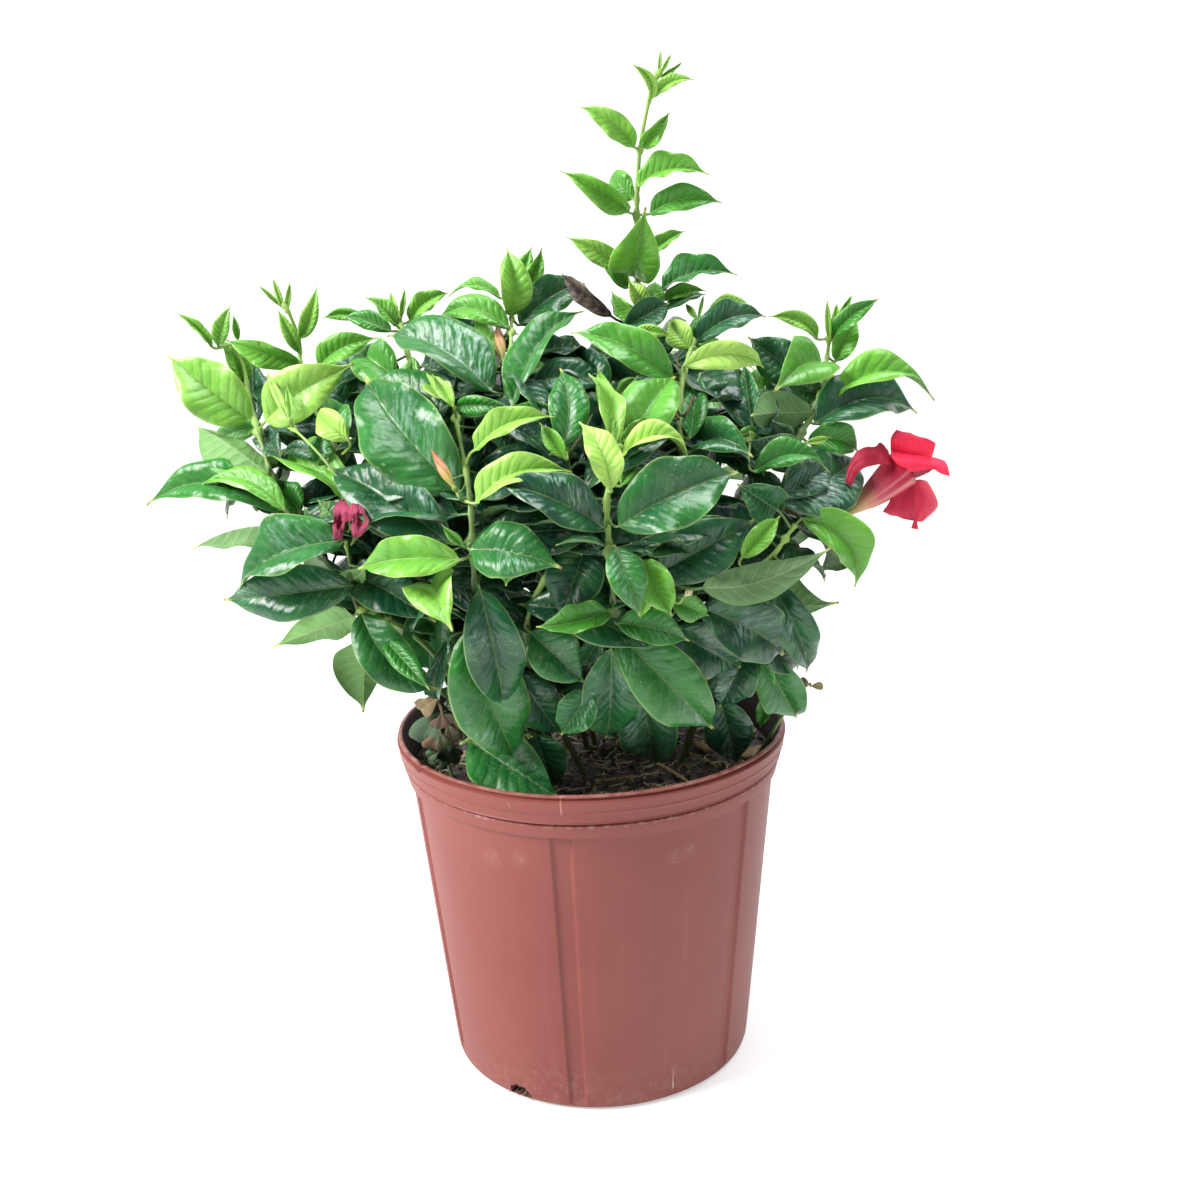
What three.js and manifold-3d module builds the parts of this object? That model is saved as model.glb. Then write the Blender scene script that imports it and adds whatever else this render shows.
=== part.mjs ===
// A young climbing mandevilla in a moulded nursery pot.
// Millimetres, +Z up. The origin is the middle of the pot's underside, and the plant's front faces -Y.

import * as THREE from "three";
import { mergeVertices } from "three/addons/utils/BufferGeometryUtils.js";
import Module from "manifold-3d";

const wasm = await Module();
wasm.setup();

// ---------------------------------------------------------------- driving dimensions

const POT = {
  height: 241.3,
  lipRadius: 133.2,
  beadRadius: 134.6,
  rimDepth: 31,
  shoulderRadius: 129.3,
  wallTopRadius: 126,
  wallFootRadius: 106.6,
  footRadius: 104.5,
  wall: 2.4,
  floor: 3,
  sides: 32,
};
const CHANNEL = { count: 6, first: -10, width: 12, depth: 1.3, foot: 9, top: 207 };
const DRAIN = { angles: [-38, 82, 202], width: 22, height: 9, reach: 12 };
const MIX = { top: 217.5 };
const GAP = 0.3;

const STEM = { main: 1.8, twig: 1.1, sides: 4, buried: 34, sleeve: 0.45, samples: 4 };
const STALK = { radius: 0.75, sides: 3, collar: 0.08 };
// The shares of a blade's length at which it has a ring of corners; a small or hidden blade has one ring.
const BLADE = { halfThickness: 0.4, around: 4, along: 3, neck: 0.02, shares: [0.36, 0.72], small: 60, fewShares: [0.48] };
// How much stouter a trial leaf is than the real one, so that neighbours keep a gap.
const CLEAR = { halfThickness: 1, spread: 1.04, stalk: 0.5 };
// How far one step slides a leaf's base and tip back, and how many steps it may take either way.
const SLIDE = { base: 4, tip: 8, steps: 8 };

// The stems behind. Bearings are in degrees from +X, and the rise is in pairs of a share of the reach and a share of
// the height. The leaves' headings, rolls and sweeps wander by up to the given amounts.
const BACK = {
  count: 9,
  first: -16,
  last: 190,
  root: 58,
  reach: 150,
  sideShare: 0.72,
  lowTop: 215,
  highTop: 262,
  rise: [[0.1, 0.25], [0.38, 0.6], [0.72, 0.88], [1, 1]],
  pairs: 7,
  lowest: 0.36,
  shortest: 46,
  longest: 80,
  stalk: 10,
  droop: 0.22,
  wander: 0.9,
  lift: 0.5,
  outward: 0.35,
  tilt: 0.6,
  slim: 0.46,
  broad: 0.58,
  roll: 50,
  fold: 12,
  bow: 0.08,
  sweep: 0.08,
};
// The thick of the bush as it shows on the sheet: leaves of the stems behind keep inside this oval.
const THICK = { across: 572, down: 500, halfWidth: 245, halfHeight: 210 };

// Places on the sheet below, as [across, down, back].
const FLOWER = {
  base: [838.5, 519.6, 24],
  throat: [901, 470, -4],
  tube: [[0, 0], [1.9, 0.04], [2.2, 0.22], [5, 0.45], [10.5, 0.85], [13, 1], [0, 1.03]],
  sides: 8,
  petalHalfThickness: 0.5,
  petals: [
    [926, 435, -14, 0.85, 0, 0, 0, 0],
    [945, 470, -48, 0.45, 0, 0, 0, 0],
    [850, 464, 2, 0.4, 0, 0, 0, 0],
    [912, 523, 0, 0.8, 0, 0, 0, 0],
    [926, 492, 16, 0.6, 0, 0, 0, 0],
  ],
};
const FADED = {
  top: [343.8, 492.5, 3],
  foot: [344.5, 500, 3],
  throat: [344.4, 498.5, 3],
  cup: [[0, 0], [1.6, 0.25], [1.9, 1], [0, 1.03]],
  lobes: [
    [338, 540, 0, 0.36, 30, 30, 0.1, 0.05],
    [360, 535, -14, 0.34, -30, 30, 0.1, -0.04],
  ],
};
const BUD_PROFILE = [[0, 0], [0.55, 0.12], [1, 0.42], [0.8, 0.75], [0, 1]];
const BUDS = [
  { name: "bud_upper", base: [503, 366, 26], tip: [497, 322, 20], radius: 3.6 },
  { name: "bud_left", base: [456, 491, 8], tip: [431, 449, 4], radius: 3.2 },
  { name: "bud_cream", base: [684.5, 596.5, 6], tip: [693, 588, 4], radius: 2.2 },
];

const WEEDS = [
  {
    name: "weed_left",
    root: [-93, -52],
    shoots: [[[446, 752, 26], [447, 730, 26], [438, 700, 26]], [[440, 757, 10], [438, 750, 6]]],
    leaves: [
      [446, 712, 24, 425, 744, 12, 0.6, 0, 10, 0.1, 0.1],
      [442, 713, 10, 441, 728, 4, 0.8, 0, 10, 0.1, 0],
      [448, 724, 14, 455, 743, 6, 0.8, 0, 10, 0.1, 0],
      [439, 732, 6, 431, 748, 0, 0.7, 0, 10, 0.1, 0],
      [440, 732, 4, 444, 748, -3, 0.7, 0, 10, 0.1, 0],
      [439, 752, 4, 428, 758, 0, 0.9, 0, 10, 0.1, 0],
      [438, 698, 14, 421, 710, 10, 0.6, 0, 10, 0.1, 0],
    ],
  },
  {
    name: "weed_right",
    root: [107, -40],
    shoots: [[[797, 693, 8], [810, 684, 6]]],
    leaves: [
      [804, 687, 4, 803, 677, 2, 0.6, 0, 10, 0.1, 0],
      [811, 686, 6, 823, 686, 4, 0.6, 0, 10, 0.1, 0],
    ],
  },
];

// What lies on the mix, as [across, down] at both ends.
const STRAWS = [
  { from: [655, 763], to: [691, 783], radius: 1.1 },
  { from: [690, 753], to: [716, 765], radius: 1 },
  { from: [604, 781], to: [640, 776], radius: 0.8 },
];
const CHIPS = [
  { from: [743, 758], to: [763, 746], width: 0.5 },
  { from: [742, 735], to: [756, 730], width: 0.6 },
  { from: [694, 742], to: [714, 752], width: 0.45 },
];
const CHIP_HALF_THICKNESS = 1.2;

// The front stems. A root is the place [x, y] where the stem stands in the mix. The first path is the stem and the
// others are its side branches, as places on the sheet. A leaf is the place of its base, the place of its tip, its
// width as a share of its length, its roll and fold in degrees, and its bow and sideways sweep as shares of its length.
const FRONT_STEMS = [
  {
    name: "tall_stem",
    root: [30, 15],
    paths: [
      [[652, 650, 100], [660, 520, 120], [655, 420, 95], [646, 340, 35], [640, 300, 15], [636, 262, 10], [637, 200, 8], [640, 150, 5], [648, 105, 4], [656, 80, 2], [661, 68, 0]],
    ],
    leaves: [
      [659, 74, 0, 661, 48, 0, 0.2, 0, 20, 0, 0],
      [661, 74, 0, 672, 52, -3, 0.22, 0, 20, 0, 0],
      [662, 76, 2, 684, 61, -4, 0.32, 20, 30, 0.05, -0.05],
      [649, 101, 2, 630, 64, -8, 0.42, 15, 28, 0.05, 0.22],
      [655, 96, 2, 695, 80, -5, 0.46, -15, 25, 0.05, -0.14],
      [634, 147, 3, 579, 107, 0, 0.42, -10, 15, 0.08, 0.14],
      [643, 148, 0, 671, 111, -12, 0.55, 10, 28, 0.06, -0.05],
      [628, 212, 8, 560, 171, -5, 0.46, -22, 28, 0.08, 0.1],
      [633, 199, 14, 612, 174, 34, 0.75, -10, 15, 0.1, 0],
      [637, 186, 3, 709, 175, -5, 0.48, -35, 20, 0.06, -0.12],
      [650, 214, 8, 722, 203, 0, 0.46, -20, 18, 0.06, -0.1],
      [635, 277, 6, 646, 207, -30, 0.62, -8, 14, 0.12, 0],
      [622, 268, 6, 566, 237, 0, 0.42, -5, 18, 0.06, 0.05],
      [648, 256, 20, 686, 231, 22, 0.42, -15, 20, 0.05, -0.05],
      [630, 287, 4, 600, 262, -4, 0.42, 0, 20, 0.05, 0],
      [646, 306, 0, 628, 279, -10, 0.75, 0, 20, 0.15, 0],
      [652, 306, 6, 655, 281, 4, 0.9, 0, 10, 0.1, 0],
      [662, 290, 8, 737, 275, 5, 0.5, -35, 20, 0.08, -0.08],
      [664, 300, 5, 706, 291, 0, 0.42, -20, 20, 0.05, -0.08],
      [664, 312, 10, 706, 294, 6, 0.42, -60, 10, 0.05, 0],
      [642, 322, 0, 611, 291, -15, 0.7, -20, 30, 0.05, 0],
      [624, 328, -2, 669, 303, -12, 0.55, -5, 15, 0.05, 0],
      [611, 316, 0, 562, 274, -5, 0.36, -20, 25, 0.1, 0.05],
      [632, 336, 0, 672, 337, -8, 0.42, -20, 20, 0.05, -0.1],
    ],
  },
  {
    name: "upper_centre_stem",
    root: [-3, -2],
    paths: [
      [[560, 640, 90], [530, 520, 90], [515, 430, 45], [511, 380, 25], [511, 340, 14], [512, 312, 8]],
      [[505, 374, 26.5], [503.1, 366.5, 26]],
    ],
    leaves: [
      [511, 316, 5, 507, 248, -10, 0.72, 28, 25, 0.05, 0],
      [513, 300, 20, 532, 246, 20, 0.5, 0, 20, 0, 0],
      [515, 305, 15, 542, 246, 5, 0.42, 10, 25, 0, 0.05],
      [500, 298, 15, 448, 296, 10, 0.42, 50, 10, 0.12, 0.12],
      [508, 328, 10, 438, 318, 15, 0.45, 35, 15, 0.1, 0.1],
      [492, 368, 12, 458, 316, 5, 0.38, 15, 20, 0.05, 0.08],
      [520, 325, 20, 585, 284, 15, 0.5, -15, 15, 0.08, -0.05],
      [509, 404, 20, 584, 310, -6, 0.6, -50, 20, 0.08, 0],
      [491, 391, 18, 387, 336, -5, 0.62, 48, 20, 0.08, 0],
    ],
  },
  {
    name: "upper_left_stem",
    root: [-30, -12],
    paths: [
      [[500, 640, 100], [455, 520, 110], [425, 420, 70], [408, 355, 25], [400, 325, 10], [398, 312, 6]],
    ],
    leaves: [
      [397, 322, 0, 390, 290, -4, 0.34, 0, 25, 0, 0],
      [401, 318, 2, 405, 287, 2, 0.26, 0, 25, 0, 0],
      [397, 326, 4, 364, 297, -8, 0.55, 25, 20, 0.05, 0.05],
      [365, 322, 15, 322, 319, 10, 0.4, 30, 15, 0.08, 0.08],
      [391, 331, 8, 342, 318, 0, 0.45, 20, 15, 0.05, 0.06],
      [410, 321, 10, 450, 293, 5, 0.5, -20, 15, 0.05, -0.1],
      [398, 378, 22, 356, 350, 14, 0.75, 0, 15, 0.05, 0],
    ],
  },
  {
    name: "left_centre_stem",
    root: [-20, -25],
    paths: [
      [[520, 680, 60], [485, 620, 35], [475, 580, 22], [472, 530, 18], [470, 500, 18], [466, 470, 20], [459, 435, 22], [453, 405, 18], [442, 388, 8]],
      [[460.8, 499.1, 7.8], [456.4, 491.6, 8]],
      [[450, 600, 30], [430, 584, 20], [413, 573, 14], [392, 542, 8], [355, 500, 4], [320, 455, 2], [293, 428, 0]],
    ],
    leaves: [
      [415, 380, 16, 411, 355, 8, 0.6, 0, 20, 0, 0],
      [456, 446, 14, 368, 378, 0, 0.55, 30, 15, 0.08, 0.05],
      [459, 491, 6, 366, 377, -40, 0.55, -5, 12, 0.08, -0.03],
      [453, 406, 2, 432, 374, -8, 0.5, 10, 25, 0, 0],
      [440, 398, 0, 421, 372, -3, 0.35, 0, 20, 0, 0],
      [457, 407, 8, 513, 409, 0, 0.42, 20, 20, 0.05, -0.08],
      [475, 450, 6, 555, 417, -6, 0.4, -25, 20, 0.1, -0.08],
      [476, 503, 4, 573, 472, -8, 0.42, -30, 22, 0.12, -0.08],
      [462, 545, 4, 442, 525, -4, 0.5, 0, 25, 0, 0],
      [471, 550, 2, 562, 568, -12, 0.68, -15, 12, 0.06, -0.03],
      [459, 560, 4, 358, 569, 0, 0.42, 10, 15, 0.05, 0.04],
      [431, 584, 28, 452, 631, -30, 0.62, 0, 15, 0.1, 0],
      [480, 590, 8, 503, 709, -8, 0.46, 5, 15, 0.08, -0.03],
      [466, 632, 14, 518, 761, -30, 0.5, 0, 10, 0.08, 0.02],
      [500, 600, 22, 525, 684, 14, 0.5, 0, 15, 0.05, 0],
      [428, 590, 34, 430, 672, 22, 0.7, 0, 25, 0.05, 0],
      [292, 430, 0, 261, 390, 0, 0.14, 0, 20, 0, 0],
      [289, 420, 0, 265, 368, -4, 0.16, 0, 20, 0, 0],
      [291, 418, 0, 287, 384, 2, 0.22, 0, 20, 0, 0],
      [352, 500, 2, 251, 482, -4, 0.36, 45, 25, 0.08, 0.08],
      [449, 543, 12, 326, 467, 4, 0.42, 0, 12, 0.06, 0.03],
      [345, 530, 26, 318, 500, 22, 0.8, 0, 15, 0.05, 0],
      [449, 640, 24, 440, 700, 18, 0.35, 0, 30, 0.1, 0.1],
    ],
  },
  {
    name: "far_left_stem",
    root: [-42, -34],
    paths: [
      [[430, 680, 85], [350, 590, 60], [310, 540, 30], [285, 505, 18], [272, 475, 12], [258, 432, 8], [250, 400, 6], [243, 365, 6], [232, 345, 4]],
    ],
    leaves: [
      [250, 420, 6, 168, 356, -4, 0.6, -5, 10, 0.05, 0],
      [243, 383, 8, 215, 338, 2, 0.62, 20, 20, 0.1, 0.05],
      [218, 345, 4, 231, 305, 0, 0.48, 0, 20, 0.05, -0.05],
      [212, 347, 2, 175, 313, 0, 0.3, 20, 25, 0.05, 0.05],
      [238, 340, 6, 233, 314, 4, 0.35, 0, 20, 0, 0],
      [254, 425, 12, 252, 352, 16, 0.35, 0, 15, 0, 0],
      [262, 425, 14, 212, 440, 10, 0.4, 10, 15, 0.05, 0],
      [268, 474, 10, 197, 427, 4, 0.5, 35, 15, 0.1, -0.06],
      [262, 430, 20, 282, 462, 14, 0.5, 0, 15, 0, 0],
      [266, 421, 4, 354, 364, -4, 0.52, -15, 12, 0.06, -0.03],
      [282, 510, 18, 146, 505, -25, 0.38, 35, 20, 0.08, 0.1],
      [284, 510, 14, 197, 487, -2, 0.34, 40, 20, 0.08, 0.12],
      [306, 530, 14, 193, 550, -20, 0.3, 50, 25, 0.08, 0.03],
      [300, 512, 24, 275, 478, 20, 0.7, 0, 15, 0, 0],
      [318, 535, 8, 303, 505, 6, 0.3, 0, 20, 0, 0],
    ],
  },
  {
    name: "left_crest_stem",
    root: [-25, -4],
    paths: [
      [[470, 650, 100], [400, 560, 80], [350, 480, 45], [328, 430, 28], [305, 395, 20], [300, 360, 8], [299, 340, 5], [290, 315, 0], [283, 303, 0]],
    ],
    leaves: [
      [283, 308, 0, 272, 276, 0, 0.25, 0, 20, 0, 0],
      [281, 306, 2, 257, 284, 0, 0.2, 0, 20, 0, 0],
      [286, 312, 0, 290, 280, 2, 0.25, 0, 20, 0, 0],
      [300, 338, 4, 317, 285, 0, 0.38, 0, 20, 0.05, 0.05],
      [299, 352, 2, 277, 308, -4, 0.36, 0, 20, 0.05, 0],
      [299, 363, 8, 226, 340, 2, 0.42, -15, 20, 0.08, 0.02],
      [318, 368, 10, 378, 338, 0, 0.5, -25, 18, 0.06, -0.06],
      [348, 440, 8, 317, 414, 4, 0.6, 0, 15, 0.1, 0],
      [352, 440, 12, 336, 450, 8, 0.5, 0, 15, 0, 0],
      [318, 462, 16, 322, 434, 14, 0.9, 0, 15, 0, 0],
      [345, 440, 20, 325, 395, 22, 0.5, 0, 15, 0, 0],
      [340, 430, 30, 362, 382, 22, 0.9, 0, 15, 0, 0],
      [330, 462, 22, 283, 457, 18, 0.3, 0, 15, 0.1, 0.15],
    ],
  },
  {
    name: "lower_left_stem",
    root: [-36, -48],
    paths: [
      [[470, 700, 40], [430, 650, 30], [395, 624, 22], [375, 617, 16], [358, 608, 12]],
      [[352, 590, 16], [350, 565, 18], [346, 545, 18]],
    ],
    leaves: [
      [350, 572, 30, 436, 622, 18, 0.5, -10, 10, 0.06, 0],
      [343, 541, 18, 237, 592, 0, 0.58, 35, 18, 0.08, 0.04],
      [352, 586, 16, 223, 600, -25, 0.42, 10, 10, 0.05, -0.02],
      [364, 570, 6, 289, 598, 2, 0.22, 160, 10, 0.08, 0.1],
      [354, 616, 14, 272, 647, 8, 0.34, 150, 5, 0.05, 0.05],
      [361, 613, 10, 440, 690, 0, 0.5, -10, 12, 0.1, 0.16],
      [368, 640, 30, 363, 712, 14, 0.7, 170, 10, 0.05, 0],
      [385, 640, 26, 430, 690, 16, 0.35, 0, 15, 0, 0],
    ],
  },
  {
    name: "centre_stem",
    root: [20, 0],
    paths: [
      [[628, 690, 60], [618, 650, 35], [614, 622, 22], [612, 575, 20], [608, 530, 16], [607, 500, 12], [612, 470, 8], [618, 445, 4]],
      [[640, 602, 16], [665, 594, 14], [677.6, 603.4, 7.3], [684, 597, 6.1]],
    ],
    leaves: [
      [611, 489, 0, 579, 422, -10, 0.5, 15, 12, 0.08, 0.06],
      [612, 450, 6, 589, 373, -2, 0.45, 25, 30, 0.05, 0.03],
      [618, 430, 14, 597, 366, 8, 0.3, 0, 20, 0, 0],
      [625, 448, 6, 675, 376, -4, 0.62, -15, 18, 0.06, 0],
      [620, 442, 0, 652, 416, -8, 0.4, 0, 20, 0, 0],
      [615, 444, 0, 617, 413, -2, 0.3, 0, 20, 0, 0],
      [621, 456, 2, 692, 466, -8, 0.5, -35, 25, 0.2, -0.22],
      [622, 485, 8, 636, 455, 10, 0.5, 0, 15, 0, 0],
      [619, 526, 4, 738, 472, -10, 0.56, -8, 10, 0.06, -0.03],
      [602, 527, 4, 493, 482, -8, 0.5, 18, 15, 0.08, 0.02],
      [604, 545, 14, 555, 545, 6, 0.35, 60, 20, 0.05, 0],
      [616, 548, 8, 640, 617, -14, 0.62, -10, 15, 0.1, 0.02],
      [642, 560, 10, 672, 616, -8, 0.7, 0, 20, 0.05, 0],
      [650, 590, 6, 640, 618, 0, 0.6, 0, 20, 0, 0],
      [672, 600, 12, 709, 616, 6, 0.7, 0, 15, 0.05, 0],
      [625, 552, 18, 661, 545, 8, 0.5, 0, 15, 0, 0],
      [609, 611, 10, 536, 627, 2, 0.5, 20, 20, 0.08, -0.1],
      [618, 624, 10, 689, 641, -4, 0.55, -15, 15, 0.08, -0.02],
      [617, 633, 20, 715, 728, -20, 0.5, -8, 12, 0.08, 0.02],
      [611, 649, 10, 606, 739, -4, 0.52, 0, 15, 0.05, -0.02],
      [605, 632, 22, 580, 668, 16, 0.5, 0, 15, 0, 0],
      [592, 690, 14, 561, 735, 6, 0.75, 0, 15, 0.05, 0],
      [640, 680, 26, 655, 766, 6, 0.5, 0, 15, 0.05, 0],
    ],
  },
  {
    name: "middle_stem",
    root: [2, 12],
    paths: [
      [[575, 640, 100], [572, 540, 90], [570, 480, 40], [566, 450, 18]],
      [[585, 430, 35], [600, 400, 28], [614, 382, 20]],
    ],
    leaves: [
      [563, 446, 12, 560, 368, 0, 0.5, 10, 15, 0.05, 0.06],
      [565, 458, 6, 540, 423, 0, 0.5, 0, 20, 0, 0],
      [510, 470, 14, 567, 470, 8, 0.5, 0, 15, 0.05, 0],
      [555, 412, 16, 513, 405, 12, 0.4, 0, 15, 0, 0],
      [600, 400, 26, 574, 346, 22, 0.7, 0, 15, 0, 0],
      [617, 396, 16, 638, 376, 14, 0.5, 0, 15, 0, 0],
    ],
  },
  {
    name: "upper_right_stem",
    root: [48, 12],
    paths: [
      [[680, 640, 80], [690, 540, 85], [685, 470, 60], [680, 440, 25], [681, 410, 16], [682, 385, 10], [686, 364, 8], [692, 345, 8], [698, 322, 6]],
    ],
    leaves: [
      [672, 380, 8, 571, 333, -6, 0.4, 15, 12, 0.1, 0.06],
      [686, 366, 0, 765, 369, -12, 0.4, 0, 15, 0.15, -0.16],
      [690, 348, 8, 668, 322, 5, 0.75, 0, 10, 0.1, 0],
      [688, 342, 14, 716, 321, 10, 0.6, -10, 15, 0.1, 0],
      [694, 343, 8, 766, 317, 0, 0.42, -30, 15, 0.08, -0.06],
      [680, 440, 20, 672, 362, 20, 0.5, 0, 15, 0, 0],
      [690, 438, 16, 700, 372, 10, 0.35, 0, 15, 0, 0],
      [703, 396, 22, 744, 387, 16, 0.5, 0, 20, 0, 0],
      [745, 378, 24, 712, 370, 20, 0.5, 0, 15, 0, 0],
      [690, 452, 36, 753, 457, -14, 0.66, -35, 20, 0.1, -0.12],
      [706, 321, 4, 752, 307, 4, 0.42, -20, 20, 0.1, -0.1],
      [697, 319, 3, 685, 303, 5, 0.3, 0, 20, 0, 0],
      [698, 320, 2, 704, 293, 4, 0.14, 0, 20, 0, 0],
    ],
  },
  {
    name: "right_stem",
    root: [65, -10],
    paths: [
      [[720, 650, 80], [755, 570, 55], [785, 500, 30], [796, 445, 20], [812, 415, 10], [820, 392, 6], [827, 357, 3], [830, 330, 1], [831, 318, 0]],
      [[770, 455, 30], [760, 438, 20], [748, 432, 16]],
      [[802, 518, 26], [820, 526, 28], [831.6, 525, 26], [838, 520, 24.2]],
    ],
    leaves: [
      [815, 424, 8, 918, 413, 0, 0.5, -40, 15, 0.08, -0.08],
      [833, 395, 8, 935, 400, 0, 0.5, -40, 22, 0.15, -0.12],
      [824, 396, 12, 842, 378, 16, 0.9, 0, 15, 0, 0],
      [836, 361, 4, 857, 316, 8, 0.55, 0, 15, 0.05, 0],
      [832, 338, 2, 881, 298, -6, 0.4, -15, 20, 0.06, -0.05],
      [817, 339, 4, 768, 317, 0, 0.42, 25, 22, 0.08, 0.12],
      [829, 340, 0, 827, 297, -2, 0.2, 0, 20, 0, 0],
      [835, 326, 2, 837, 302, 0, 0.4, 0, 20, 0, 0],
      [838, 320, 0, 853, 293, 0, 0.28, 0, 20, 0, 0],
      [824, 366, 2, 774, 392, -10, 0.65, 25, 20, 0.08, 0.05],
      [802, 378, 10, 748, 337, 4, 0.75, 0, 15, 0.05, 0],
      [822, 395, 12, 785, 385, 10, 0.6, 0, 15, 0, 0],
      [812, 412, 6, 750, 416, -4, 0.5, 170, 10, 0.05, 0],
      [790, 440, 18, 772, 420, 14, 0.8, 0, 15, 0, 0],
      [752, 425, 12, 744, 362, 10, 0.35, 0, 25, 0, 0],
      [768, 432, 14, 765, 386, 8, 0.5, 0, 15, 0, 0],
      [735, 440, 20, 762, 428, 16, 0.5, 0, 15, 0, 0],
      [755, 472, 14, 829, 471, -4, 0.5, -30, 20, 0.1, -0.15],
      [783, 506, 8, 868, 464, 2, 0.65, -5, 10, 0.05, 0.05],
      [782, 495, 16, 832, 466, 10, 0.5, 0, 15, 0.05, 0],
      [808, 442, 18, 858, 452, 12, 0.6, -15, 15, 0.1, -0.1],
      [806, 443, 4, 831, 437, 0, 0.3, 0, 20, 0, 0],
      [800, 458, 24, 745, 440, 16, 0.6, 0, 15, 0.05, 0],
    ],
  },
  {
    name: "lower_right_stem",
    root: [60, -30],
    paths: [
      [[700, 700, 50], [712, 650, 40], [720, 600, 25], [735, 575, 20], [768, 560, 16], [795, 525, 14]],
      [[745, 645, 25], [765, 650, 18], [785, 635, 14]],
      [[690, 590, 25], [662, 578, 24]],
    ],
    leaves: [
      [777, 510, 10, 737, 484, 0, 0.8, 0, 15, 0.05, 0],
      [803, 519, 12, 855, 588, -2, 0.55, -25, 18, 0.1, -0.16],
      [655, 575, 22, 757, 519, 8, 0.55, 0, 12, 0.05, 0],
      [700, 592, 10, 832, 549, 0, 0.36, 170, 8, 0.08, -0.05],
      [742, 557, 4, 780, 516, -4, 0.5, 0, 20, 0.05, 0],
      [690, 524, 16, 738, 524, 10, 0.4, 0, 15, 0.05, 0],
      [773, 572, 12, 826, 622, 4, 0.4, 170, 10, 0.1, -0.25],
      [772, 578, 14, 809, 672, 0, 0.5, 0, 20, 0.08, -0.05],
      [765, 570, 18, 785, 640, 10, 0.45, 0, 15, 0.05, 0],
      [700, 608, 8, 783, 655, -4, 0.55, -5, 12, 0.08, -0.04],
      [690, 640, 20, 742, 668, 14, 0.7, 0, 15, 0.05, 0],
      [748, 650, 16, 719, 708, 2, 0.75, 0, 15, 0.05, 0],
      [760, 650, 20, 765, 702, 10, 0.4, 0, 15, 0, 0],
      [768, 690, 10, 760, 728, 4, 0.35, 0, 25, 0, 0],
      [765, 655, 18, 800, 719, 4, 0.6, 0, 15, 0.05, 0],
      [788, 625, 16, 798, 670, 12, 0.3, 0, 20, 0, 0],
      [720, 700, 30, 738, 765, 14, 0.6, 0, 15, 0, 0],
    ],
  },
  {
    name: "low_centre_stem",
    root: [-5, -45],
    paths: [
      [[540, 690, 40], [528, 650, 28], [530, 610, 30], [555, 565, 32], [578, 548, 32]],
    ],
    leaves: [
      [510, 545, 14, 506, 586, 2, 0.9, 0, 15, 0.05, 0],
      [585, 548, 30, 560, 622, 6, 0.8, 0, 12, 0.08, 0],
      [530, 632, 20, 585, 683, 2, 0.75, 0, 15, 0.05, 0],
      [515, 672, 26, 560, 735, 12, 0.55, 0, 15, 0.05, 0],
    ],
  },
  {
    name: "low_front_stem",
    root: [-42, -62],
    paths: [
      [[490, 735, 10], [460, 744, -12]],
      [[530, 735, 10]],
    ],
    leaves: [
      [452, 746, -20, 525, 800, -45, 0.6, 0, 12, 0.03, 0],
      [535, 735, 14, 555, 789, -30, 0.9, 0, 15, 0.03, 0],
    ],
  },
];

// ---------------------------------------------------------------- the sheet that the front is set out on

// A place is [across, down, back]. Across and down are read on a sheet held square to the sight line, DISTANCE
// units from EYE and with its middle at [MIDDLE, MIDDLE]. Back is in millimetres behind the bush's rounded front.
const EYE = new THREE.Vector3(0, -949, 599);
const DISTANCE = 1450;
const MIDDLE = 600;
const LOOK = { down: 0.2795, lean: -0.0356, turn: 0.0097 };
const FRONT = { across: 560, down: 560, halfWidth: 400, halfHeight: 270, depth: 150 };

const ahead = new THREE.Vector3(
  Math.sin(LOOK.turn) * Math.cos(LOOK.down),
  Math.cos(LOOK.turn) * Math.cos(LOOK.down),
  -Math.sin(LOOK.down),
);
const level = new THREE.Vector3(Math.cos(LOOK.turn), -Math.sin(LOOK.turn), 0);
const raised = level.clone().cross(ahead);
const rightward = level.clone().multiplyScalar(Math.cos(LOOK.lean)).addScaledVector(raised, Math.sin(LOOK.lean));
const upward = raised.clone().multiplyScalar(Math.cos(LOOK.lean)).addScaledVector(level, -Math.sin(LOOK.lean));

function frontDepth(across, down) {
  const x = (across - FRONT.across) / FRONT.halfWidth;
  const y = (down - FRONT.down) / FRONT.halfHeight;
  return -FRONT.depth * Math.max(0, 1 - x * x - y * y);
}

function place([across, down, back]) {
  const sight = ahead.clone().multiplyScalar(DISTANCE);
  sight.addScaledVector(rightward, across - MIDDLE).addScaledVector(upward, MIDDLE - down);
  const depth = frontDepth(across, down) + back;
  return EYE.clone().addScaledVector(sight, (depth - EYE.y) / sight.y);
}

function onSheet(point) {
  const sight = point.clone().sub(EYE);
  const scale = DISTANCE / sight.dot(ahead);
  return [MIDDLE + scale * sight.dot(rightward), MIDDLE - scale * sight.dot(upward)];
}

// ---------------------------------------------------------------- geometry to solids and back

function solidOf(geometry) {
  geometry.deleteAttribute("normal");
  geometry.deleteAttribute("uv");
  const merged = mergeVertices(geometry);
  const corners = merged.index.array;
  const faces = [];
  for (let i = 0; i < corners.length; i += 3) {
    const [a, b, c] = corners.slice(i, i + 3);
    if (a !== b && b !== c && c !== a) faces.push(a, b, c);
  }
  return new wasm.Manifold(new wasm.Mesh({
    numProp: 3,
    vertProperties: new Float32Array(merged.attributes.position.array),
    triVerts: new Uint32Array(faces),
  }));
}

function meshOf(name, solid, material) {
  const data = solid.getMesh();
  const geometry = new THREE.BufferGeometry();
  geometry.setAttribute("position", new THREE.BufferAttribute(new Float32Array(data.vertProperties), 3));
  geometry.setIndex(new THREE.BufferAttribute(new Uint32Array(data.triVerts), 1));
  geometry.computeVertexNormals();
  const mesh = new THREE.Mesh(geometry, material);
  mesh.name = name;
  return mesh;
}

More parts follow.
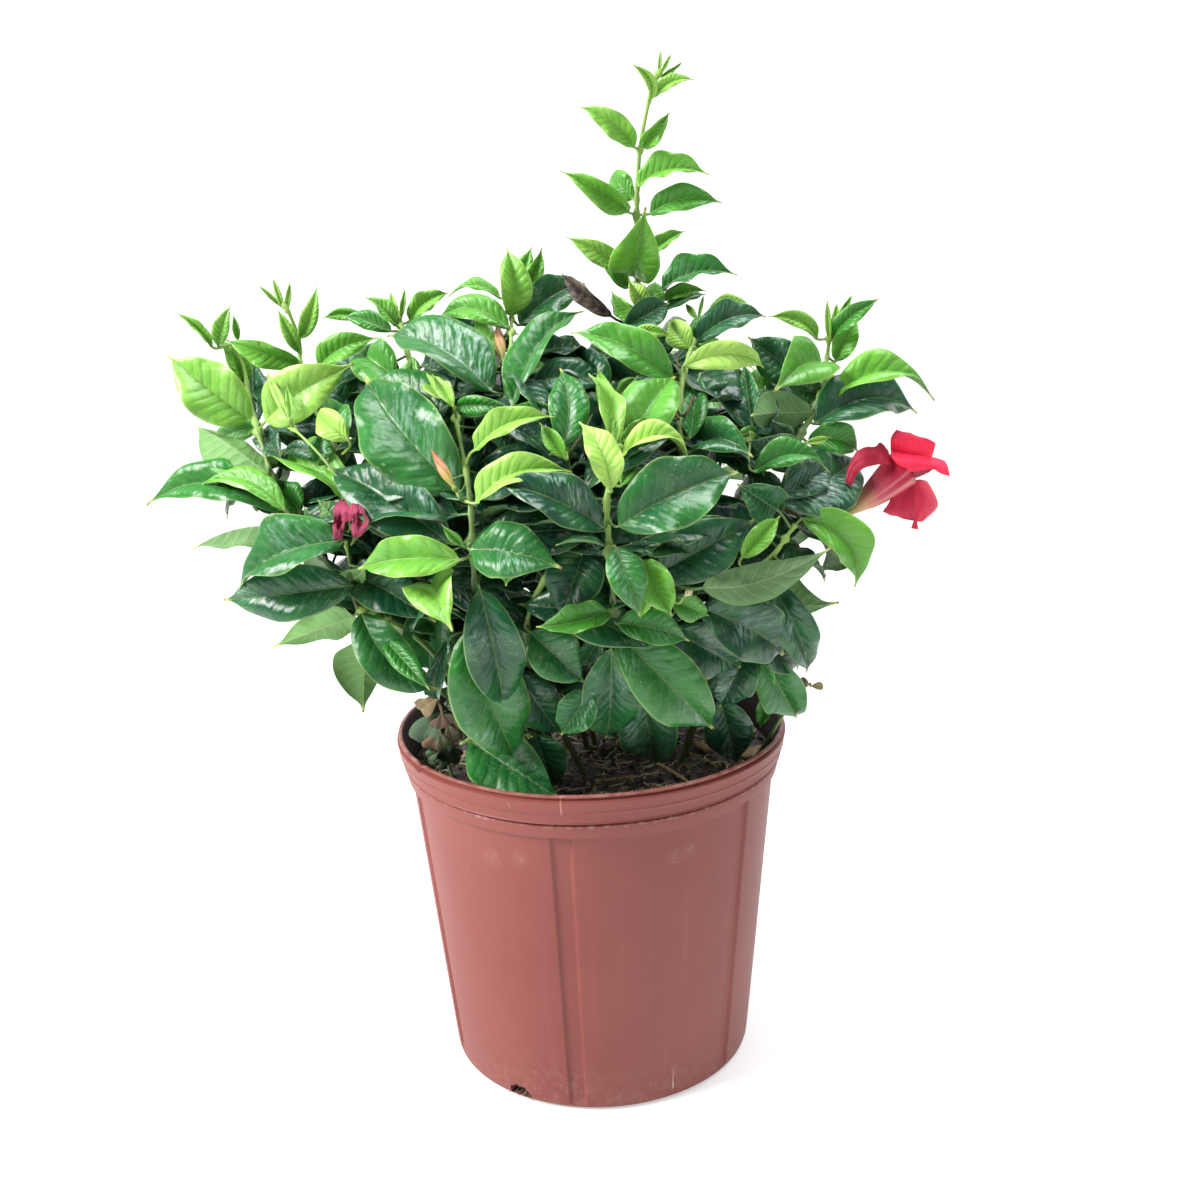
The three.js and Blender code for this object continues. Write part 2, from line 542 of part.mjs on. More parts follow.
// One body of several. A pocket that crossing leaves close in would be a shell of its own inside, so it is filled.
function joined(solids) {
  const whole = solids.reduce((sum, piece) => sum.add(piece));
  const shells = whole.decompose().filter((shell) => shell.volume() > 0);
  return shells.reduce((sum, shell) => sum.add(shell));
}

function paint(color, roughness) {
  return new THREE.MeshStandardMaterial({ color, roughness, metalness: 0 });
}

// A closed ring of points for a round section with a few flat sides.
function ring(radius, sides) {
  const points = [];
  for (let i = 0; i < sides; i++) {
    const angle = (2 * Math.PI * i) / sides;
    points.push(new THREE.Vector2(radius * Math.cos(angle), radius * Math.sin(angle)));
  }
  return new THREE.Shape(points);
}

function tube(curve, radius, sides, steps) {
  return solidOf(new THREE.ExtrudeGeometry(ring(radius, sides), { steps, extrudePath: curve, bevelEnabled: false }));
}

// A profile of [radius, height] pairs turned about +Z.
function turned(profile, sides) {
  const points = profile.map(([radius, height]) => new THREE.Vector2(radius, height));
  return solidOf(new THREE.LatheGeometry(points, sides).rotateX(Math.PI / 2));
}

// A profile of [radius, share of the length] pairs turned about the line from one point to another.
function spindle(from, to, profile, sides) {
  const run = to.clone().sub(from);
  const length = run.length();
  const points = profile.map(([radius, share]) => new THREE.Vector2(radius, share * length));
  const geometry = new THREE.LatheGeometry(points, sides);
  geometry.applyQuaternion(new THREE.Quaternion().setFromUnitVectors(new THREE.Vector3(0, 1, 0), run.normalize()));
  geometry.translate(from.x, from.y, from.z);
  return solidOf(geometry);
}

// ---------------------------------------------------------------- stems

// A line bent at given points. A tube along it has its rings at those points and nowhere else.
class BentLine extends THREE.Curve {
  constructor(points) {
    super();
    this.points = points;
  }

  getPoint(t, target = new THREE.Vector3()) {
    const x = t * (this.points.length - 1);
    const i = Math.min(Math.floor(x), this.points.length - 2);
    return target.lerpVectors(this.points[i], this.points[i + 1], x - i);
  }

  getPointAt(u, target) {
    return this.getPoint(u, target);
  }

  getTangentAt(u, target) {
    return this.getTangent(u, target);
  }

  // Spots evenly spaced on each straight stretch, all of them inside a tube along the line: the far end is left out.
  samples() {
    return this.getPoints((this.points.length - 1) * STEM.samples).slice(0, -1);
  }
}

// The bends of a limb through its places: one at each place and one more between each two.
function bends(places) {
  if (places.length === 2) return places;
  return new THREE.CatmullRomCurve3(places, false, "catmullrom", 0.5).getPoints(2 * (places.length - 1));
}

function nearest(limbs, point) {
  const candidates = limbs.flatMap((limb) => limb.samples());
  return candidates.reduce((best, next) => (next.distanceTo(point) < best.distanceTo(point) ? next : best));
}

// A stem that stands in the mix at a place and rises through others.
function rootedLimb(x, y, places) {
  const buried = new THREE.Vector3(x, y, MIX.top - STEM.buried);
  return new BentLine([buried, ...bends([new THREE.Vector3(x, y, MIX.top), ...places])]);
}

function frontLimbs(plan) {
  const [trunk, ...sides] = plan.paths.map((path) => path.map(place));
  const limbs = [rootedLimb(...plan.root, trunk)];
  for (const side of sides) limbs.push(new BentLine(bends([nearest(limbs, side[0]), ...side])));
  return limbs;
}

function limbSolids(limbs, extra = 0) {
  return limbs.map((limb, i) => {
    const radius = i === 0 ? STEM.main : STEM.twig;
    return tube(limb, radius + extra, STEM.sides, limb.points.length - 1);
  });
}

// ---------------------------------------------------------------- leaves

// The outline: how wide a blade is at a share of its length, rounded at the base and drawn out to a tip.
function widthAt(t) {
  const body = Math.sin(Math.PI * t ** 0.82) ** 0.75 * (1 - 0.25 * t ** 3);
  const neck = 0.84;
  return t > neck ? body * (1 - 0.45 * Math.sin((Math.PI / 2) * ((t - neck) / (1 - neck)))) : body;
}

function leafFrame(leaf) {
  const along = leaf.tip.clone().sub(leaf.base);
  const length = along.length();
  along.normalize();
  const facing = leaf.toward.clone().addScaledVector(along, -leaf.toward.dot(along)).normalize();
  const across = along.clone().cross(facing);
  const roll = THREE.MathUtils.degToRad(leaf.roll);
  return {
    length,
    along,
    face: facing.clone().multiplyScalar(Math.cos(roll)).addScaledVector(across, Math.sin(roll)),
    side: across.clone().multiplyScalar(Math.cos(roll)).addScaledVector(facing, -Math.sin(roll)),
  };
}

// A point of the blade's middle line at a share of its length.
function midrib(leaf, frame, t) {
  const arch = 4 * t * (1 - t) * frame.length;
  return leaf.base.clone()
    .addScaledVector(frame.along, frame.length * t)
    .addScaledVector(frame.face, leaf.bow * arch)
    .addScaledVector(frame.side, leaf.sweep * arch);
}

// A blade is a sphere pressed flat: its poles are the leaf's base and tip, and its middle line is folded.
function blade(leaf, halfThickness = BLADE.halfThickness, spread = 1) {
  const frame = leafFrame(leaf);
  const fold = THREE.MathUtils.degToRad(leaf.fold);
  const geometry = new THREE.SphereGeometry(1, BLADE.around, BLADE.along);
  const corners = geometry.attributes.position;
  for (let i = 0; i < corners.count; i++) {
    const t = Math.acos(THREE.MathUtils.clamp(corners.getY(i), -1, 1)) / Math.PI;
    const girth = Math.sin(Math.PI * t);
    const pole = girth < 1e-6;
    const side = pole ? 0 : -Math.round(corners.getX(i) / girth);
    const face = pole ? 0 : Math.round(corners.getZ(i) / girth);
    const halfWidth = pole ? 0 : 0.5 * leaf.width * frame.length * widthAt(t) * spread;
    const point = midrib(leaf, frame, t)
      .addScaledVector(frame.side, side * halfWidth * Math.cos(fold))
      .addScaledVector(frame.face, Math.abs(side) * halfWidth * Math.sin(fold) + face * halfThickness);
    corners.setXYZ(i, point.x, point.y, point.z);
  }
  return solidOf(geometry);
}

// The stalk alone, from the stem to the blade's base.
function stalk(leaf, limbs, radius = STALK.radius) {
  return tube(new THREE.LineCurve3(nearest(limbs, leaf.base), leaf.base), radius, STALK.sides, 1);
}

// A whole leaf as one body: a square stalk that starts inside the stem, and the folded blade that it widens into.
// The stalk's rings are turned from the blade's own way to the stalk's.
function stalkedLeaf(leaf, limbs) {
  const frame = leafFrame(leaf);
  const fold = THREE.MathUtils.degToRad(leaf.fold);
  const root = nearest(limbs, leaf.base);
  const straight = new THREE.Quaternion();
  const turn = straight.clone().setFromUnitVectors(frame.along, leaf.base.clone().sub(root).normalize());
  const round = { half: STALK.radius, rise: 0, thick: STALK.radius };
  const point = { half: 0, rise: 0, thick: 0 };
  const shares = frame.length < BLADE.small || !leaf.fine ? BLADE.fewShares : BLADE.shares;
  const rings = [
    { middle: root, turn: straight, ...point },
    { middle: root.clone().lerp(leaf.base, STALK.collar), turn, ...round },
    { middle: midrib(leaf, frame, BLADE.neck), turn: straight.clone().slerp(turn, 0.5), ...round },
    ...shares.map((t) => {
      const half = 0.5 * leaf.width * frame.length * widthAt(t);
      const edge = { half: half * Math.cos(fold), rise: half * Math.sin(fold) };
      return { middle: midrib(leaf, frame, t), turn: straight, ...edge, thick: BLADE.halfThickness };
    }),
    { middle: leaf.tip, turn: straight, ...point },
  ];
  const geometry = new THREE.SphereGeometry(1, BLADE.around, rings.length - 1);
  const corners = geometry.attributes.position;
  for (let i = 0; i < corners.count; i++) {
    const angle = Math.acos(THREE.MathUtils.clamp(corners.getY(i), -1, 1));
    const ring = rings[Math.round((angle / Math.PI) * (rings.length - 1))];
    const girth = Math.max(Math.sin(angle), 1e-6);
    const side = -Math.round(corners.getX(i) / girth);
    const face = Math.round(corners.getZ(i) / girth);
    const offset = new THREE.Vector3()
      .addScaledVector(frame.side, side * ring.half)
      .addScaledVector(frame.face, Math.abs(side) * ring.rise + face * ring.thick);
    offset.applyQuaternion(ring.turn).add(ring.middle);
    corners.setXYZ(i, offset.x, offset.y, offset.z);
  }
  return solidOf(geometry);
}

// A leaf of the front: its row on the sheet, slid back along the sight line by whole steps.
function frontLeaf([baseAcross, baseDown, baseBack, tipAcross, tipDown, tipBack, width, roll, fold, bow, sweep], step) {
  const base = place([baseAcross, baseDown, baseBack + step * SLIDE.base]);
  const tip = place([tipAcross, tipDown, tipBack + step * SLIDE.tip]);
  const toward = EYE.clone().sub(base.clone().lerp(tip, 0.5));
  return { base, tip, toward, width, roll, fold, bow, sweep, fine: true };
}

// ---------------------------------------------------------------- keeping pieces apart

function boxOf(solid) {
  const box = solid.boundingBox();
  return new THREE.Box3(new THREE.Vector3(...box.min), new THREE.Vector3(...box.max));
}

function taken(owner, kind, solid) {
  return { owner, kind, solid, box: boxOf(solid) };
}

function meets(trial, other) {
  return trial.box.intersectsBox(other.box) && !trial.solid.intersect(other.solid).isEmpty();
}

// A leaf clears the pieces of other stems, and, if it is strict, the blades of its own stem too.
function clears(leaf, limbs, owner, placed, strict) {
  const body = taken(owner, "blade", blade(leaf, CLEAR.halfThickness, CLEAR.spread));
  const neck = taken(owner, "stalk", stalk(leaf, limbs, STALK.radius + CLEAR.stalk));
  return placed.every((other) => {
    if (other.owner !== owner) return !meets(body, other) && !meets(neck, other);
    return !(strict && other.kind === "blade") || !meets(body, other);
  });
}

function settle(row, limbs, owner, placed) {
  for (const strict of [true, false]) {
    for (let i = 0; i <= 2 * SLIDE.steps; i++) {
      const step = i % 2 ? (i + 1) / 2 : -i / 2;
      const leaf = frontLeaf(row, step);
      if (clears(leaf, limbs, owner, placed, strict)) return leaf;
    }
  }
  return null;
}

function attach(plant, leaf, placed) {
  plant.solids.push(stalkedLeaf(leaf, plant.limbs));
  placed.push(taken(plant.name, "blade", blade(leaf)), taken(plant.name, "stalk", stalk(leaf, plant.limbs)));
}

// ---------------------------------------------------------------- the back of the bush

// An even scatter of numbers between 0 and 1.
function scatter(i, k) {
  const x = i * 0.7548776662 + k * 0.569840291;
  return x - Math.floor(x);
}

function backCurve(i) {
  const turn = THREE.MathUtils.degToRad(THREE.MathUtils.lerp(BACK.first, BACK.last, i / (BACK.count - 1)));
  const outward = new THREE.Vector3(Math.cos(turn), Math.sin(turn), 0);
  const reach = BACK.reach * (BACK.sideShare + (1 - BACK.sideShare) * Math.max(0, Math.sin(turn)));
  const height = THREE.MathUtils.lerp(BACK.lowTop, BACK.highTop, scatter(i, 3));
  const root = outward.clone().multiplyScalar(BACK.root);
  const rise = BACK.rise.map(([share, up]) => {
    const radius = THREE.MathUtils.lerp(BACK.root, reach, share);
    return outward.clone().multiplyScalar(radius).setZ(MIX.top + up * height);
  });
  return { outward, curve: rootedLimb(root.x, root.y, rise) };
}

// Leaves stand in pairs, each pair turned a quarter from the last, and all of them reach outwards a little.
function backLeaf(i, pair, hand, { outward, curve }) {
  const key = 2 * pair + hand;
  const spot = curve.getPoint(THREE.MathUtils.lerp(BACK.lowest, 1, pair / (BACK.pairs - 1)));
  const quarter = (pair % 2 ? 0 : Math.PI / 2) + hand * Math.PI;
  const turn = Math.atan2(outward.y, outward.x) + quarter + BACK.wander * (scatter(i, key) - 0.5);
  const heading = new THREE.Vector3(Math.cos(turn), Math.sin(turn), BACK.lift * (scatter(i, key + 31) - 0.5));
  heading.addScaledVector(outward, BACK.outward).normalize();
  const length = THREE.MathUtils.lerp(BACK.shortest, BACK.longest, scatter(i, key + 57));
  const base = spot.clone().addScaledVector(heading, BACK.stalk);
  const tip = base.clone().addScaledVector(heading, length).add(new THREE.Vector3(0, 0, -BACK.droop * length));
  const toward = new THREE.Vector3(0, 0, 1).addScaledVector(outward, BACK.tilt);
  return {
    base, tip, toward,
    width: THREE.MathUtils.lerp(BACK.slim, BACK.broad, scatter(i, key + 11)),
    roll: BACK.roll * (scatter(i, key + 23) - 0.5),
    fold: BACK.fold,
    bow: BACK.bow,
    sweep: BACK.sweep * (scatter(i, key + 41) - 0.5),
    fine: false,
  };
}

// Whether a point lies behind the thick of the bush, where the front hides it.
function hidden(point) {
  const [across, down] = onSheet(point);
  const x = (across - THICK.across) / THICK.halfWidth;
  const y = (down - THICK.down) / THICK.halfHeight;
  return x * x + y * y < 1;
}

function backPlants(placed) {
  const plants = [];
  for (let i = 0; i < BACK.count; i++) {
    const stem = backCurve(i);
    const plant = { name: `back_stem_${i + 1}`, limbs: [stem.curve], solids: limbSolids([stem.curve]), stem };
    placed.push(...plant.solids.map((solid) => taken(plant.name, "limb", solid)));
    plants.push(plant);
  }
  return plants;
}

function growBackLeaves(plants, placed) {
  for (const [i, plant] of plants.entries()) {
    for (let pair = 0; pair < BACK.pairs; pair++) {
      for (const hand of [0, 1]) {
        const leaf = backLeaf(i, pair, hand, plant.stem);
        if (!hidden(leaf.base) || !hidden(leaf.tip)) continue;
        if (clears(leaf, plant.limbs, plant.name, placed, true)) attach(plant, leaf, placed);
      }
    }
  }
}

// ---------------------------------------------------------------- the front of the bush

function frontPlants(placed) {
  const plants = FRONT_STEMS.map((plan) => {
    const limbs = frontLimbs(plan);
    return { name: plan.name, limbs, solids: limbSolids(limbs), rows: plan.leaves };
  });
  for (const plant of plants) placed.push(...plant.solids.map((solid) => taken(plant.name, "limb", solid)));
  return plants;
}

function growFrontLeaves(plants, placed) {
  const rows = plants.flatMap((plant) => plant.rows.map((row) => ({ plant, row, leaf: frontLeaf(row, 0) })));
  rows.sort((a, b) => a.leaf.base.y + a.leaf.tip.y - b.leaf.base.y - b.leaf.tip.y);
  for (const { plant, row } of rows) {
    const leaf = settle(row, plant.limbs, plant.name, placed);
    if (leaf) attach(plant, leaf, placed);
  }
}

// ---------------------------------------------------------------- flowers and buds

// The open flower: a slender tube that widens to a throat, and five petals that spread from its mouth.
function corolla() {
  const tube = spindle(place(FLOWER.base), place(FLOWER.throat), FLOWER.tube, FLOWER.sides);
  const rows = FLOWER.petals.map((row) => [...FLOWER.throat, ...row]);
  return joined([tube, ...rows.map((row) => blade(frontLeaf(row, 0), FLOWER.petalHalfThickness))]);
}

// The withered flower: a small green cup with two limp lobes hanging from it.
function fadedCorolla() {
  const rows = FADED.lobes.map((row) => [...FADED.throat, ...row]);
  const lobes = rows.map((row) => blade(frontLeaf(row, 0), FLOWER.petalHalfThickness));
  return joined([spindle(place(FADED.top), place(FADED.foot), FADED.cup, FLOWER.sides), ...lobes]);
}

function bud({ base, tip, radius }) {
  const profile = BUD_PROFILE.map(([share, along]) => [share * radius, along]);
  return spindle(place(base), place(tip), profile, FLOWER.sides);
}

// ---------------------------------------------------------------- pot and mix

const INNER_WALL = [
  [POT.footRadius - POT.wall + 0.4, POT.floor],
  [POT.wallTopRadius - POT.wall, POT.height - POT.rimDepth],
  [POT.shoulderRadius - POT.wall - 1.6, POT.height - 21],
  [POT.lipRadius - POT.wall - 3.4, POT.height - 11.5],
  [POT.lipRadius - POT.wall - 0.4, POT.height],
];

const OUTER_WALL = [
  [POT.lipRadius, POT.height],
  [POT.beadRadius, POT.height - 1.8],
  [POT.lipRadius - 0.6, POT.height - 4.5],
  [POT.lipRadius - 2, POT.height - 11.6],
  [POT.lipRadius - 3.3, POT.height - 19.5],
  [POT.shoulderRadius - 1.7, POT.height - 20.3],
  [POT.shoulderRadius, POT.height - 21.3],
  [POT.shoulderRadius - 0.1, POT.height - 26.3],
  [POT.wallTopRadius, POT.height - POT.rimDepth],
  [POT.wallFootRadius, 6],
  [POT.footRadius, 0],
];

function innerRadius(z) {
  const i = INNER_WALL.findIndex(([, height]) => height > z);
  const [lowRadius, low] = INNER_WALL[i - 1];
  const [highRadius, high] = INNER_WALL[i];
  return THREE.MathUtils.mapLinear(z, low, high, lowRadius, highRadius);
}

// A block standing across the wall at an angle from the front, between two radii and two heights.
function wallBlock(angle, width, [nearFoot, nearTop], thickness, [low, high]) {
  const outline = new THREE.Shape([
    new THREE.Vector2(nearFoot, low),
    new THREE.Vector2(nearFoot + thickness, low),
    new THREE.Vector2(nearTop + thickness, high),
    new THREE.Vector2(nearTop, high),
  ]);
  const geometry = new THREE.ExtrudeGeometry(outline, { depth: width, bevelEnabled: false });
  geometry.translate(0, 0, -width / 2).rotateX(Math.PI / 2);
  geometry.rotateZ(THREE.MathUtils.degToRad(angle - 90));
  return solidOf(geometry);
}

function pot() {
  let solid = turned([[0, 0], ...[...OUTER_WALL].reverse(), ...[...INNER_WALL].reverse(), [0, POT.floor]], POT.sides);
  for (let i = 0; i < CHANNEL.count; i++) {
    const angle = CHANNEL.first + (360 * i) / CHANNEL.count;
    const face = [POT.wallFootRadius - CHANNEL.depth, POT.wallTopRadius - CHANNEL.depth];
    solid = solid.subtract(wallBlock(angle, CHANNEL.width, face, 10, [CHANNEL.foot, CHANNEL.top]));
  }
  for (const angle of DRAIN.angles) {
    const face = [POT.footRadius - DRAIN.reach, POT.footRadius - DRAIN.reach];
    solid = solid.subtract(wallBlock(angle, DRAIN.width, face, 30, [-5, DRAIN.height]));
  }
  return solid;
}

function pottingMix(plants) {
  const foot = POT.floor + GAP;
  const heights = [foot, POT.height - POT.rimDepth, MIX.top];
  const profile = heights.map((z) => [innerRadius(z) - GAP, z]);
  const whole = turned([[0, foot], ...profile, [0, MIX.top]], POT.sides);
  const sleeves = plants.map((plant) => limbSolids([plant.limbs[0]], STEM.sleeve)[0]);
  return sleeves.reduce((mix, sleeve) => mix.subtract(sleeve), whole);
}

// ---------------------------------------------------------------- weeds, straw and bark

// A small weed: a shoot with leaflets, rooted in the mix like the stems.
function weedPlant({ name, root, shoots, leaves }) {
  const limbs = frontLimbs({ root, paths: shoots });
  return { name, limbs, solids: limbSolids(limbs), rows: leaves };
}

// The point at a given height on the sight line through a spot of the sheet.
function lying([across, down], height) {
  const sight = place([across, down, 0]).sub(EYE);
  return EYE.clone().addScaledVector(sight, (height - EYE.z) / sight.z);
}

function straw({ from, to, radius }) {
  const height = MIX.top + GAP + radius;
  return tube(new THREE.LineCurve3(lying(from, height), lying(to, height)), radius, 4, 1);
}

function chip({ from, to, width }) {
  const height = MIX.top + GAP + CHIP_HALF_THICKNESS;
  const leaf = { base: lying(from, height), tip: lying(to, height), toward: new THREE.Vector3(0, 0, 1) };
  return blade({ ...leaf, width, roll: 0, fold: 0, bow: 0, sweep: 0 }, CHIP_HALF_THICKNESS);
}

// ---------------------------------------------------------------- the whole

const FOLIAGE = paint("#2f6b38", 0.45);
const PAINTS = {
  pot: paint("#b46e64", 0.55),
  mix: paint("#241c18", 0.95),
  crimson: paint("#e8274f", 0.5),
  faded: paint("#7d2340", 0.7),
  bud: paint("#c9a07a", 0.5),
  weed: paint("#5c6b48", 0.6),
  straw: paint("#b3936a", 0.8),
  bark: paint("#8a6a4a", 0.85),
};

function build() {
  const model = new THREE.Group();
  const placed = [];
  const add = (name, solid, material) => {
    model.add(meshOf(name, solid, material));
    placed.push(taken(name, "body", solid));
  };

  add("pot", pot(), PAINTS.pot);
  add("corolla", corolla(), PAINTS.crimson);
  add("faded_corolla", fadedCorolla(), PAINTS.faded);
  for (const plan of BUDS) add(plan.name, bud(plan), PAINTS.bud);
  STRAWS.forEach((plan, i) => add(`straw_${i + 1}`, straw(plan), PAINTS.straw));
  CHIPS.forEach((plan, i) => add(`bark_chip_${i + 1}`, chip(plan), PAINTS.bark));

  const front = frontPlants(placed);
  const weeds = WEEDS.map(weedPlant);
  const back = backPlants(placed);
  const mix = pottingMix([...front, ...back, ...weeds]);
  add("potting_mix", mix, PAINTS.mix);

  growFrontLeaves([...front, ...weeds], placed);
  growBackLeaves(back, placed);
  for (const plant of [...front, ...back]) model.add(meshOf(plant.name, joined(plant.solids), FOLIAGE));
  for (const plant of weeds) model.add(meshOf(plant.name, joined(plant.solids), PAINTS.weed));
  return model;
}

export default build();
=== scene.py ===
"""Looks for a young climbing mandevilla in a moulded nursery pot."""

import math

import bpy
import numpy as np
from mathutils import Matrix, Vector, noise


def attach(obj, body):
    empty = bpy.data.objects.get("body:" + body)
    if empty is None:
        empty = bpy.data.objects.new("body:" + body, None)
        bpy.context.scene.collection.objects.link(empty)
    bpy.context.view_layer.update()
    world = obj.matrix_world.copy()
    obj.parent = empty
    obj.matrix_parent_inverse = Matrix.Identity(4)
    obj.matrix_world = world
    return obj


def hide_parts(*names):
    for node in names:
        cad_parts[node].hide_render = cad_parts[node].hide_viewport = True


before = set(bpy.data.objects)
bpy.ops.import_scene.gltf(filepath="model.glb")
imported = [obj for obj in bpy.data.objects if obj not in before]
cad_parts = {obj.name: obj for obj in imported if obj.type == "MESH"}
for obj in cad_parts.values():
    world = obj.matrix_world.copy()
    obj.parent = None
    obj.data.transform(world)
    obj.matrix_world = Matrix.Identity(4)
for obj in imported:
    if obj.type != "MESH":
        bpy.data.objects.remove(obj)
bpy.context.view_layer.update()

bl_info = {
    "name": "Potted Mandevilla",
    "version": (1, 0, 0),
    "blender": (4, 5, 0),
    "location": "View3D > Sidebar > Mandevilla",
    "description": "Builds a potted mandevilla with leaves, flowers, mix and pot",
    "category": "Object",
}

MM = 0.001

# ---------------------------------------------------------------- the sheet that the front is set out on

# A place is (across, down, back). Across and down are read on a sheet held square to the sight line, SHEET units from
# EYE and with its middle at (MIDDLE, MIDDLE). Back is in millimetres behind the bush's rounded front.
EYE = np.array([0.0, -949.0, 599.0])
SHEET = 1450
MIDDLE = 600
LOOK_DOWN, LOOK_LEAN, LOOK_TURN = 0.2795, -0.0356, 0.0097
FRONT_ACROSS, FRONT_DOWN, FRONT_HALF_WIDTH, FRONT_HALF_HEIGHT, FRONT_BULGE = 560, 560, 400, 270, 150
# Front leaves are slid by whole steps: how far a step goes at a leaf's base and at its tip, and the most steps.
SLIDE_BASE, SLIDE_TIP, SLIDE_STEPS = 4, 8, 8

AHEAD = np.array([
    math.sin(LOOK_TURN) * math.cos(LOOK_DOWN),
    math.cos(LOOK_TURN) * math.cos(LOOK_DOWN),
    -math.sin(LOOK_DOWN),
])
LEVEL = np.array([math.cos(LOOK_TURN), -math.sin(LOOK_TURN), 0.0])
RAISED = np.cross(LEVEL, AHEAD)
RIGHTWARD = math.cos(LOOK_LEAN) * LEVEL + math.sin(LOOK_LEAN) * RAISED
UPWARD = math.cos(LOOK_LEAN) * RAISED - math.sin(LOOK_LEAN) * LEVEL

# ---------------------------------------------------------------- sizes of the plant, in millimetres

# How high the mix stands, and how deep the stems' feet are in it.
MIX_TOP, BURIED = 217.5, 34
# The radii of a stem and of its side branches, at the foot and at the top.
TRUNK_FOOT, TRUNK_TOP = 2.1, 0.95
TWIG_FOOT, TWIG_TOP = 1.1, 0.8
# The stems behind: their number, their first and last bearing in degrees from the right round the back, how far from
# the middle they root and reach, the share of that reach at the sides, and how high they rise over the mix.
BACK_COUNT, BACK_FIRST, BACK_LAST, BACK_ROOT, BACK_REACH = 9, -16, 190, 58, 150
BACK_SIDE_SHARE, BACK_LOW_TOP, BACK_HIGH_TOP = 0.72, 215, 262
# Their bend, as (share of the way out, share of the way up).
BACK_RISE = ((0.1, 0.25), (0.38, 0.6), (0.72, 0.88), (1, 1))
# Their leaves stand in pairs from a share of the stem's line up. The rest is how long, bent and turned they are.
BACK_PAIRS, BACK_LOWEST, BACK_SHORTEST, BACK_LONGEST, BACK_STALK = 7, 0.36, 46, 80, 10
BACK_DROOP, BACK_WANDER, BACK_LIFT, BACK_OUTWARD, BACK_TILT = 0.22, 0.9, 0.5, 0.35, 0.6
BACK_SLIM, BACK_BROAD, BACK_ROLL, BACK_FOLD, BACK_BOW, BACK_SWEEP = 0.46, 0.58, 50, 12, 0.08, 0.08

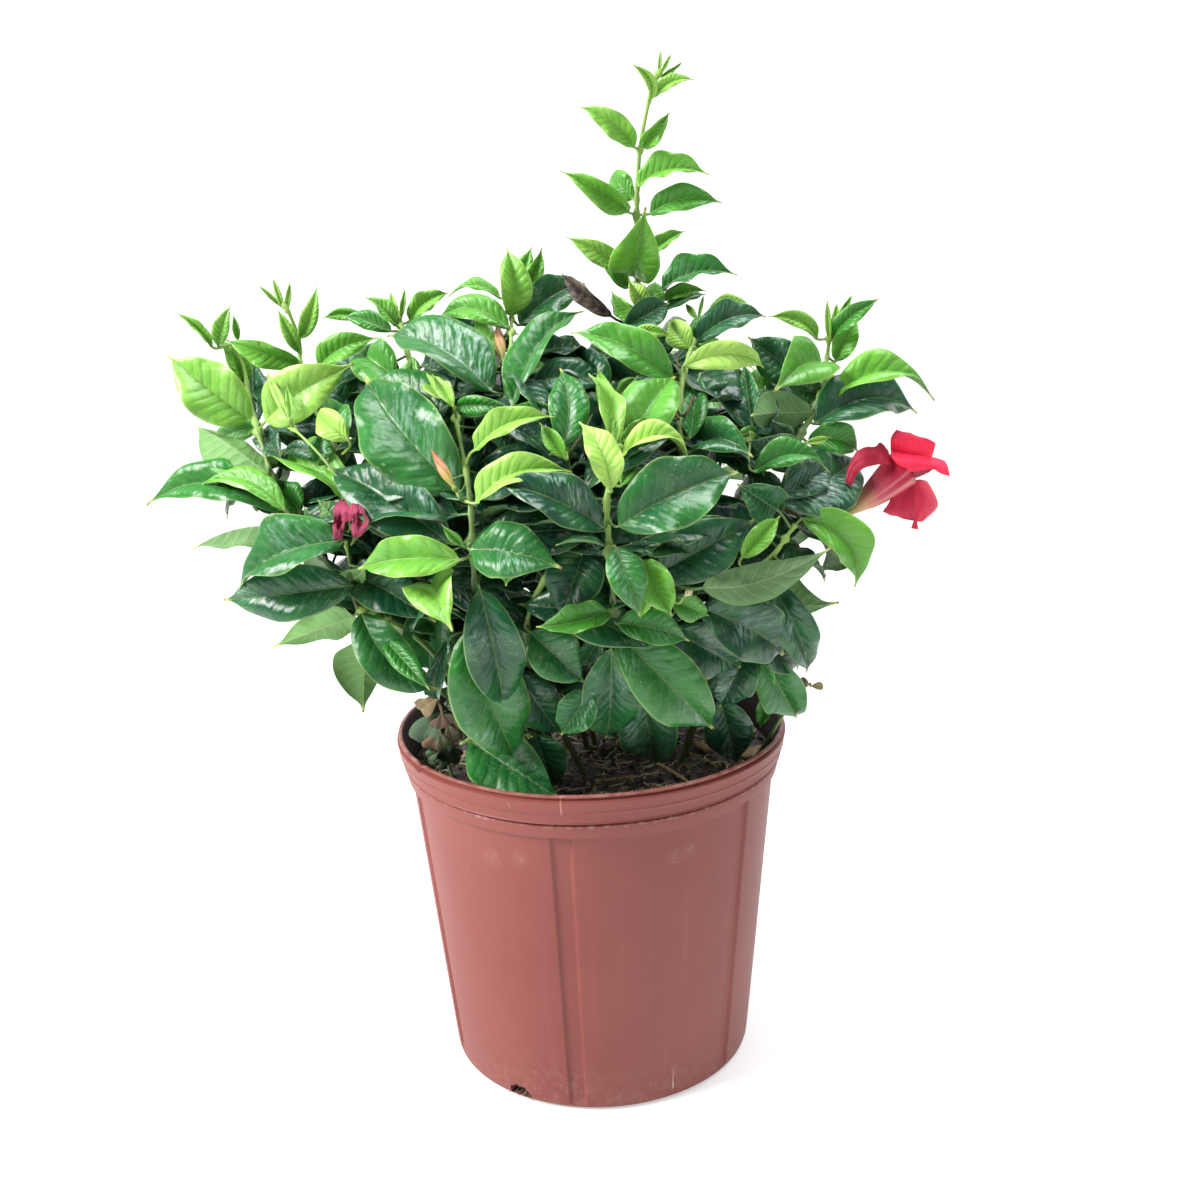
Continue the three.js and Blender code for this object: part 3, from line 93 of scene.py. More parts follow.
# The front stems: a name, the place (x, y) in the mix, the stem and its side branches as places on the sheet, and the
# leaves. A leaf is the place of its base, the place of its tip, its width as a share of its length, its roll and
# fold in degrees, its bow and sideways sweep as shares of its length, and its tone from 0, dark and old, to 1, pale
# and young, or below 0, dead. The dark end is partly painted shade, and the pale end partly painted light shining
# through.
FRONT_STEMS = (
    ("tall_stem", (30, 15), (
        ((652, 650, 100), (660, 520, 120), (655, 420, 95), (646, 340, 35), (640, 300, 15),
         (636, 262, 10), (637, 200, 8), (640, 150, 5), (648, 105, 4), (656, 80, 2),
         (661, 68, 0)),
    ), (
        (659, 74, 0, 661, 48, 0, 0.2, 0, 20, 0, 0, 0.9),
        (661, 74, 0, 672, 52, -3, 0.22, 0, 20, 0, 0, 0.9),
        (662, 76, 2, 684, 61, -4, 0.32, 20, 30, 0.05, -0.05, 0.85),
        (649, 101, 2, 630, 64, -8, 0.42, 15, 28, 0.05, 0.22, 0.9),
        (655, 96, 2, 695, 80, -5, 0.46, -15, 25, 0.05, -0.14, 0.85),
        (634, 147, 3, 579, 107, 0, 0.42, -10, 15, 0.08, 0.14, 0.85),
        (643, 148, 0, 671, 111, -12, 0.55, 10, 28, 0.06, -0.05, 0.8),
        (628, 212, 8, 560, 171, -5, 0.46, -22, 28, 0.08, 0.1, 0.75),
        (633, 199, 14, 612, 174, 34, 0.75, -10, 15, 0.1, 0, 0.6),
        (637, 186, 3, 709, 175, -5, 0.48, -35, 20, 0.06, -0.12, 0.75),
        (650, 214, 8, 722, 203, 0, 0.46, -20, 18, 0.06, -0.1, 0.55),
        (635, 277, 6, 646, 207, -30, 0.62, -8, 14, 0.12, 0, 0.7),
        (622, 268, 6, 566, 237, 0, 0.42, -5, 18, 0.06, 0.05, 0.85),
        (648, 256, 20, 686, 231, 22, 0.42, -15, 20, 0.05, -0.05, 0.75),
        (630, 287, 4, 600, 262, -4, 0.42, 0, 20, 0.05, 0, 0.75),
        (646, 306, 0, 628, 279, -10, 0.75, 0, 20, 0.15, 0, 0.95),
        (652, 306, 6, 655, 281, 4, 0.9, 0, 10, 0.1, 0, 0.6),
        (662, 290, 8, 737, 275, 5, 0.5, -35, 20, 0.08, -0.08, 0.35),
        (664, 300, 5, 706, 291, 0, 0.42, -20, 20, 0.05, -0.08, 0.7),
        (664, 312, 10, 706, 294, 6, 0.42, -60, 10, 0.05, 0, 0.3),
        (642, 322, 0, 611, 291, -15, 0.7, -20, 30, 0.05, 0, 0.7),
        (624, 328, -2, 669, 303, -12, 0.55, -5, 15, 0.05, 0, 0.2),
        (611, 316, 0, 562, 274, -5, 0.36, -20, 25, 0.1, 0.05, -0.5),
        (632, 336, 0, 672, 337, -8, 0.42, -20, 20, 0.05, -0.1, 0.8),
    )),
    ("upper_centre_stem", (-3, -2), (
        ((560, 640, 90), (530, 520, 90), (515, 430, 45), (511, 380, 25), (511, 340, 14),
         (512, 312, 8)),
        ((505, 374, 26.5), (503.1, 366.5, 26)),
    ), (
        (511, 316, 5, 507, 248, -10, 0.72, 28, 25, 0.05, 0, 0.8),
        (513, 300, 20, 532, 246, 20, 0.5, 0, 20, 0, 0, 0.7),
        (515, 305, 15, 542, 246, 5, 0.42, 10, 25, 0, 0.05, 0.8),
        (500, 298, 15, 448, 296, 10, 0.42, 50, 10, 0.12, 0.12, 0.6),
        (508, 328, 10, 438, 318, 15, 0.45, 35, 15, 0.1, 0.1, 0.55),
        (492, 368, 12, 458, 316, 5, 0.38, 15, 20, 0.05, 0.08, 0.7),
        (520, 325, 20, 585, 284, 15, 0.5, -15, 15, 0.08, -0.05, 0.3),
        (509, 404, 20, 584, 310, -6, 0.6, -50, 20, 0.08, 0, 0.42),
        (491, 391, 18, 387, 336, -5, 0.62, 48, 20, 0.08, 0, 0.26),
    )),
    ("upper_left_stem", (-30, -12), (
        ((500, 640, 100), (455, 520, 110), (425, 420, 70), (408, 355, 25), (400, 325, 10),
         (398, 312, 6)),
    ), (
        (397, 322, 0, 390, 290, -4, 0.34, 0, 25, 0, 0, 0.9),
        (401, 318, 2, 405, 287, 2, 0.26, 0, 25, 0, 0, 0.85),
        (397, 326, 4, 364, 297, -8, 0.55, 25, 20, 0.05, 0.05, 0.8),
        (365, 322, 15, 322, 319, 10, 0.4, 30, 15, 0.08, 0.08, 0.7),
        (391, 331, 8, 342, 318, 0, 0.45, 20, 15, 0.05, 0.06, 0.5),
        (410, 321, 10, 450, 293, 5, 0.5, -20, 15, 0.05, -0.1, 0.8),
        (398, 378, 22, 356, 350, 14, 0.75, 0, 15, 0.05, 0, 0.55),
    )),
    ("left_centre_stem", (-20, -25), (
        ((520, 680, 60), (485, 620, 35), (475, 580, 22), (472, 530, 18), (470, 500, 18),
         (466, 470, 20), (459, 435, 22), (453, 405, 18), (442, 388, 8)),
        ((460.8, 499.1, 7.8), (456.4, 491.6, 8)),
        ((450, 600, 30), (430, 584, 20), (413, 573, 14), (392, 542, 8), (355, 500, 4),
         (320, 455, 2), (293, 428, 0)),
    ), (
        (415, 380, 16, 411, 355, 8, 0.6, 0, 20, 0, 0, 0.6),
        (456, 446, 14, 368, 378, 0, 0.55, 30, 15, 0.08, 0.05, 0.34),
        (459, 491, 6, 366, 377, -40, 0.55, -5, 12, 0.08, -0.03, 0.34),
        (453, 406, 2, 432, 374, -8, 0.5, 10, 25, 0, 0, 0.95),
        (440, 398, 0, 421, 372, -3, 0.35, 0, 20, 0, 0, 0.9),
        (457, 407, 8, 513, 409, 0, 0.42, 20, 20, 0.05, -0.08, 0.4),
        (475, 450, 6, 555, 417, -6, 0.4, -25, 20, 0.1, -0.08, 0.95),
        (476, 503, 4, 573, 472, -8, 0.42, -30, 22, 0.12, -0.08, 0.95),
        (462, 545, 4, 442, 525, -4, 0.5, 0, 25, 0, 0, 0.6),
        (471, 550, 2, 562, 568, -12, 0.68, -15, 12, 0.06, -0.03, 0.3),
        (459, 560, 4, 358, 569, 0, 0.42, 10, 15, 0.05, 0.04, 0.8),
        (431, 584, 28, 452, 631, -30, 0.62, 0, 15, 0.1, 0, 0.85),
        (480, 590, 8, 503, 709, -8, 0.46, 5, 15, 0.08, -0.03, 0.12),
        (466, 632, 14, 518, 761, -30, 0.5, 0, 10, 0.08, 0.02, 0.35),
        (500, 600, 22, 525, 684, 14, 0.5, 0, 15, 0.05, 0, 0.1),
        (428, 590, 34, 430, 672, 22, 0.7, 0, 25, 0.05, 0, 0.35),
        (292, 430, 0, 261, 390, 0, 0.14, 0, 20, 0, 0, 0.95),
        (289, 420, 0, 265, 368, -4, 0.16, 0, 20, 0, 0, 0.95),
        (291, 418, 0, 287, 384, 2, 0.22, 0, 20, 0, 0, 0.85),
        (352, 500, 2, 251, 482, -4, 0.36, 45, 25, 0.08, 0.08, 0.8),
        (449, 543, 12, 326, 467, 4, 0.42, 0, 12, 0.06, 0.03, 0.1),
        (345, 530, 26, 318, 500, 22, 0.8, 0, 15, 0.05, 0, 0.4),
        (449, 640, 24, 440, 700, 18, 0.35, 0, 30, 0.1, 0.1, 0.2),
    )),
    ("far_left_stem", (-42, -34), (
        ((430, 680, 85), (350, 590, 60), (310, 540, 30), (285, 505, 18), (272, 475, 12),
         (258, 432, 8), (250, 400, 6), (243, 365, 6), (232, 345, 4)),
    ), (
        (250, 420, 6, 168, 356, -4, 0.6, -5, 10, 0.05, 0, 0.85),
        (243, 383, 8, 215, 338, 2, 0.62, 20, 20, 0.1, 0.05, 0.75),
        (218, 345, 4, 231, 305, 0, 0.48, 0, 20, 0.05, -0.05, 0.8),
        (212, 347, 2, 175, 313, 0, 0.3, 20, 25, 0.05, 0.05, 0.85),
        (238, 340, 6, 233, 314, 4, 0.35, 0, 20, 0, 0, 0.8),
        (254, 425, 12, 252, 352, 16, 0.35, 0, 15, 0, 0, 0.1),
        (262, 425, 14, 212, 440, 10, 0.4, 10, 15, 0.05, 0, 0.5),
        (268, 474, 10, 197, 427, 4, 0.5, 35, 15, 0.1, -0.06, 0.55),
        (262, 430, 20, 282, 462, 14, 0.5, 0, 15, 0, 0, 0.05),
        (266, 421, 4, 354, 364, -4, 0.52, -15, 12, 0.06, -0.03, 0.85),
        (282, 510, 18, 146, 505, -25, 0.38, 35, 20, 0.08, 0.1, 0.35),
        (284, 510, 14, 197, 487, -2, 0.34, 40, 20, 0.08, 0.12, 0.7),
        (306, 530, 14, 193, 550, -20, 0.3, 50, 25, 0.08, 0.03, 0.4),
        (300, 512, 24, 275, 478, 20, 0.7, 0, 15, 0, 0, 0.4),
        (318, 535, 8, 303, 505, 6, 0.3, 0, 20, 0, 0, 0.3),
    )),
    ("left_crest_stem", (-25, -4), (
        ((470, 650, 100), (400, 560, 80), (350, 480, 45), (328, 430, 28), (305, 395, 20),
         (300, 360, 8), (299, 340, 5), (290, 315, 0), (283, 303, 0)),
    ), (
        (283, 308, 0, 272, 276, 0, 0.25, 0, 20, 0, 0, 0.9),
        (281, 306, 2, 257, 284, 0, 0.2, 0, 20, 0, 0, 0.9),
        (286, 312, 0, 290, 280, 2, 0.25, 0, 20, 0, 0, 0.85),
        (300, 338, 4, 317, 285, 0, 0.38, 0, 20, 0.05, 0.05, 0.8),
        (299, 352, 2, 277, 308, -4, 0.36, 0, 20, 0.05, 0, 0.85),
        (299, 363, 8, 226, 340, 2, 0.42, -15, 20, 0.08, 0.02, 0.75),
        (318, 368, 10, 378, 338, 0, 0.5, -25, 18, 0.06, -0.06, 0.75),
        (348, 440, 8, 317, 414, 4, 0.6, 0, 15, 0.1, 0, 0.95),
        (352, 440, 12, 336, 450, 8, 0.5, 0, 15, 0, 0, 0.2),
        (318, 462, 16, 322, 434, 14, 0.9, 0, 15, 0, 0, 0.45),
        (345, 440, 20, 325, 395, 22, 0.5, 0, 15, 0, 0, 0.5),
        (340, 430, 30, 362, 382, 22, 0.9, 0, 15, 0, 0, 0.1),
        (330, 462, 22, 283, 457, 18, 0.3, 0, 15, 0.1, 0.15, 0.1),
    )),
    ("lower_left_stem", (-36, -48), (
        ((470, 700, 40), (430, 650, 30), (395, 624, 22), (375, 617, 16), (358, 608, 12)),
        ((352, 590, 16), (350, 565, 18), (346, 545, 18)),
    ), (
        (350, 572, 30, 436, 622, 18, 0.5, -10, 10, 0.06, 0, 0.1),
        (343, 541, 18, 237, 592, 0, 0.58, 35, 18, 0.08, 0.04, 0.35),
        (352, 586, 16, 223, 600, -25, 0.42, 10, 10, 0.05, -0.02, 0.15),
        (364, 570, 6, 289, 598, 2, 0.22, 160, 10, 0.08, 0.1, 0.6),
        (354, 616, 14, 272, 647, 8, 0.34, 150, 5, 0.05, 0.05, 0.6),
        (361, 613, 10, 440, 690, 0, 0.5, -10, 12, 0.1, 0.16, 0.3),
        (368, 640, 30, 363, 712, 14, 0.7, 170, 10, 0.05, 0, 0.45),
        (385, 640, 26, 430, 690, 16, 0.35, 0, 15, 0, 0, 0.35),
    )),
    ("centre_stem", (20, 0), (
        ((628, 690, 60), (618, 650, 35), (614, 622, 22), (612, 575, 20), (608, 530, 16),
         (607, 500, 12), (612, 470, 8), (618, 445, 4)),
        ((640, 602, 16), (665, 594, 14), (677.6, 603.4, 7.3), (684, 597, 6.1)),
    ), (
        (611, 489, 0, 579, 422, -10, 0.5, 15, 12, 0.08, 0.06, 1),
        (612, 450, 6, 589, 373, -2, 0.45, 25, 30, 0.05, 0.03, 0.9),
        (618, 430, 14, 597, 366, 8, 0.3, 0, 20, 0, 0, 0.75),
        (625, 448, 6, 675, 376, -4, 0.62, -15, 18, 0.06, 0, 0.65),
        (620, 442, 0, 652, 416, -8, 0.4, 0, 20, 0, 0, 0.85),
        (615, 444, 0, 617, 413, -2, 0.3, 0, 20, 0, 0, 0.85),
        (621, 456, 2, 692, 466, -8, 0.5, -35, 25, 0.2, -0.22, 1),
        (622, 485, 8, 636, 455, 10, 0.5, 0, 15, 0, 0, 0.6),
        (619, 526, 4, 738, 472, -10, 0.56, -8, 10, 0.06, -0.03, 0.3),
        (602, 527, 4, 493, 482, -8, 0.5, 18, 15, 0.08, 0.02, 0.1),
        (604, 545, 14, 555, 545, 6, 0.35, 60, 20, 0.05, 0, 0.25),
        (616, 548, 8, 640, 617, -14, 0.62, -10, 15, 0.1, 0.02, 0.35),
        (642, 560, 10, 672, 616, -8, 0.7, 0, 20, 0.05, 0, 0.7),
        (650, 590, 6, 640, 618, 0, 0.6, 0, 20, 0, 0, 0.85),
        (672, 600, 12, 709, 616, 6, 0.7, 0, 15, 0.05, 0, 0.5),
        (625, 552, 18, 661, 545, 8, 0.5, 0, 15, 0, 0, 0.2),
        (609, 611, 10, 536, 627, 2, 0.5, 20, 20, 0.08, -0.1, 0.55),
        (618, 624, 10, 689, 641, -4, 0.55, -15, 15, 0.08, -0.02, 0.45),
        (617, 633, 20, 715, 728, -20, 0.5, -8, 12, 0.08, 0.02, 0.3),
        (611, 649, 10, 606, 739, -4, 0.52, 0, 15, 0.05, -0.02, 0.2),
        (605, 632, 22, 580, 668, 16, 0.5, 0, 15, 0, 0, 0.2),
        (592, 690, 14, 561, 735, 6, 0.75, 0, 15, 0.05, 0, 0.32),
        (640, 680, 26, 655, 766, 6, 0.5, 0, 15, 0.05, 0, 0.15),
    )),
    ("middle_stem", (2, 12), (
        ((575, 640, 100), (572, 540, 90), (570, 480, 40), (566, 450, 18)),
        ((585, 430, 35), (600, 400, 28), (614, 382, 20)),
    ), (
        (563, 446, 12, 560, 368, 0, 0.5, 10, 15, 0.05, 0.06, 0.35),
        (565, 458, 6, 540, 423, 0, 0.5, 0, 20, 0, 0, 0.8),
        (510, 470, 14, 567, 470, 8, 0.5, 0, 15, 0.05, 0, 0.6),
        (555, 412, 16, 513, 405, 12, 0.4, 0, 15, 0, 0, 0.45),
        (600, 400, 26, 574, 346, 22, 0.7, 0, 15, 0, 0, 0.05),
        (617, 396, 16, 638, 376, 14, 0.5, 0, 15, 0, 0, 0.7),
    )),
    ("upper_right_stem", (48, 12), (
        ((680, 640, 80), (690, 540, 85), (685, 470, 60), (680, 440, 25), (681, 410, 16),
         (682, 385, 10), (686, 364, 8), (692, 345, 8), (698, 322, 6)),
    ), (
        (672, 380, 8, 571, 333, -6, 0.4, 15, 12, 0.1, 0.06, 0.6),
        (686, 366, 0, 765, 369, -12, 0.4, 0, 15, 0.15, -0.16, 1),
        (690, 348, 8, 668, 322, 5, 0.75, 0, 10, 0.1, 0, 0.9),
        (688, 342, 14, 716, 321, 10, 0.6, -10, 15, 0.1, 0, 0.45),
        (694, 343, 8, 766, 317, 0, 0.42, -30, 15, 0.08, -0.06, 0.2),
        (680, 440, 20, 672, 362, 20, 0.5, 0, 15, 0, 0, 0.25),
        (690, 438, 16, 700, 372, 10, 0.35, 0, 15, 0, 0, 0.35),
        (703, 396, 22, 744, 387, 16, 0.5, 0, 20, 0, 0, 0.1),
        (745, 378, 24, 712, 370, 20, 0.5, 0, 15, 0, 0, 0.6),
        (690, 452, 36, 753, 457, -14, 0.66, -35, 20, 0.1, -0.12, 0.35),
        (706, 321, 4, 752, 307, 4, 0.42, -20, 20, 0.1, -0.1, 0.85),
        (697, 319, 3, 685, 303, 5, 0.3, 0, 20, 0, 0, 0.8),
        (698, 320, 2, 704, 293, 4, 0.14, 0, 20, 0, 0, 0.8),
    )),
    ("right_stem", (65, -10), (
        ((720, 650, 80), (755, 570, 55), (785, 500, 30), (796, 445, 20), (812, 415, 10),
         (820, 392, 6), (827, 357, 3), (830, 330, 1), (831, 318, 0)),
        ((770, 455, 30), (760, 438, 20), (748, 432, 16)),
        ((802, 518, 26), (820, 526, 28), (831.6, 525, 26), (838, 520, 24.2)),
    ), (
        (815, 424, 8, 918, 413, 0, 0.5, -40, 15, 0.08, -0.08, 0.2),
        (833, 395, 8, 935, 400, 0, 0.5, -40, 22, 0.15, -0.12, 0.7),
        (824, 396, 12, 842, 378, 16, 0.9, 0, 15, 0, 0, 0.9),
        (836, 361, 4, 857, 316, 8, 0.55, 0, 15, 0.05, 0, 0.7),
        (832, 338, 2, 881, 298, -6, 0.4, -15, 20, 0.06, -0.05, 0.55),
        (817, 339, 4, 768, 317, 0, 0.42, 25, 22, 0.08, 0.12, 0.8),
        (829, 340, 0, 827, 297, -2, 0.2, 0, 20, 0, 0, 0.9),
        (835, 326, 2, 837, 302, 0, 0.4, 0, 20, 0, 0, 0.9),
        (838, 320, 0, 853, 293, 0, 0.28, 0, 20, 0, 0, 0.85),
        (824, 366, 2, 774, 392, -10, 0.65, 25, 20, 0.08, 0.05, 0.6),
        (802, 378, 10, 748, 337, 4, 0.75, 0, 15, 0.05, 0, 0.2),
        (822, 395, 12, 785, 385, 10, 0.6, 0, 15, 0, 0, 0.25),
        (812, 412, 6, 750, 416, -4, 0.5, 170, 10, 0.05, 0, 0.35),
        (790, 440, 18, 772, 420, 14, 0.8, 0, 15, 0, 0, 0.2),
        (752, 425, 12, 744, 362, 10, 0.35, 0, 25, 0, 0, 0.3),
        (768, 432, 14, 765, 386, 8, 0.5, 0, 15, 0, 0, 0.15),
        (735, 440, 20, 762, 428, 16, 0.5, 0, 15, 0, 0, 0.6),
        (755, 472, 14, 829, 471, -4, 0.5, -30, 20, 0.1, -0.15, 0.4),
        (783, 506, 8, 868, 464, 2, 0.65, -5, 10, 0.05, 0.05, 0.1),
        (782, 495, 16, 832, 466, 10, 0.5, 0, 15, 0.05, 0, 0.1),
        (808, 442, 18, 858, 452, 12, 0.6, -15, 15, 0.1, -0.1, 0.5),
        (806, 443, 4, 831, 437, 0, 0.3, 0, 20, 0, 0, 0.9),
        (800, 458, 24, 745, 440, 16, 0.6, 0, 15, 0.05, 0, 0.08),
    )),
    ("lower_right_stem", (60, -30), (
        ((700, 700, 50), (712, 650, 40), (720, 600, 25), (735, 575, 20), (768, 560, 16),
         (795, 525, 14)),
        ((745, 645, 25), (765, 650, 18), (785, 635, 14)),
        ((690, 590, 25), (662, 578, 24)),
    ), (
        (777, 510, 10, 737, 484, 0, 0.8, 0, 15, 0.05, 0, 0.25),
        (803, 519, 12, 855, 588, -2, 0.55, -25, 18, 0.1, -0.16, 0.7),
        (655, 575, 22, 757, 519, 8, 0.55, 0, 12, 0.05, 0, 0.08),
        (700, 592, 10, 832, 549, 0, 0.36, 170, 8, 0.08, -0.05, 0.12),
        (742, 557, 4, 780, 516, -4, 0.5, 0, 20, 0.05, 0, 0.8),
        (690, 524, 16, 738, 524, 10, 0.4, 0, 15, 0.05, 0, 0.3),
        (773, 572, 12, 826, 622, 4, 0.4, 170, 10, 0.1, -0.25, 0.3),
        (772, 578, 14, 809, 672, 0, 0.5, 0, 20, 0.08, -0.05, 0.12),
        (765, 570, 18, 785, 640, 10, 0.45, 0, 15, 0.05, 0, 0.2),
        (700, 608, 8, 783, 655, -4, 0.55, -5, 12, 0.08, -0.04, 0.1),
        (690, 640, 20, 742, 668, 14, 0.7, 0, 15, 0.05, 0, 0.08),
        (748, 650, 16, 719, 708, 2, 0.75, 0, 15, 0.05, 0, 0.1),
        (760, 650, 20, 765, 702, 10, 0.4, 0, 15, 0, 0, 0.5),
        (768, 690, 10, 760, 728, 4, 0.35, 0, 25, 0, 0, 0.5),
        (765, 655, 18, 800, 719, 4, 0.6, 0, 15, 0.05, 0, 0.3),
        (788, 625, 16, 798, 670, 12, 0.3, 0, 20, 0, 0, -0.4),
        (720, 700, 30, 738, 765, 14, 0.6, 0, 15, 0, 0, 0.05),
    )),
    ("low_centre_stem", (-5, -45), (
        ((540, 690, 40), (528, 650, 28), (530, 610, 30), (555, 565, 32), (578, 548, 32)),
    ), (
        (510, 545, 14, 506, 586, 2, 0.9, 0, 15, 0.05, 0, 0.6),
        (585, 548, 30, 560, 622, 6, 0.8, 0, 12, 0.08, 0, 0.05),
        (530, 632, 20, 585, 683, 2, 0.75, 0, 15, 0.05, 0, 0.25),
        (515, 672, 26, 560, 735, 12, 0.55, 0, 15, 0.05, 0, 0.1),
    )),
    ("low_front_stem", (-42, -62), (
        ((490, 735, 10), (460, 744, -12)),
        ((530, 735, 10),),
    ), (
        (452, 746, -20, 525, 800, -45, 0.6, 0, 12, 0.03, 0, 0.3),
        (535, 735, 14, 555, 789, -30, 0.9, 0, 15, 0.03, 0, 0.25),
    )),
)

# ---------------------------------------------------------------- mixing materials


def linear(code):
    """A colour code such as #6a8f3c as linear red, green and blue."""
    parts = [int(code[i:i + 2], 16) / 255 for i in (1, 3, 5)]
    return tuple(c / 12.92 if c <= 0.04045 else ((c + 0.055) / 1.055) ** 2.4 for c in parts)


class Wire:
    """One output in a material. Sums on wires add Math nodes to that material."""

    def __init__(self, paint, socket):
        self.paint = paint
        self.socket = socket

    def __add__(self, other):
        return self.paint.math("ADD", self, other)

    def __radd__(self, other):
        return self.paint.math("ADD", other, self)

    def __sub__(self, other):
        return self.paint.math("SUBTRACT", self, other)

    def __rsub__(self, other):
        return self.paint.math("SUBTRACT", other, self)

    def __mul__(self, other):
        return self.paint.math("MULTIPLY", self, other)

    def __rmul__(self, other):
        return self.paint.math("MULTIPLY", other, self)

    def __gt__(self, other):
        return self.paint.math("GREATER_THAN", self, other)

    def __abs__(self):
        return self.paint.math("ABSOLUTE", self)


def as_colour(colour):
    """A wire as it is, and a code or a plain colour as the four numbers of a socket."""
    if isinstance(colour, Wire):
        return colour
    return (*(linear(colour) if isinstance(colour, str) else colour[:3]), 1)


class Paint:
    """A material being mixed, one node at a time. Its colours are wires, plain colours or codes."""

    def __init__(self, name):
        self.material = bpy.data.materials.new(name)
        self.material.use_nodes = True
        self.tree = self.material.node_tree
        self.tree.nodes.clear()

    def node(self, kind, settings=None, sockets=None, output=0):
        """A node of a type, with its settings made first and then its sockets given values or wires."""
        made = self.tree.nodes.new(kind)
        for key, value in (settings or {}).items():
            if key == "stops":
                self.set_stops(made.color_ramp.elements, value)
            else:
                setattr(made, key, value)
        for key, value in (sockets or {}).items():
            if isinstance(value, Wire):
                self.tree.links.new(value.socket, made.inputs[key])
            else:
                made.inputs[key].default_value = value
        return Wire(self, made.outputs[output]) if made.outputs else None

    @staticmethod
    def set_stops(elements, stops):
        while len(elements) < len(stops):
            elements.new(1)
        for element, (spot, colour) in zip(elements, stops):
            element.position = spot
            element.color = as_colour(colour)

    def math(self, operation, first, second=None):
        sockets = {0: first} if second is None else {0: first, 1: second}
        return self.node("ShaderNodeMath", {"operation": operation}, sockets)

    def step(self, value, low, high, start=0.0, end=1.0):
        """A smooth rise from start to end as the value goes from low to high."""
        sockets = {"Value": value, "From Min": low, "From Max": high, "To Min": start, "To Max": end}
        return self.node("ShaderNodeMapRange", {"interpolation_type": "SMOOTHSTEP"}, sockets)

    def blend(self, share, first, second, way="MIX"):
        """Two colours mixed by a share of the second."""
        settings = {"data_type": "RGBA", "blend_type": way}
        return self.node("ShaderNodeMix", settings, {0: share, 6: as_colour(first), 7: as_colour(second)}, 2)

    def zigzag(self, value):
        """A value folded back and forth between 0 and a half."""
        return self.node("ShaderNodeMath", {"operation": "PINGPONG"}, {0: value, 1: 0.5})

    def ramp(self, value, stops):
        return self.node("ShaderNodeValToRGB", {"stops": stops}, {"Fac": value})

    def mark(self, name):
        """The three numbers kept under a name on the piece."""
        kept = self.node("ShaderNodeAttribute", {"attribute_name": name}, output=1)
        return self.parts(kept)

    def parts(self, vector):
        first = self.node("ShaderNodeSeparateXYZ", sockets={0: vector})
        outputs = first.socket.node.outputs
        return [Wire(self, outputs[i]) for i in range(3)]

    def spot(self):
        """The place on the piece, in metres."""
        return self.node("ShaderNodeTexCoord", output=3)

    def stretched(self, vector, scale):
        settings = {"operation": "MULTIPLY"}
        return self.node("ShaderNodeVectorMath", settings, {0: vector, 1: scale})

    def vector(self, x, y, z):
        return self.node("ShaderNodeCombineXYZ", sockets={0: x, 1: y, 2: z})

    def noise(self, vector, scale, detail, roughness=0.5, warp=0.0):
        sockets = {"Vector": vector, "Scale": scale, "Detail": detail, "Roughness": roughness, "Distortion": warp}
        return self.node("ShaderNodeTexNoise", sockets=sockets)

    def cells(self, vector, scale):
        return self.node("ShaderNodeTexVoronoi", {"feature": "F1"}, {"Vector": vector, "Scale": scale})

    def bump(self, height, distance, strength, under=None):
        """A relief from a height, over another relief if there is one under it."""
        sockets = {"Height": height, "Distance": distance, "Strength": strength}
        if under is not None:
            sockets["Normal"] = under
        return self.node("ShaderNodeBump", sockets=sockets)

    def finish(self, **sockets):
        """The Principled surface, with its sockets named in words joined by underscores."""
        named = {key.replace("_", " "): value for key, value in sockets.items()}
        for key, value in named.items():
            if isinstance(value, tuple):
                named[key] = (*value[:3], 1)
        surface = self.node("ShaderNodeBsdfPrincipled", sockets=named)
        self.node("ShaderNodeOutputMaterial", sockets={"Surface": surface})
        return self.material


# ---------------------------------------------------------------- gathering meshes


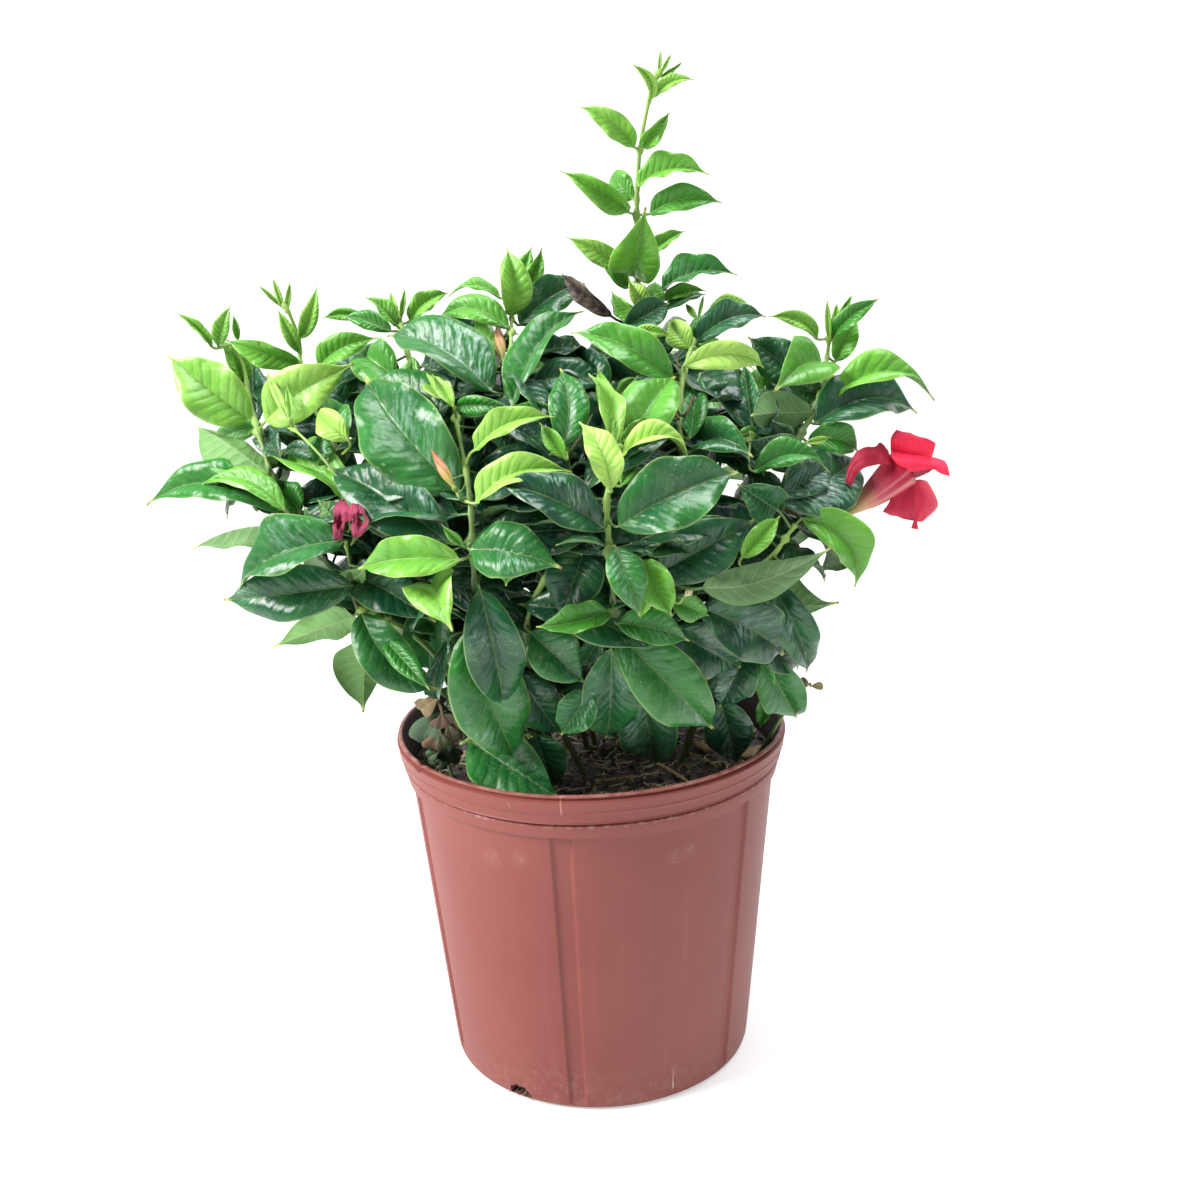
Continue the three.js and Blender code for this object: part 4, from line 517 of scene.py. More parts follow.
class Shell:
    """Points and faces gathered for one piece, in millimetres, with the numbers that its materials read.

    Every point keeps where it is on its part as "part_place", and every face keeps its part's own numbers as
    "part_mark". The faces are closed round every part.
    """

    def __init__(self):
        self.points, self.places = [], []
        self.corners, self.sizes, self.marks, self.slots = [], [], [], []
        self.count = 0

    def add_points(self, points, places):
        first = self.count
        self.points.append(np.asarray(points, float))
        self.places.append(np.asarray(places, float))
        self.count += len(points)
        return first

    def add_faces(self, faces, mark, slot=0):
        """Faces as rows of point numbers; mark is three numbers for them all, or a row of three for each."""
        faces = np.asarray(faces, int)
        self.corners.append(faces.ravel())
        self.sizes.append(np.full(len(faces), faces.shape[1]))
        self.marks.append(np.broadcast_to(np.asarray(mark, float), (len(faces), 3)))
        self.slots.append(np.full(len(faces), slot))

    def loft(self, rings, places, marks, slot=0):
        """A closed skin over rings of points. marks holds three numbers for each point round a ring."""
        count, around = rings.shape[:2]
        first = self.add_points(rings.reshape(-1, 3), places.reshape(-1, 3))
        row, column = np.meshgrid(np.arange(count - 1), np.arange(around), indexing="ij")
        near = first + row * around
        after = (column + 1) % around
        quads = np.stack([near + column, near + after, near + around + after, near + around + column], -1)
        quad_marks = np.broadcast_to(np.asarray(marks, float), (count - 1, around, 3))
        self.add_faces(quads.reshape(-1, 4), quad_marks.reshape(-1, 3), slot)
        ends = [first + np.arange(around)[::-1], first + (count - 1) * around + np.arange(around)]
        self.add_faces(ends, np.asarray(marks, float).reshape(-1, 3)[0], slot)

    def piece(self, name, paints):
        """The finished object, in metres, shaded smooth."""
        mesh = bpy.data.meshes.new(name)
        points = np.concatenate(self.points) * MM
        corners = np.concatenate(self.corners)
        sizes = np.concatenate(self.sizes)
        mesh.vertices.add(len(points))
        mesh.vertices.foreach_set("co", points.ravel())
        mesh.loops.add(len(corners))
        mesh.loops.foreach_set("vertex_index", corners)
        mesh.polygons.add(len(sizes))
        mesh.polygons.foreach_set("loop_start", np.concatenate([[0], np.cumsum(sizes)[:-1]]))
        mesh.polygons.foreach_set("material_index", np.concatenate(self.slots))
        mesh.update(calc_edges=True)
        place = mesh.attributes.new("part_place", "FLOAT_VECTOR", "POINT")
        place.data.foreach_set("vector", np.concatenate(self.places).ravel())
        mark = mesh.attributes.new("part_mark", "FLOAT_VECTOR", "FACE")
        mark.data.foreach_set("vector", np.concatenate(self.marks).ravel())
        for paint in paints:
            mesh.materials.append(paint)
        mesh.shade_smooth()
        return put_in_scene(name, mesh)


def put_in_scene(name, data):
    """A new object that shows some data."""
    made = bpy.data.objects.new(name, data)
    bpy.context.scene.collection.objects.link(made)
    return made


def settle_piece(piece, node):
    """The piece stands for a node of the frame: it hangs under the root, and the node's own part is hidden."""
    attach(piece, "root")
    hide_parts(node)


# ---------------------------------------------------------------- lines and places


def unit(vector):
    return vector / np.linalg.norm(vector)


def square_to(vector, axis):
    """The part of a vector that is square to an axis, made one long."""
    return unit(vector - axis * (vector @ axis))


def place(spot):
    """The point of a place on the sheet, in millimetres."""
    across, down, back = spot
    sight = AHEAD * SHEET + RIGHTWARD * (across - MIDDLE) + UPWARD * (MIDDLE - down)
    x = (across - FRONT_ACROSS) / FRONT_HALF_WIDTH
    y = (down - FRONT_DOWN) / FRONT_HALF_HEIGHT
    depth = back - FRONT_BULGE * max(0, 1 - x * x - y * y)
    return EYE + sight * (depth - EYE[1]) / sight[1]


def on_sheet(point):
    sight = point - EYE
    scale = SHEET / (sight @ AHEAD)
    return MIDDLE + scale * (sight @ RIGHTWARD), MIDDLE - scale * (sight @ UPWARD)


def lying(across, down, height):
    """The point at a height on the sight line through a spot of the sheet."""
    sight = place((across, down, 0)) - EYE
    return EYE + sight * (height - EYE[2]) / sight[2]


def smooth_line(places, per_span):
    """A Catmull-Rom line through the places, with its ends left straight."""
    places = [np.asarray(p, float) for p in places]
    if len(places) == 2:
        return np.array([places[0] + (places[1] - places[0]) * s for s in np.linspace(0, 1, per_span + 1)])
    padded = [2 * places[0] - places[1], *places, 2 * places[-1] - places[-2]]
    line = []
    for a, b, c, d in zip(padded, padded[1:], padded[2:], padded[3:]):
        for s in np.arange(per_span) / per_span:
            bent = 2 * b + (c - a) * s + (2 * a - 5 * b + 4 * c - d) * s ** 2
            line.append(0.5 * (bent + (3 * b - a - 3 * c + d) * s ** 3))
    return np.array([*line, places[-1]])


def directions(line):
    """The way a line goes at each of its points."""
    steps = np.gradient(line, axis=0)
    return steps / np.linalg.norm(steps, axis=1)[:, None]


def carried(line, start):
    """A side direction at each point of a line, carried along it without twisting."""
    ways = directions(line)
    sides = [square_to(start, ways[0])]
    for way in ways[1:]:
        sides.append(square_to(sides[-1], way))
    return ways, np.array(sides)


def nearest(lines, point):
    """The nearest point of several lines."""
    points = np.concatenate(lines)
    return points[np.argmin(np.linalg.norm(points - point, axis=1))]


def scatter(i, k):
    """An even scatter of numbers between 0 and 1."""
    x = i * 0.7548776662 + k * 0.569840291
    return x - math.floor(x)


def ease(value, low, high):
    x = np.clip((value - low) / (high - low), 0, 1)
    return x * x * (3 - 2 * x)


def round_turns(count):
    """Even turns right round, in radians."""
    return np.arange(count) * 2 * math.pi / count


def round_point(radius, turn, height):
    """A point round the pot's middle, with turns from the front towards the right."""
    return radius * math.sin(turn), -radius * math.cos(turn), height


def evenly(line, count):
    """Evenly spaced points of a line of places."""
    share = np.linspace(0, len(line) - 1, count)
    return np.stack([np.interp(share, range(len(line)), line[:, k]) for k in range(3)], -1)


def round_ways(line, turns, start, squash=1.0):
    """For each point of a line, the ways out from it at each turn. squash flattens them one way."""
    ways, firsts = carried(line, np.array(start, float))
    seconds = np.cross(ways, firsts)
    return np.cos(turns)[None, :, None] * firsts[:, None] + squash * np.sin(turns)[None, :, None] * seconds[:, None]


def ring_places(around, along, off=0.0):
    """What the materials read of where each point of a skin is."""
    return np.stack(np.broadcast_arrays(around, along, off), -1)


def node_points(node):
    """The corners of a node of the frame, in millimetres."""
    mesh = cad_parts[node].data
    points = np.empty(len(mesh.vertices) * 3, np.float32)
    mesh.vertices.foreach_get("co", points)
    return points.reshape(-1, 3) / MM


# The finishes of a piece of stems and leaves, by number.
LEAF_SLOT, STEM_SLOT = 0, 1


def add_tube(shell, line, radii, slot=0, *, mark, sides=10, squash=1.0, start=(0.3, 0.5, 0.8)):
    """A round skin along a line. squash flattens it one way; start is the way that its first side turns to."""
    turns = round_turns(sides)
    spread = round_ways(line, turns, start, squash)
    rings = line[:, None] + spread * np.broadcast_to(radii, len(line))[:, None, None]
    run = np.concatenate([[0], np.cumsum(np.linalg.norm(np.diff(line, axis=0), axis=1))])
    places = ring_places(turns[None] / (2 * math.pi), run[:, None], run[:, None] / run[-1])
    shell.loft(rings, places, mark, slot)


# ---------------------------------------------------------------- leaves

# Where the points of a blade's ring stand, from one margin to the other, as shares of the half width.
FINE_STATIONS = (-1, -0.975, -0.88, -0.7, -0.48, -0.26, -0.09, 0, 0.09, 0.26, 0.48, 0.7, 0.88, 0.975, 1)
PLAIN_STATIONS = (-1, -0.94, -0.66, -0.3, 0, 0.3, 0.66, 0.94, 1)
# Rings along a blade.
FINE_RINGS, PLAIN_RINGS, LEAFLET_RINGS, CLOVER_RINGS = 26, 16, 14, 12
# Where a blade narrows to its drip tip, and where its last ring stands, as shares of its length.
NECK, NECK_REACH, BLADE_END = 0.875, 0.036, 0.9985
# The stalk's rings and radius, and half the blade's thickness, in millimetres.
PETIOLE_RINGS, PETIOLE, EDGE = 6, 0.8, 0.32
# The stalk's girth along it and on into the midrib; the midrib's half width and how it stands out above and below; and
# where the tip starts to droop.
STALK_STATIONS, STALK_GIRTHS = (-0.1, -0.06, 0, 0.12, 1), (1.35, 1, 1.05, 0.5, 0.12)
RIB_REACH, RIB_ABOVE, RIB_BELOW = 1.1, 0.35, 0.9
DROOP_FROM = 0.7


def blade_width(t):
    """How wide a leaf is at a share of its length, rounded at the base and drawn out to a narrow drip tip."""
    body = np.clip(np.sin(math.pi * t ** 0.81), 0, 1) ** 0.78 * (1 - 0.28 * ease(t, 0.45, 0.92))
    return body / (1 + np.exp((t - NECK) / NECK_REACH)) + 0.045 * ease(t, 0.5, 0.9)


def leaflet_width(t):
    """A leaflet that is broadest near its blunt end."""
    return np.clip(np.sin(math.pi * t ** 1.4), 0, 1) ** 0.55


def leaf_axes(leaf):
    along = leaf["tip"] - leaf["base"]
    length = np.linalg.norm(along)
    along = along / length
    facing = square_to(leaf["toward"], along)
    across = np.cross(along, facing)
    roll = math.radians(leaf["roll"])
    face = math.cos(roll) * facing + math.sin(roll) * across
    side = math.cos(roll) * across - math.sin(roll) * facing
    return length, along, face, side


def petiole_line(root, base, along):
    """A stalk that leaves the stem towards the blade and runs into the blade's own line."""
    reach = np.linalg.norm(base - root)
    s = np.linspace(0, 1, PETIOLE_RINGS + 1)[:-1, None]
    start = (base - root) * 1.1
    end = along * reach * 0.9
    h1, h2, h3, h4 = 2 * s**3 - 3 * s**2 + 1, s**3 - 2 * s**2 + s, 3 * s**2 - 2 * s**3, s**3 - s**2
    return h1 * root + h2 * start + h3 * base + h4 * end


def add_leaf(shell, leaf, root, rings, stations, width=blade_width):
    """A whole leaf: a round stalk that opens into a folded blade with an upper side and an underside."""
    length, along, face, side = leaf_axes(leaf)
    chance, tone = leaf["chance"], leaf["tone"]
    steps = np.linspace(0, 1, rings)
    t = 0.35 * (0.5 - 0.5 * np.cos(math.pi * steps)) + 0.65 * steps
    t[-1] = BLADE_END
    arch = (4 * t * (1 - t) * length)[:, None]
    blade_line = leaf["base"] + along * (length * t)[:, None] + face * leaf["bow"] * arch + side * leaf["sweep"] * arch
    line = np.concatenate([petiole_line(root, leaf["base"], along), blade_line])
    ways = directions(line)
    bare = len(line) - rings
    sides = np.empty_like(line)
    sides[bare] = square_to(side, ways[bare])
    for i in range(bare - 1, -1, -1):
        sides[i] = square_to(sides[i + 1], ways[i])
    for i in range(bare + 1, len(line)):
        sides[i] = square_to(side, ways[i])
    t = np.concatenate([np.linspace(-0.1, -0.01, bare), t])
    opened = np.clip(t, 0, 1)
    twist = (leaf["twist"] * ease(opened, 0.15, 1.0))[:, None]
    sides = np.cos(twist) * sides + np.sin(twist) * np.cross(sides, ways)
    faces = np.cross(sides, ways)
    half = 0.5 * leaf["width"] * length * width(opened)
    stout = PETIOLE * np.interp(t, STALK_STATIONS, STALK_GIRTHS)
    half = np.where(t < 0, stout, np.maximum(half, stout))
    spread = ease(t, 0.0, 0.1)
    x = np.array([*stations, *stations[-2:0:-1]], float)
    upper = np.array([1.0] * len(stations) + [-1.0] * (len(stations) - 2))
    fold = math.radians(leaf["fold"]) * spread
    far = np.abs(x)[None]
    off = x[None] * half[:, None]
    rise = (np.sqrt(far**2 + 0.012) - 0.11) * np.sin(fold)[:, None]
    rise = rise + 0.12 * np.sin(math.pi * far) * spread[:, None]
    ripple = np.sin(2 * math.pi * (leaf["waves"] * t[:, None] + chance) + 1.3 * np.sign(x)[None])
    rise = rise + leaf["ripple"] * far**3 * ripple * spread[:, None]
    rise = rise + (leaf["cup"] * far**2 - 0.10 * far**4) * spread[:, None]
    lift = rise * half[:, None]
    lift = lift - (leaf["droop"] * np.clip(t - DROOP_FROM, 0, 1) ** 2 * length)[:, None]
    thick = stout[:, None] * (1 - spread[:, None]) + EDGE * spread[:, None]
    thick = thick * np.sqrt(np.clip(1 - x**2, 0, 1))[None]
    rib = (stout * spread)[:, None] * np.exp(-((off / RIB_REACH) ** 2))
    skin = np.where(upper > 0, thick - RIB_ABOVE * rib, -thick - RIB_BELOW * rib)
    outward = off * np.cos(fold)[:, None]
    points = line[:, None] + sides[:, None] * outward[..., None] + faces[:, None] * (lift + skin)[..., None]
    places = ring_places(x[None], t[:, None], off)
    beneath = (np.roll(upper, -1) + upper < 1.5).astype(float)
    beneath[len(stations) - 1] = 1
    marks = np.stack(np.broadcast_arrays(tone, chance, beneath), -1)
    shell.loft(points, places, marks, LEAF_SLOT)


def sheet_leaf(row, step):
    """A leaf of the front from its row, slid back along the sight line by whole steps."""
    base = place((row[0], row[1], row[2] + step * SLIDE_BASE))
    tip = place((row[3], row[4], row[5] + step * SLIDE_TIP))
    return {
        "base": base, "tip": tip, "toward": EYE - (base + tip) / 2,
        "width": row[6], "roll": row[7], "fold": row[8], "bow": row[9], "sweep": row[10],
    }


# Leaves that are shifted from the frame's: their stem and number, the places of their base and tip, and their width
# as a share of the frame's.
LAID = {
    ("low_front_stem", 0): ((469.5, 740.9, 3), (562.2, 800.5, -80), 1),
    ("right_stem", 18): ((781, 501, 18), (857, 456, 18), 1),
    ("left_centre_stem", 1): ((456, 446, 34), (368, 378, 14), 1),
    ("left_centre_stem", 2): ((459, 491, 26), (366, 377, -6), 1),
    ("upper_centre_stem", 5): ((490, 368, 28), (456, 316, 22), 1),
    ("upper_centre_stem", 7): ((512, 406, 26), (584, 310, 6), 0.6),
    ("lower_right_stem", 3): ((703, 588, -10), (833, 547, -20), 0.8),
    ("lower_right_stem", 6): ((778, 560, 6), (839, 602, 0), 1.4),
    ("lower_right_stem", 7): ((768, 578, 14), (807, 673, 0), 0.75),
    ("lower_right_stem", 10): ((670, 630, 24), (742, 668, 14), 0.85),
    ("lower_right_stem", 14): ((762, 655, 18), (797, 719, 4), 0.8),
    ("centre_stem", 18): ((617, 633, 20), (714, 730, -20), 0.9),
}
# Leaves that show their undersides.
TURNED = {("far_left_stem", 7), ("far_left_stem", 12), ("left_centre_stem", 21)}


# How near a tip has to be to a corner of the node to be the same leaf's, in millimetres.
TIP_MATCH = 1.0


def tip_gap(leaf, corners):
    """How far a leaf's tip is from the nearest corner."""
    return np.linalg.norm(corners - leaf["tip"], axis=1).min()


def front_leaf(row, corners):
    """The leaf slid as the frame's node has it: its tip is one of the node's corners."""
    trials = [sheet_leaf(row, step) for step in sorted(range(-SLIDE_STEPS, SLIDE_STEPS + 1), key=abs)]
    gaps = [tip_gap(leaf, corners) for leaf in trials]
    best = int(np.argmin(gaps))
    return trials[best] if gaps[best] < TIP_MATCH else None


# How much more the blades fold and bow than the frame's.
FOLD_MORE, BOW_MORE = 1.6, 1.4


def give_character(leaf, tone, number, settings):
    """Ripples, droop and chance differ a little from leaf to leaf."""
    chance = scatter(number, 5)
    leaf["tone"] = tone
    leaf["chance"] = chance
    leaf["waves"] = 1.6 + 1.8 * scatter(number, 9)
    leaf["ripple"] = settings.ripple * (0.4 + 1.2 * scatter(number, 13))
    leaf["droop"] = settings.droop * scatter(number, 17)
    leaf["twist"] = settings.twist * (2 * scatter(number, 21) - 1)
    leaf["cup"] = settings.cup * (1.5 * scatter(number, 27) - 0.6)
    leaf["fold"] = FOLD_MORE * leaf["fold"] + 3
    leaf["bow"] = BOW_MORE * leaf["bow"] + 0.02
    return leaf


# ---------------------------------------------------------------- stems

# How much a stem swells where a leaf stands on it, and how far from there.
JOINT_SWELL, JOINT_REACH = 0.45, 2.2
# Points on each span of the smooth lines.
STEM_STEPS, SIDE_STEPS, TWIG_STEPS = 8, 6, 5


def rooted_line(x, y, places, per_span):
    top = np.array([x, y, MIX_TOP])
    return np.concatenate([[(x, y, MIX_TOP - BURIED)], smooth_line([top, *places], per_span)])


def front_lines(root, paths):
    """The smooth middle lines of a stem and of its side branches."""
    lines = [rooted_line(*root, [place(p) for p in paths[0]], STEM_STEPS)]
    for path in paths[1:]:
        side = [place(p) for p in path]
        lines.append(smooth_line([nearest(lines, side[0]), *side], SIDE_STEPS))
    return lines


def add_stem(shell, line, foot, top, joints, mark):
    """A tapering stem, a little swollen at the joints that leaves stand on."""
    share = np.linspace(0, 1, len(line))
    radii = foot + (top - foot) * share
    for joint in joints:
        gap = np.linalg.norm(line - joint, axis=1)
        radii = radii * (1 + JOINT_SWELL * np.exp(-((gap / JOINT_REACH) ** 2)))
    add_tube(shell, line, radii, STEM_SLOT, mark=mark)


TWIG_RADII = (0.9, 0.55)
# Dry flower stalks and bare twigs: the stem that carries them, their places, and 1 for dry or 0 for green.
TWIGS = (
    ("upper_right_stem", ((674.3, 413.6, 10), (668.6, 398.7, 8)), 1),
    ("upper_right_stem", ((686.5, 412, 10), (693.8, 395.3, 8)), 1),
    ("upper_right_stem", ((677, 409, 8), (676, 401, 7)), 1),
    ("upper_right_stem", ((679.5, 366, 9), (675.5, 359, 8)), 1),
    ("lower_right_stem", ((719, 600, 22), (737, 590.6, 18), (757.4, 589.3, 16)), 0),
    ("lower_right_stem", ((717, 598, 22), (724, 585.5, 17), (734.4, 580.4, 18)), 0),
)


def grow_stem(name, lines, leaves, paints, fine):
    """One stem with its side branches and leaves, as one piece. The first leaves are made finer than the rest."""
    shell = Shell()
    for stem, spots, dry in TWIGS:
        if stem == name:
            twig = [place(spot) for spot in spots]
            twig = smooth_line([nearest(lines, twig[0]), *twig], TWIG_STEPS)
            add_tube(shell, twig, np.linspace(*TWIG_RADII, len(twig)), STEM_SLOT, sides=8, mark=(0.5, dry, 0))
    roots = [nearest(lines, leaf["base"]) for leaf in leaves]
    for i, line in enumerate(lines):
        sizes = (TRUNK_FOOT, TRUNK_TOP) if i == 0 else (TWIG_FOOT, TWIG_TOP)
        mine = [root for root in roots if np.linalg.norm(line - root, axis=1).min() < 0.01]
        add_stem(shell, line, *sizes, mine, (scatter(i, 3), 0, 0))
    for number, (leaf, root) in enumerate(zip(leaves, roots)):
        rings, stations = (FINE_RINGS, FINE_STATIONS) if number < fine else (PLAIN_RINGS, PLAIN_STATIONS)
        add_leaf(shell, leaf, root, rings, stations)
    return shell.piece(f"{name}_grown", paints)


# The outline of the bush's thick part on the sheet.
THICKET = (
    (222, 470), (245, 405), (300, 385), (345, 350), (420, 330), (500, 335), (600, 318), (700, 335), (780, 350),
    (828, 385), (862, 440), (850, 520), (832, 600), (806, 655), (786, 700), (740, 728), (600, 742), (470, 738),
    (442, 700), (405, 650), (330, 612), (262, 575), (225, 520),
)
# The inner leaves: how far they keep behind the bush's front and over the mix, their lengths and the lengths of their
# stalks in millimetres, and how many are tried on each stem.
INNER_BEHIND, INNER_OVER, INNER_LENGTHS, INNER_STALKS, INNER_TRIES = 16, 12, (46, 82), (7, 14), 90
INNER_SEED = 300


def in_thicket(point):
    """Whether a point lies within the thick of the bush as it shows on the sheet."""
    across, down = on_sheet(point)
    inside = False
    for (x1, y1), (x2, y2) in zip(THICKET, THICKET[1:] + THICKET[:1]):
        if (y1 > down) != (y2 > down) and across < x1 + (down - y1) * (x2 - x1) / (y2 - y1):
            inside = not inside
    return inside


def behind_front(point):
    """How far a point lies behind the bush's rounded front, in millimetres."""
    across, down = on_sheet(point)
    return point[1] - place((across, down, 0))[1]


def inner_leaves(index, lines, settings):
    """Old leaves deep in the bush, standing on the stem behind its outer leaves; their dark tone is partly painted
    shade.
    """
    random = np.random.default_rng(INNER_SEED + index)
    found = []
    for number in range(INNER_TRIES):
        line = lines[0] if random.uniform() < 0.7 else lines[random.integers(len(lines))]
        spot = line[random.integers(len(line) // 5, len(line))]
        turn = random.uniform(0, 2 * math.pi)
        heading = unit(np.array([math.cos(turn), math.sin(turn), random.uniform(-0.5, 0.35)]))
        length = random.uniform(*INNER_LENGTHS)
        base = spot + heading * random.uniform(*INNER_STALKS)
        tip = base + heading * length + np.array([0, 0, -random.uniform(0.1, 0.4) * length])
        inside = all(in_thicket(p) and behind_front(p) > INNER_BEHIND for p in (base, (base + tip) / 2, tip))
        above = min(base[2], tip[2]) > MIX_TOP + INNER_OVER
        if not (inside and above):
            continue
        leaf = {
            "base": base, "tip": tip, "toward": np.array([random.uniform(-0.4, 0.4), -0.6, 0.8]),
            "width": random.uniform(0.44, 0.58), "roll": random.uniform(-35, 35), "fold": 14,
            "bow": 0.08, "sweep": random.uniform(-0.06, 0.06),
        }
        # Painted shade: their low tone darkens them for their place deep in the bush as well as for their age.
        found.append(give_character(leaf, random.uniform(-0.02, 0.18), 900 + 100 * index + number, settings))
        if len(found) == settings.inner:
            break
    return found


def back_stem(i):
    """The line of a stem behind, and the way it leans."""
    turn = math.radians(BACK_FIRST + (BACK_LAST - BACK_FIRST) * i / (BACK_COUNT - 1))
    outward = np.array([math.cos(turn), math.sin(turn), 0])
    reach = BACK_REACH * (BACK_SIDE_SHARE + (1 - BACK_SIDE_SHARE) * max(0, math.sin(turn)))
    height = BACK_LOW_TOP + (BACK_HIGH_TOP - BACK_LOW_TOP) * scatter(i, 3)
    root = outward * BACK_ROOT
    rise = []
    for share, up in BACK_RISE:
        radius = BACK_ROOT + (reach - BACK_ROOT) * share
        rise.append(outward * radius + np.array([0, 0, MIX_TOP + up * height]))
    return outward, root, rise


def bent_point(root, rise, t):
    """A point of the stem's bent line: its corners are at its places and half-way between them."""
    corners = rooted_line(root[0], root[1], rise, 2)
    x = t * (len(corners) - 1)
    i = min(int(x), len(corners) - 2)
    return corners[i] + (corners[i + 1] - corners[i]) * (x - i)


def back_leaf(i, pair, hand, outward, spot):
    key = 2 * pair + hand
    quarter = (0 if pair % 2 else math.pi / 2) + hand * math.pi
    turn = math.atan2(outward[1], outward[0]) + quarter + BACK_WANDER * (scatter(i, key) - 0.5)
    heading = np.array([math.cos(turn), math.sin(turn), BACK_LIFT * (scatter(i, key + 31) - 0.5)])
    heading = unit(heading + outward * BACK_OUTWARD)
    length = BACK_SHORTEST + (BACK_LONGEST - BACK_SHORTEST) * scatter(i, key + 57)
    base = spot + heading * BACK_STALK
    return {
        "base": base,
        "tip": base + heading * length + np.array([0, 0, -BACK_DROOP * length]),
        "toward": np.array([0, 0, 1.0]) + BACK_TILT * outward,
        "width": BACK_SLIM + (BACK_BROAD - BACK_SLIM) * scatter(i, key + 11),
        "roll": BACK_ROLL * (scatter(i, key + 23) - 0.5),
        "fold": BACK_FOLD,
        "bow": BACK_BOW,
        "sweep": BACK_SWEEP * (scatter(i, key + 41) - 0.5),
    }


def back_leaves(i, outward, root, rise, corners, settings):
    """The leaves that the frame's node has: their tips are among its corners."""
    found = []
    for pair in range(BACK_PAIRS):
        spot = bent_point(root, rise, BACK_LOWEST + (1 - BACK_LOWEST) * pair / (BACK_PAIRS - 1))
        for hand in (0, 1):
            leaf = back_leaf(i, pair, hand, outward, spot)
            if tip_gap(leaf, corners) < TIP_MATCH:
                tone = 0.12 + 0.5 * scatter(i, pair) + 0.25 * (pair / BACK_PAIRS)
                found.append(give_character(leaf, tone, 40 * i + 2 * pair + hand, settings))
    return found


# ---------------------------------------------------------------- finishes

VEINS = 10
# The greens by tone. Besides age, the dark end stands for painted shade and the pale end for painted light shining
# through the blade.
LEAF_STOPS = ((0.0, "#0d392c"), (0.2, "#175731"), (0.42, "#2f7f26"), (0.72, "#69ad37"), (1.0, "#b0dc66"))


def leaf_paint(settings):
    """Glossy green with fine pale veins, a pale margin that is partly a painted highlight, mineral specks and patches
    of painted sheen above, and paler and duller below.
    """
    p = Paint("leaf")
    across, along, off = p.mark("part_place")
    tone, chance, beneath = p.mark("part_mark")
    spot = p.spot()
    broad = p.noise(spot, 22, 3)
    fine = p.noise(spot, 260, 4, 0.6)
    far = abs(across)
    hand = across > 0.0
    bent = p.noise(spot, 55, 2)
    phase = along * VEINS - far * 1.9 + far * far * far * 0.5 + hand * 0.43 + chance * 5 + bent * 0.9
    ripple = p.zigzag(phase)
    inside = p.step(far, 0.66, 0.98, 1, 0) * p.step(along, 0.0, 0.06) * p.step(along, 0.78, 0.92, 1, 0)
    vein = p.step(ripple, 0.0, 0.075, 1, 0) * inside
    rib = p.step(abs(off), 0.10, 0.55, 1, 0) * p.step(along, 0.90, 1.0, 1, 0.3)
    # The pale margin is partly the leaf's own edge and partly a painted highlight along it.
    margin = p.step(far, 0.925, 0.98) * p.step(along, 0.02, 0.08)
    # Painted light and shade: besides age, tone darkens leaves in shade and brightens leaves lit through from behind.
    shifted = tone * 0.94 + (broad - 0.5) * 0.26 + (chance - 0.5) * 0.10 + (far - 0.5) * 0.04
    green = p.ramp(shifted, LEAF_STOPS)
    mottled = p.blend(p.step(bent, 0.42, 0.68) * 0.28, green, "#3c8236", "LIGHTEN")
    pale = p.blend(0.6, green, "#c3da84")
    veined = p.blend(vein * (0.07 + 0.16 * tone), mottled, pale)
    ribbed = p.blend(p.math("MAXIMUM", rib * (0.4 + 0.35 * tone), margin * (0.3 + 0.5 * tone)), veined, pale)
    grime = p.step(p.noise(spot, 34, 3, 0.6), 0.46, 0.62)
    specks = p.step(p.noise(spot, 560, 3, 0.75), 0.56, 0.68) * grime * p.step(tone, 0.25, 0.6, 1, 0.15)
    speckled = p.blend(specks * settings.specks * inside, ribbed, "#a9c4ad")
    combed = p.noise(p.vector(phase * 4, far * 3 + hand * 7, chance * 9), 1.0, 4, 0.6)
    # Painted sheen: bluish-white streaks along the veins, mostly on one half of the blade, stand in for broken glossy
    # reflections.
    painted_sheen = p.step(p.noise(spot, 19, 2, 0.5), 0.50, 0.60) * (0.25 + 0.75 * hand)
    painted_sheen = painted_sheen * p.step(combed, 0.44, 0.62) * p.step(tone, 0.15, 0.5, 1, 0.12)
    speckled = p.blend(painted_sheen * inside * settings.painted_sheen, speckled, "#a9cbbd")
    yellowed = p.step(p.noise(spot, 45, 2), 0.66, 0.8) * p.step(chance, 0.6, 0.9)
    top = p.blend(yellowed * 0.35, speckled, "#93a445")
    under = p.blend(0.6, green, settings.under_colour)
    under = p.blend(vein * 0.25 + rib * 0.4, under, "#bcd09a")
    both = p.blend(beneath, top, under)
    burnt = p.step(along + (broad - 0.5) * 0.08, 0.965, 0.99) * p.step(chance, 0.5, 0.62)
    tipped = p.blend(p.step(along, 0.90, 0.97) * 0.75, both, "#c9d27a")
    tipped = p.blend(burnt * 0.8, tipped, "#8a6a3c")
    stalk = p.step(along, -0.005, 0.03, 1, 0)
    stalked = p.blend(stalk, tipped, p.blend(tone, "#3f6a34", "#9dbd62"))
    dead = p.step(tone, -0.2, -0.05, 1, 0)
    colour = p.blend(dead, stalked, p.blend(p.step(fine, 0.35, 0.65), "#2f2a2a", "#6a5c4e"))
    quilt = p.step(ripple, 0.0, 0.36) * inside
    swell = p.noise(spot, 85, 2, 0.4)
    flipped = 1 - beneath * 1.7
    relief = p.bump(swell, 0.0045, 0.6)
    relief = p.bump((quilt * 0.5 + rib * -0.8 + fine * 0.2) * flipped, 0.0009, 0.7, relief)
    gloss = 0.26 + beneath * 0.30 + tone * 0.14 + (broad - 0.5) * 0.2 + fine * 0.08 + dead * 0.35 + specks * 0.2
    sheen = (0.06 + (0.5 - 0.25 * tone) * grime) * (1 - beneath) * (1 - dead)
    return p.finish(
        Base_Color=colour, Roughness=gloss, Normal=relief, Specular_IOR_Level=0.4, Coat_Weight=sheen,
        Coat_Roughness=0.16)


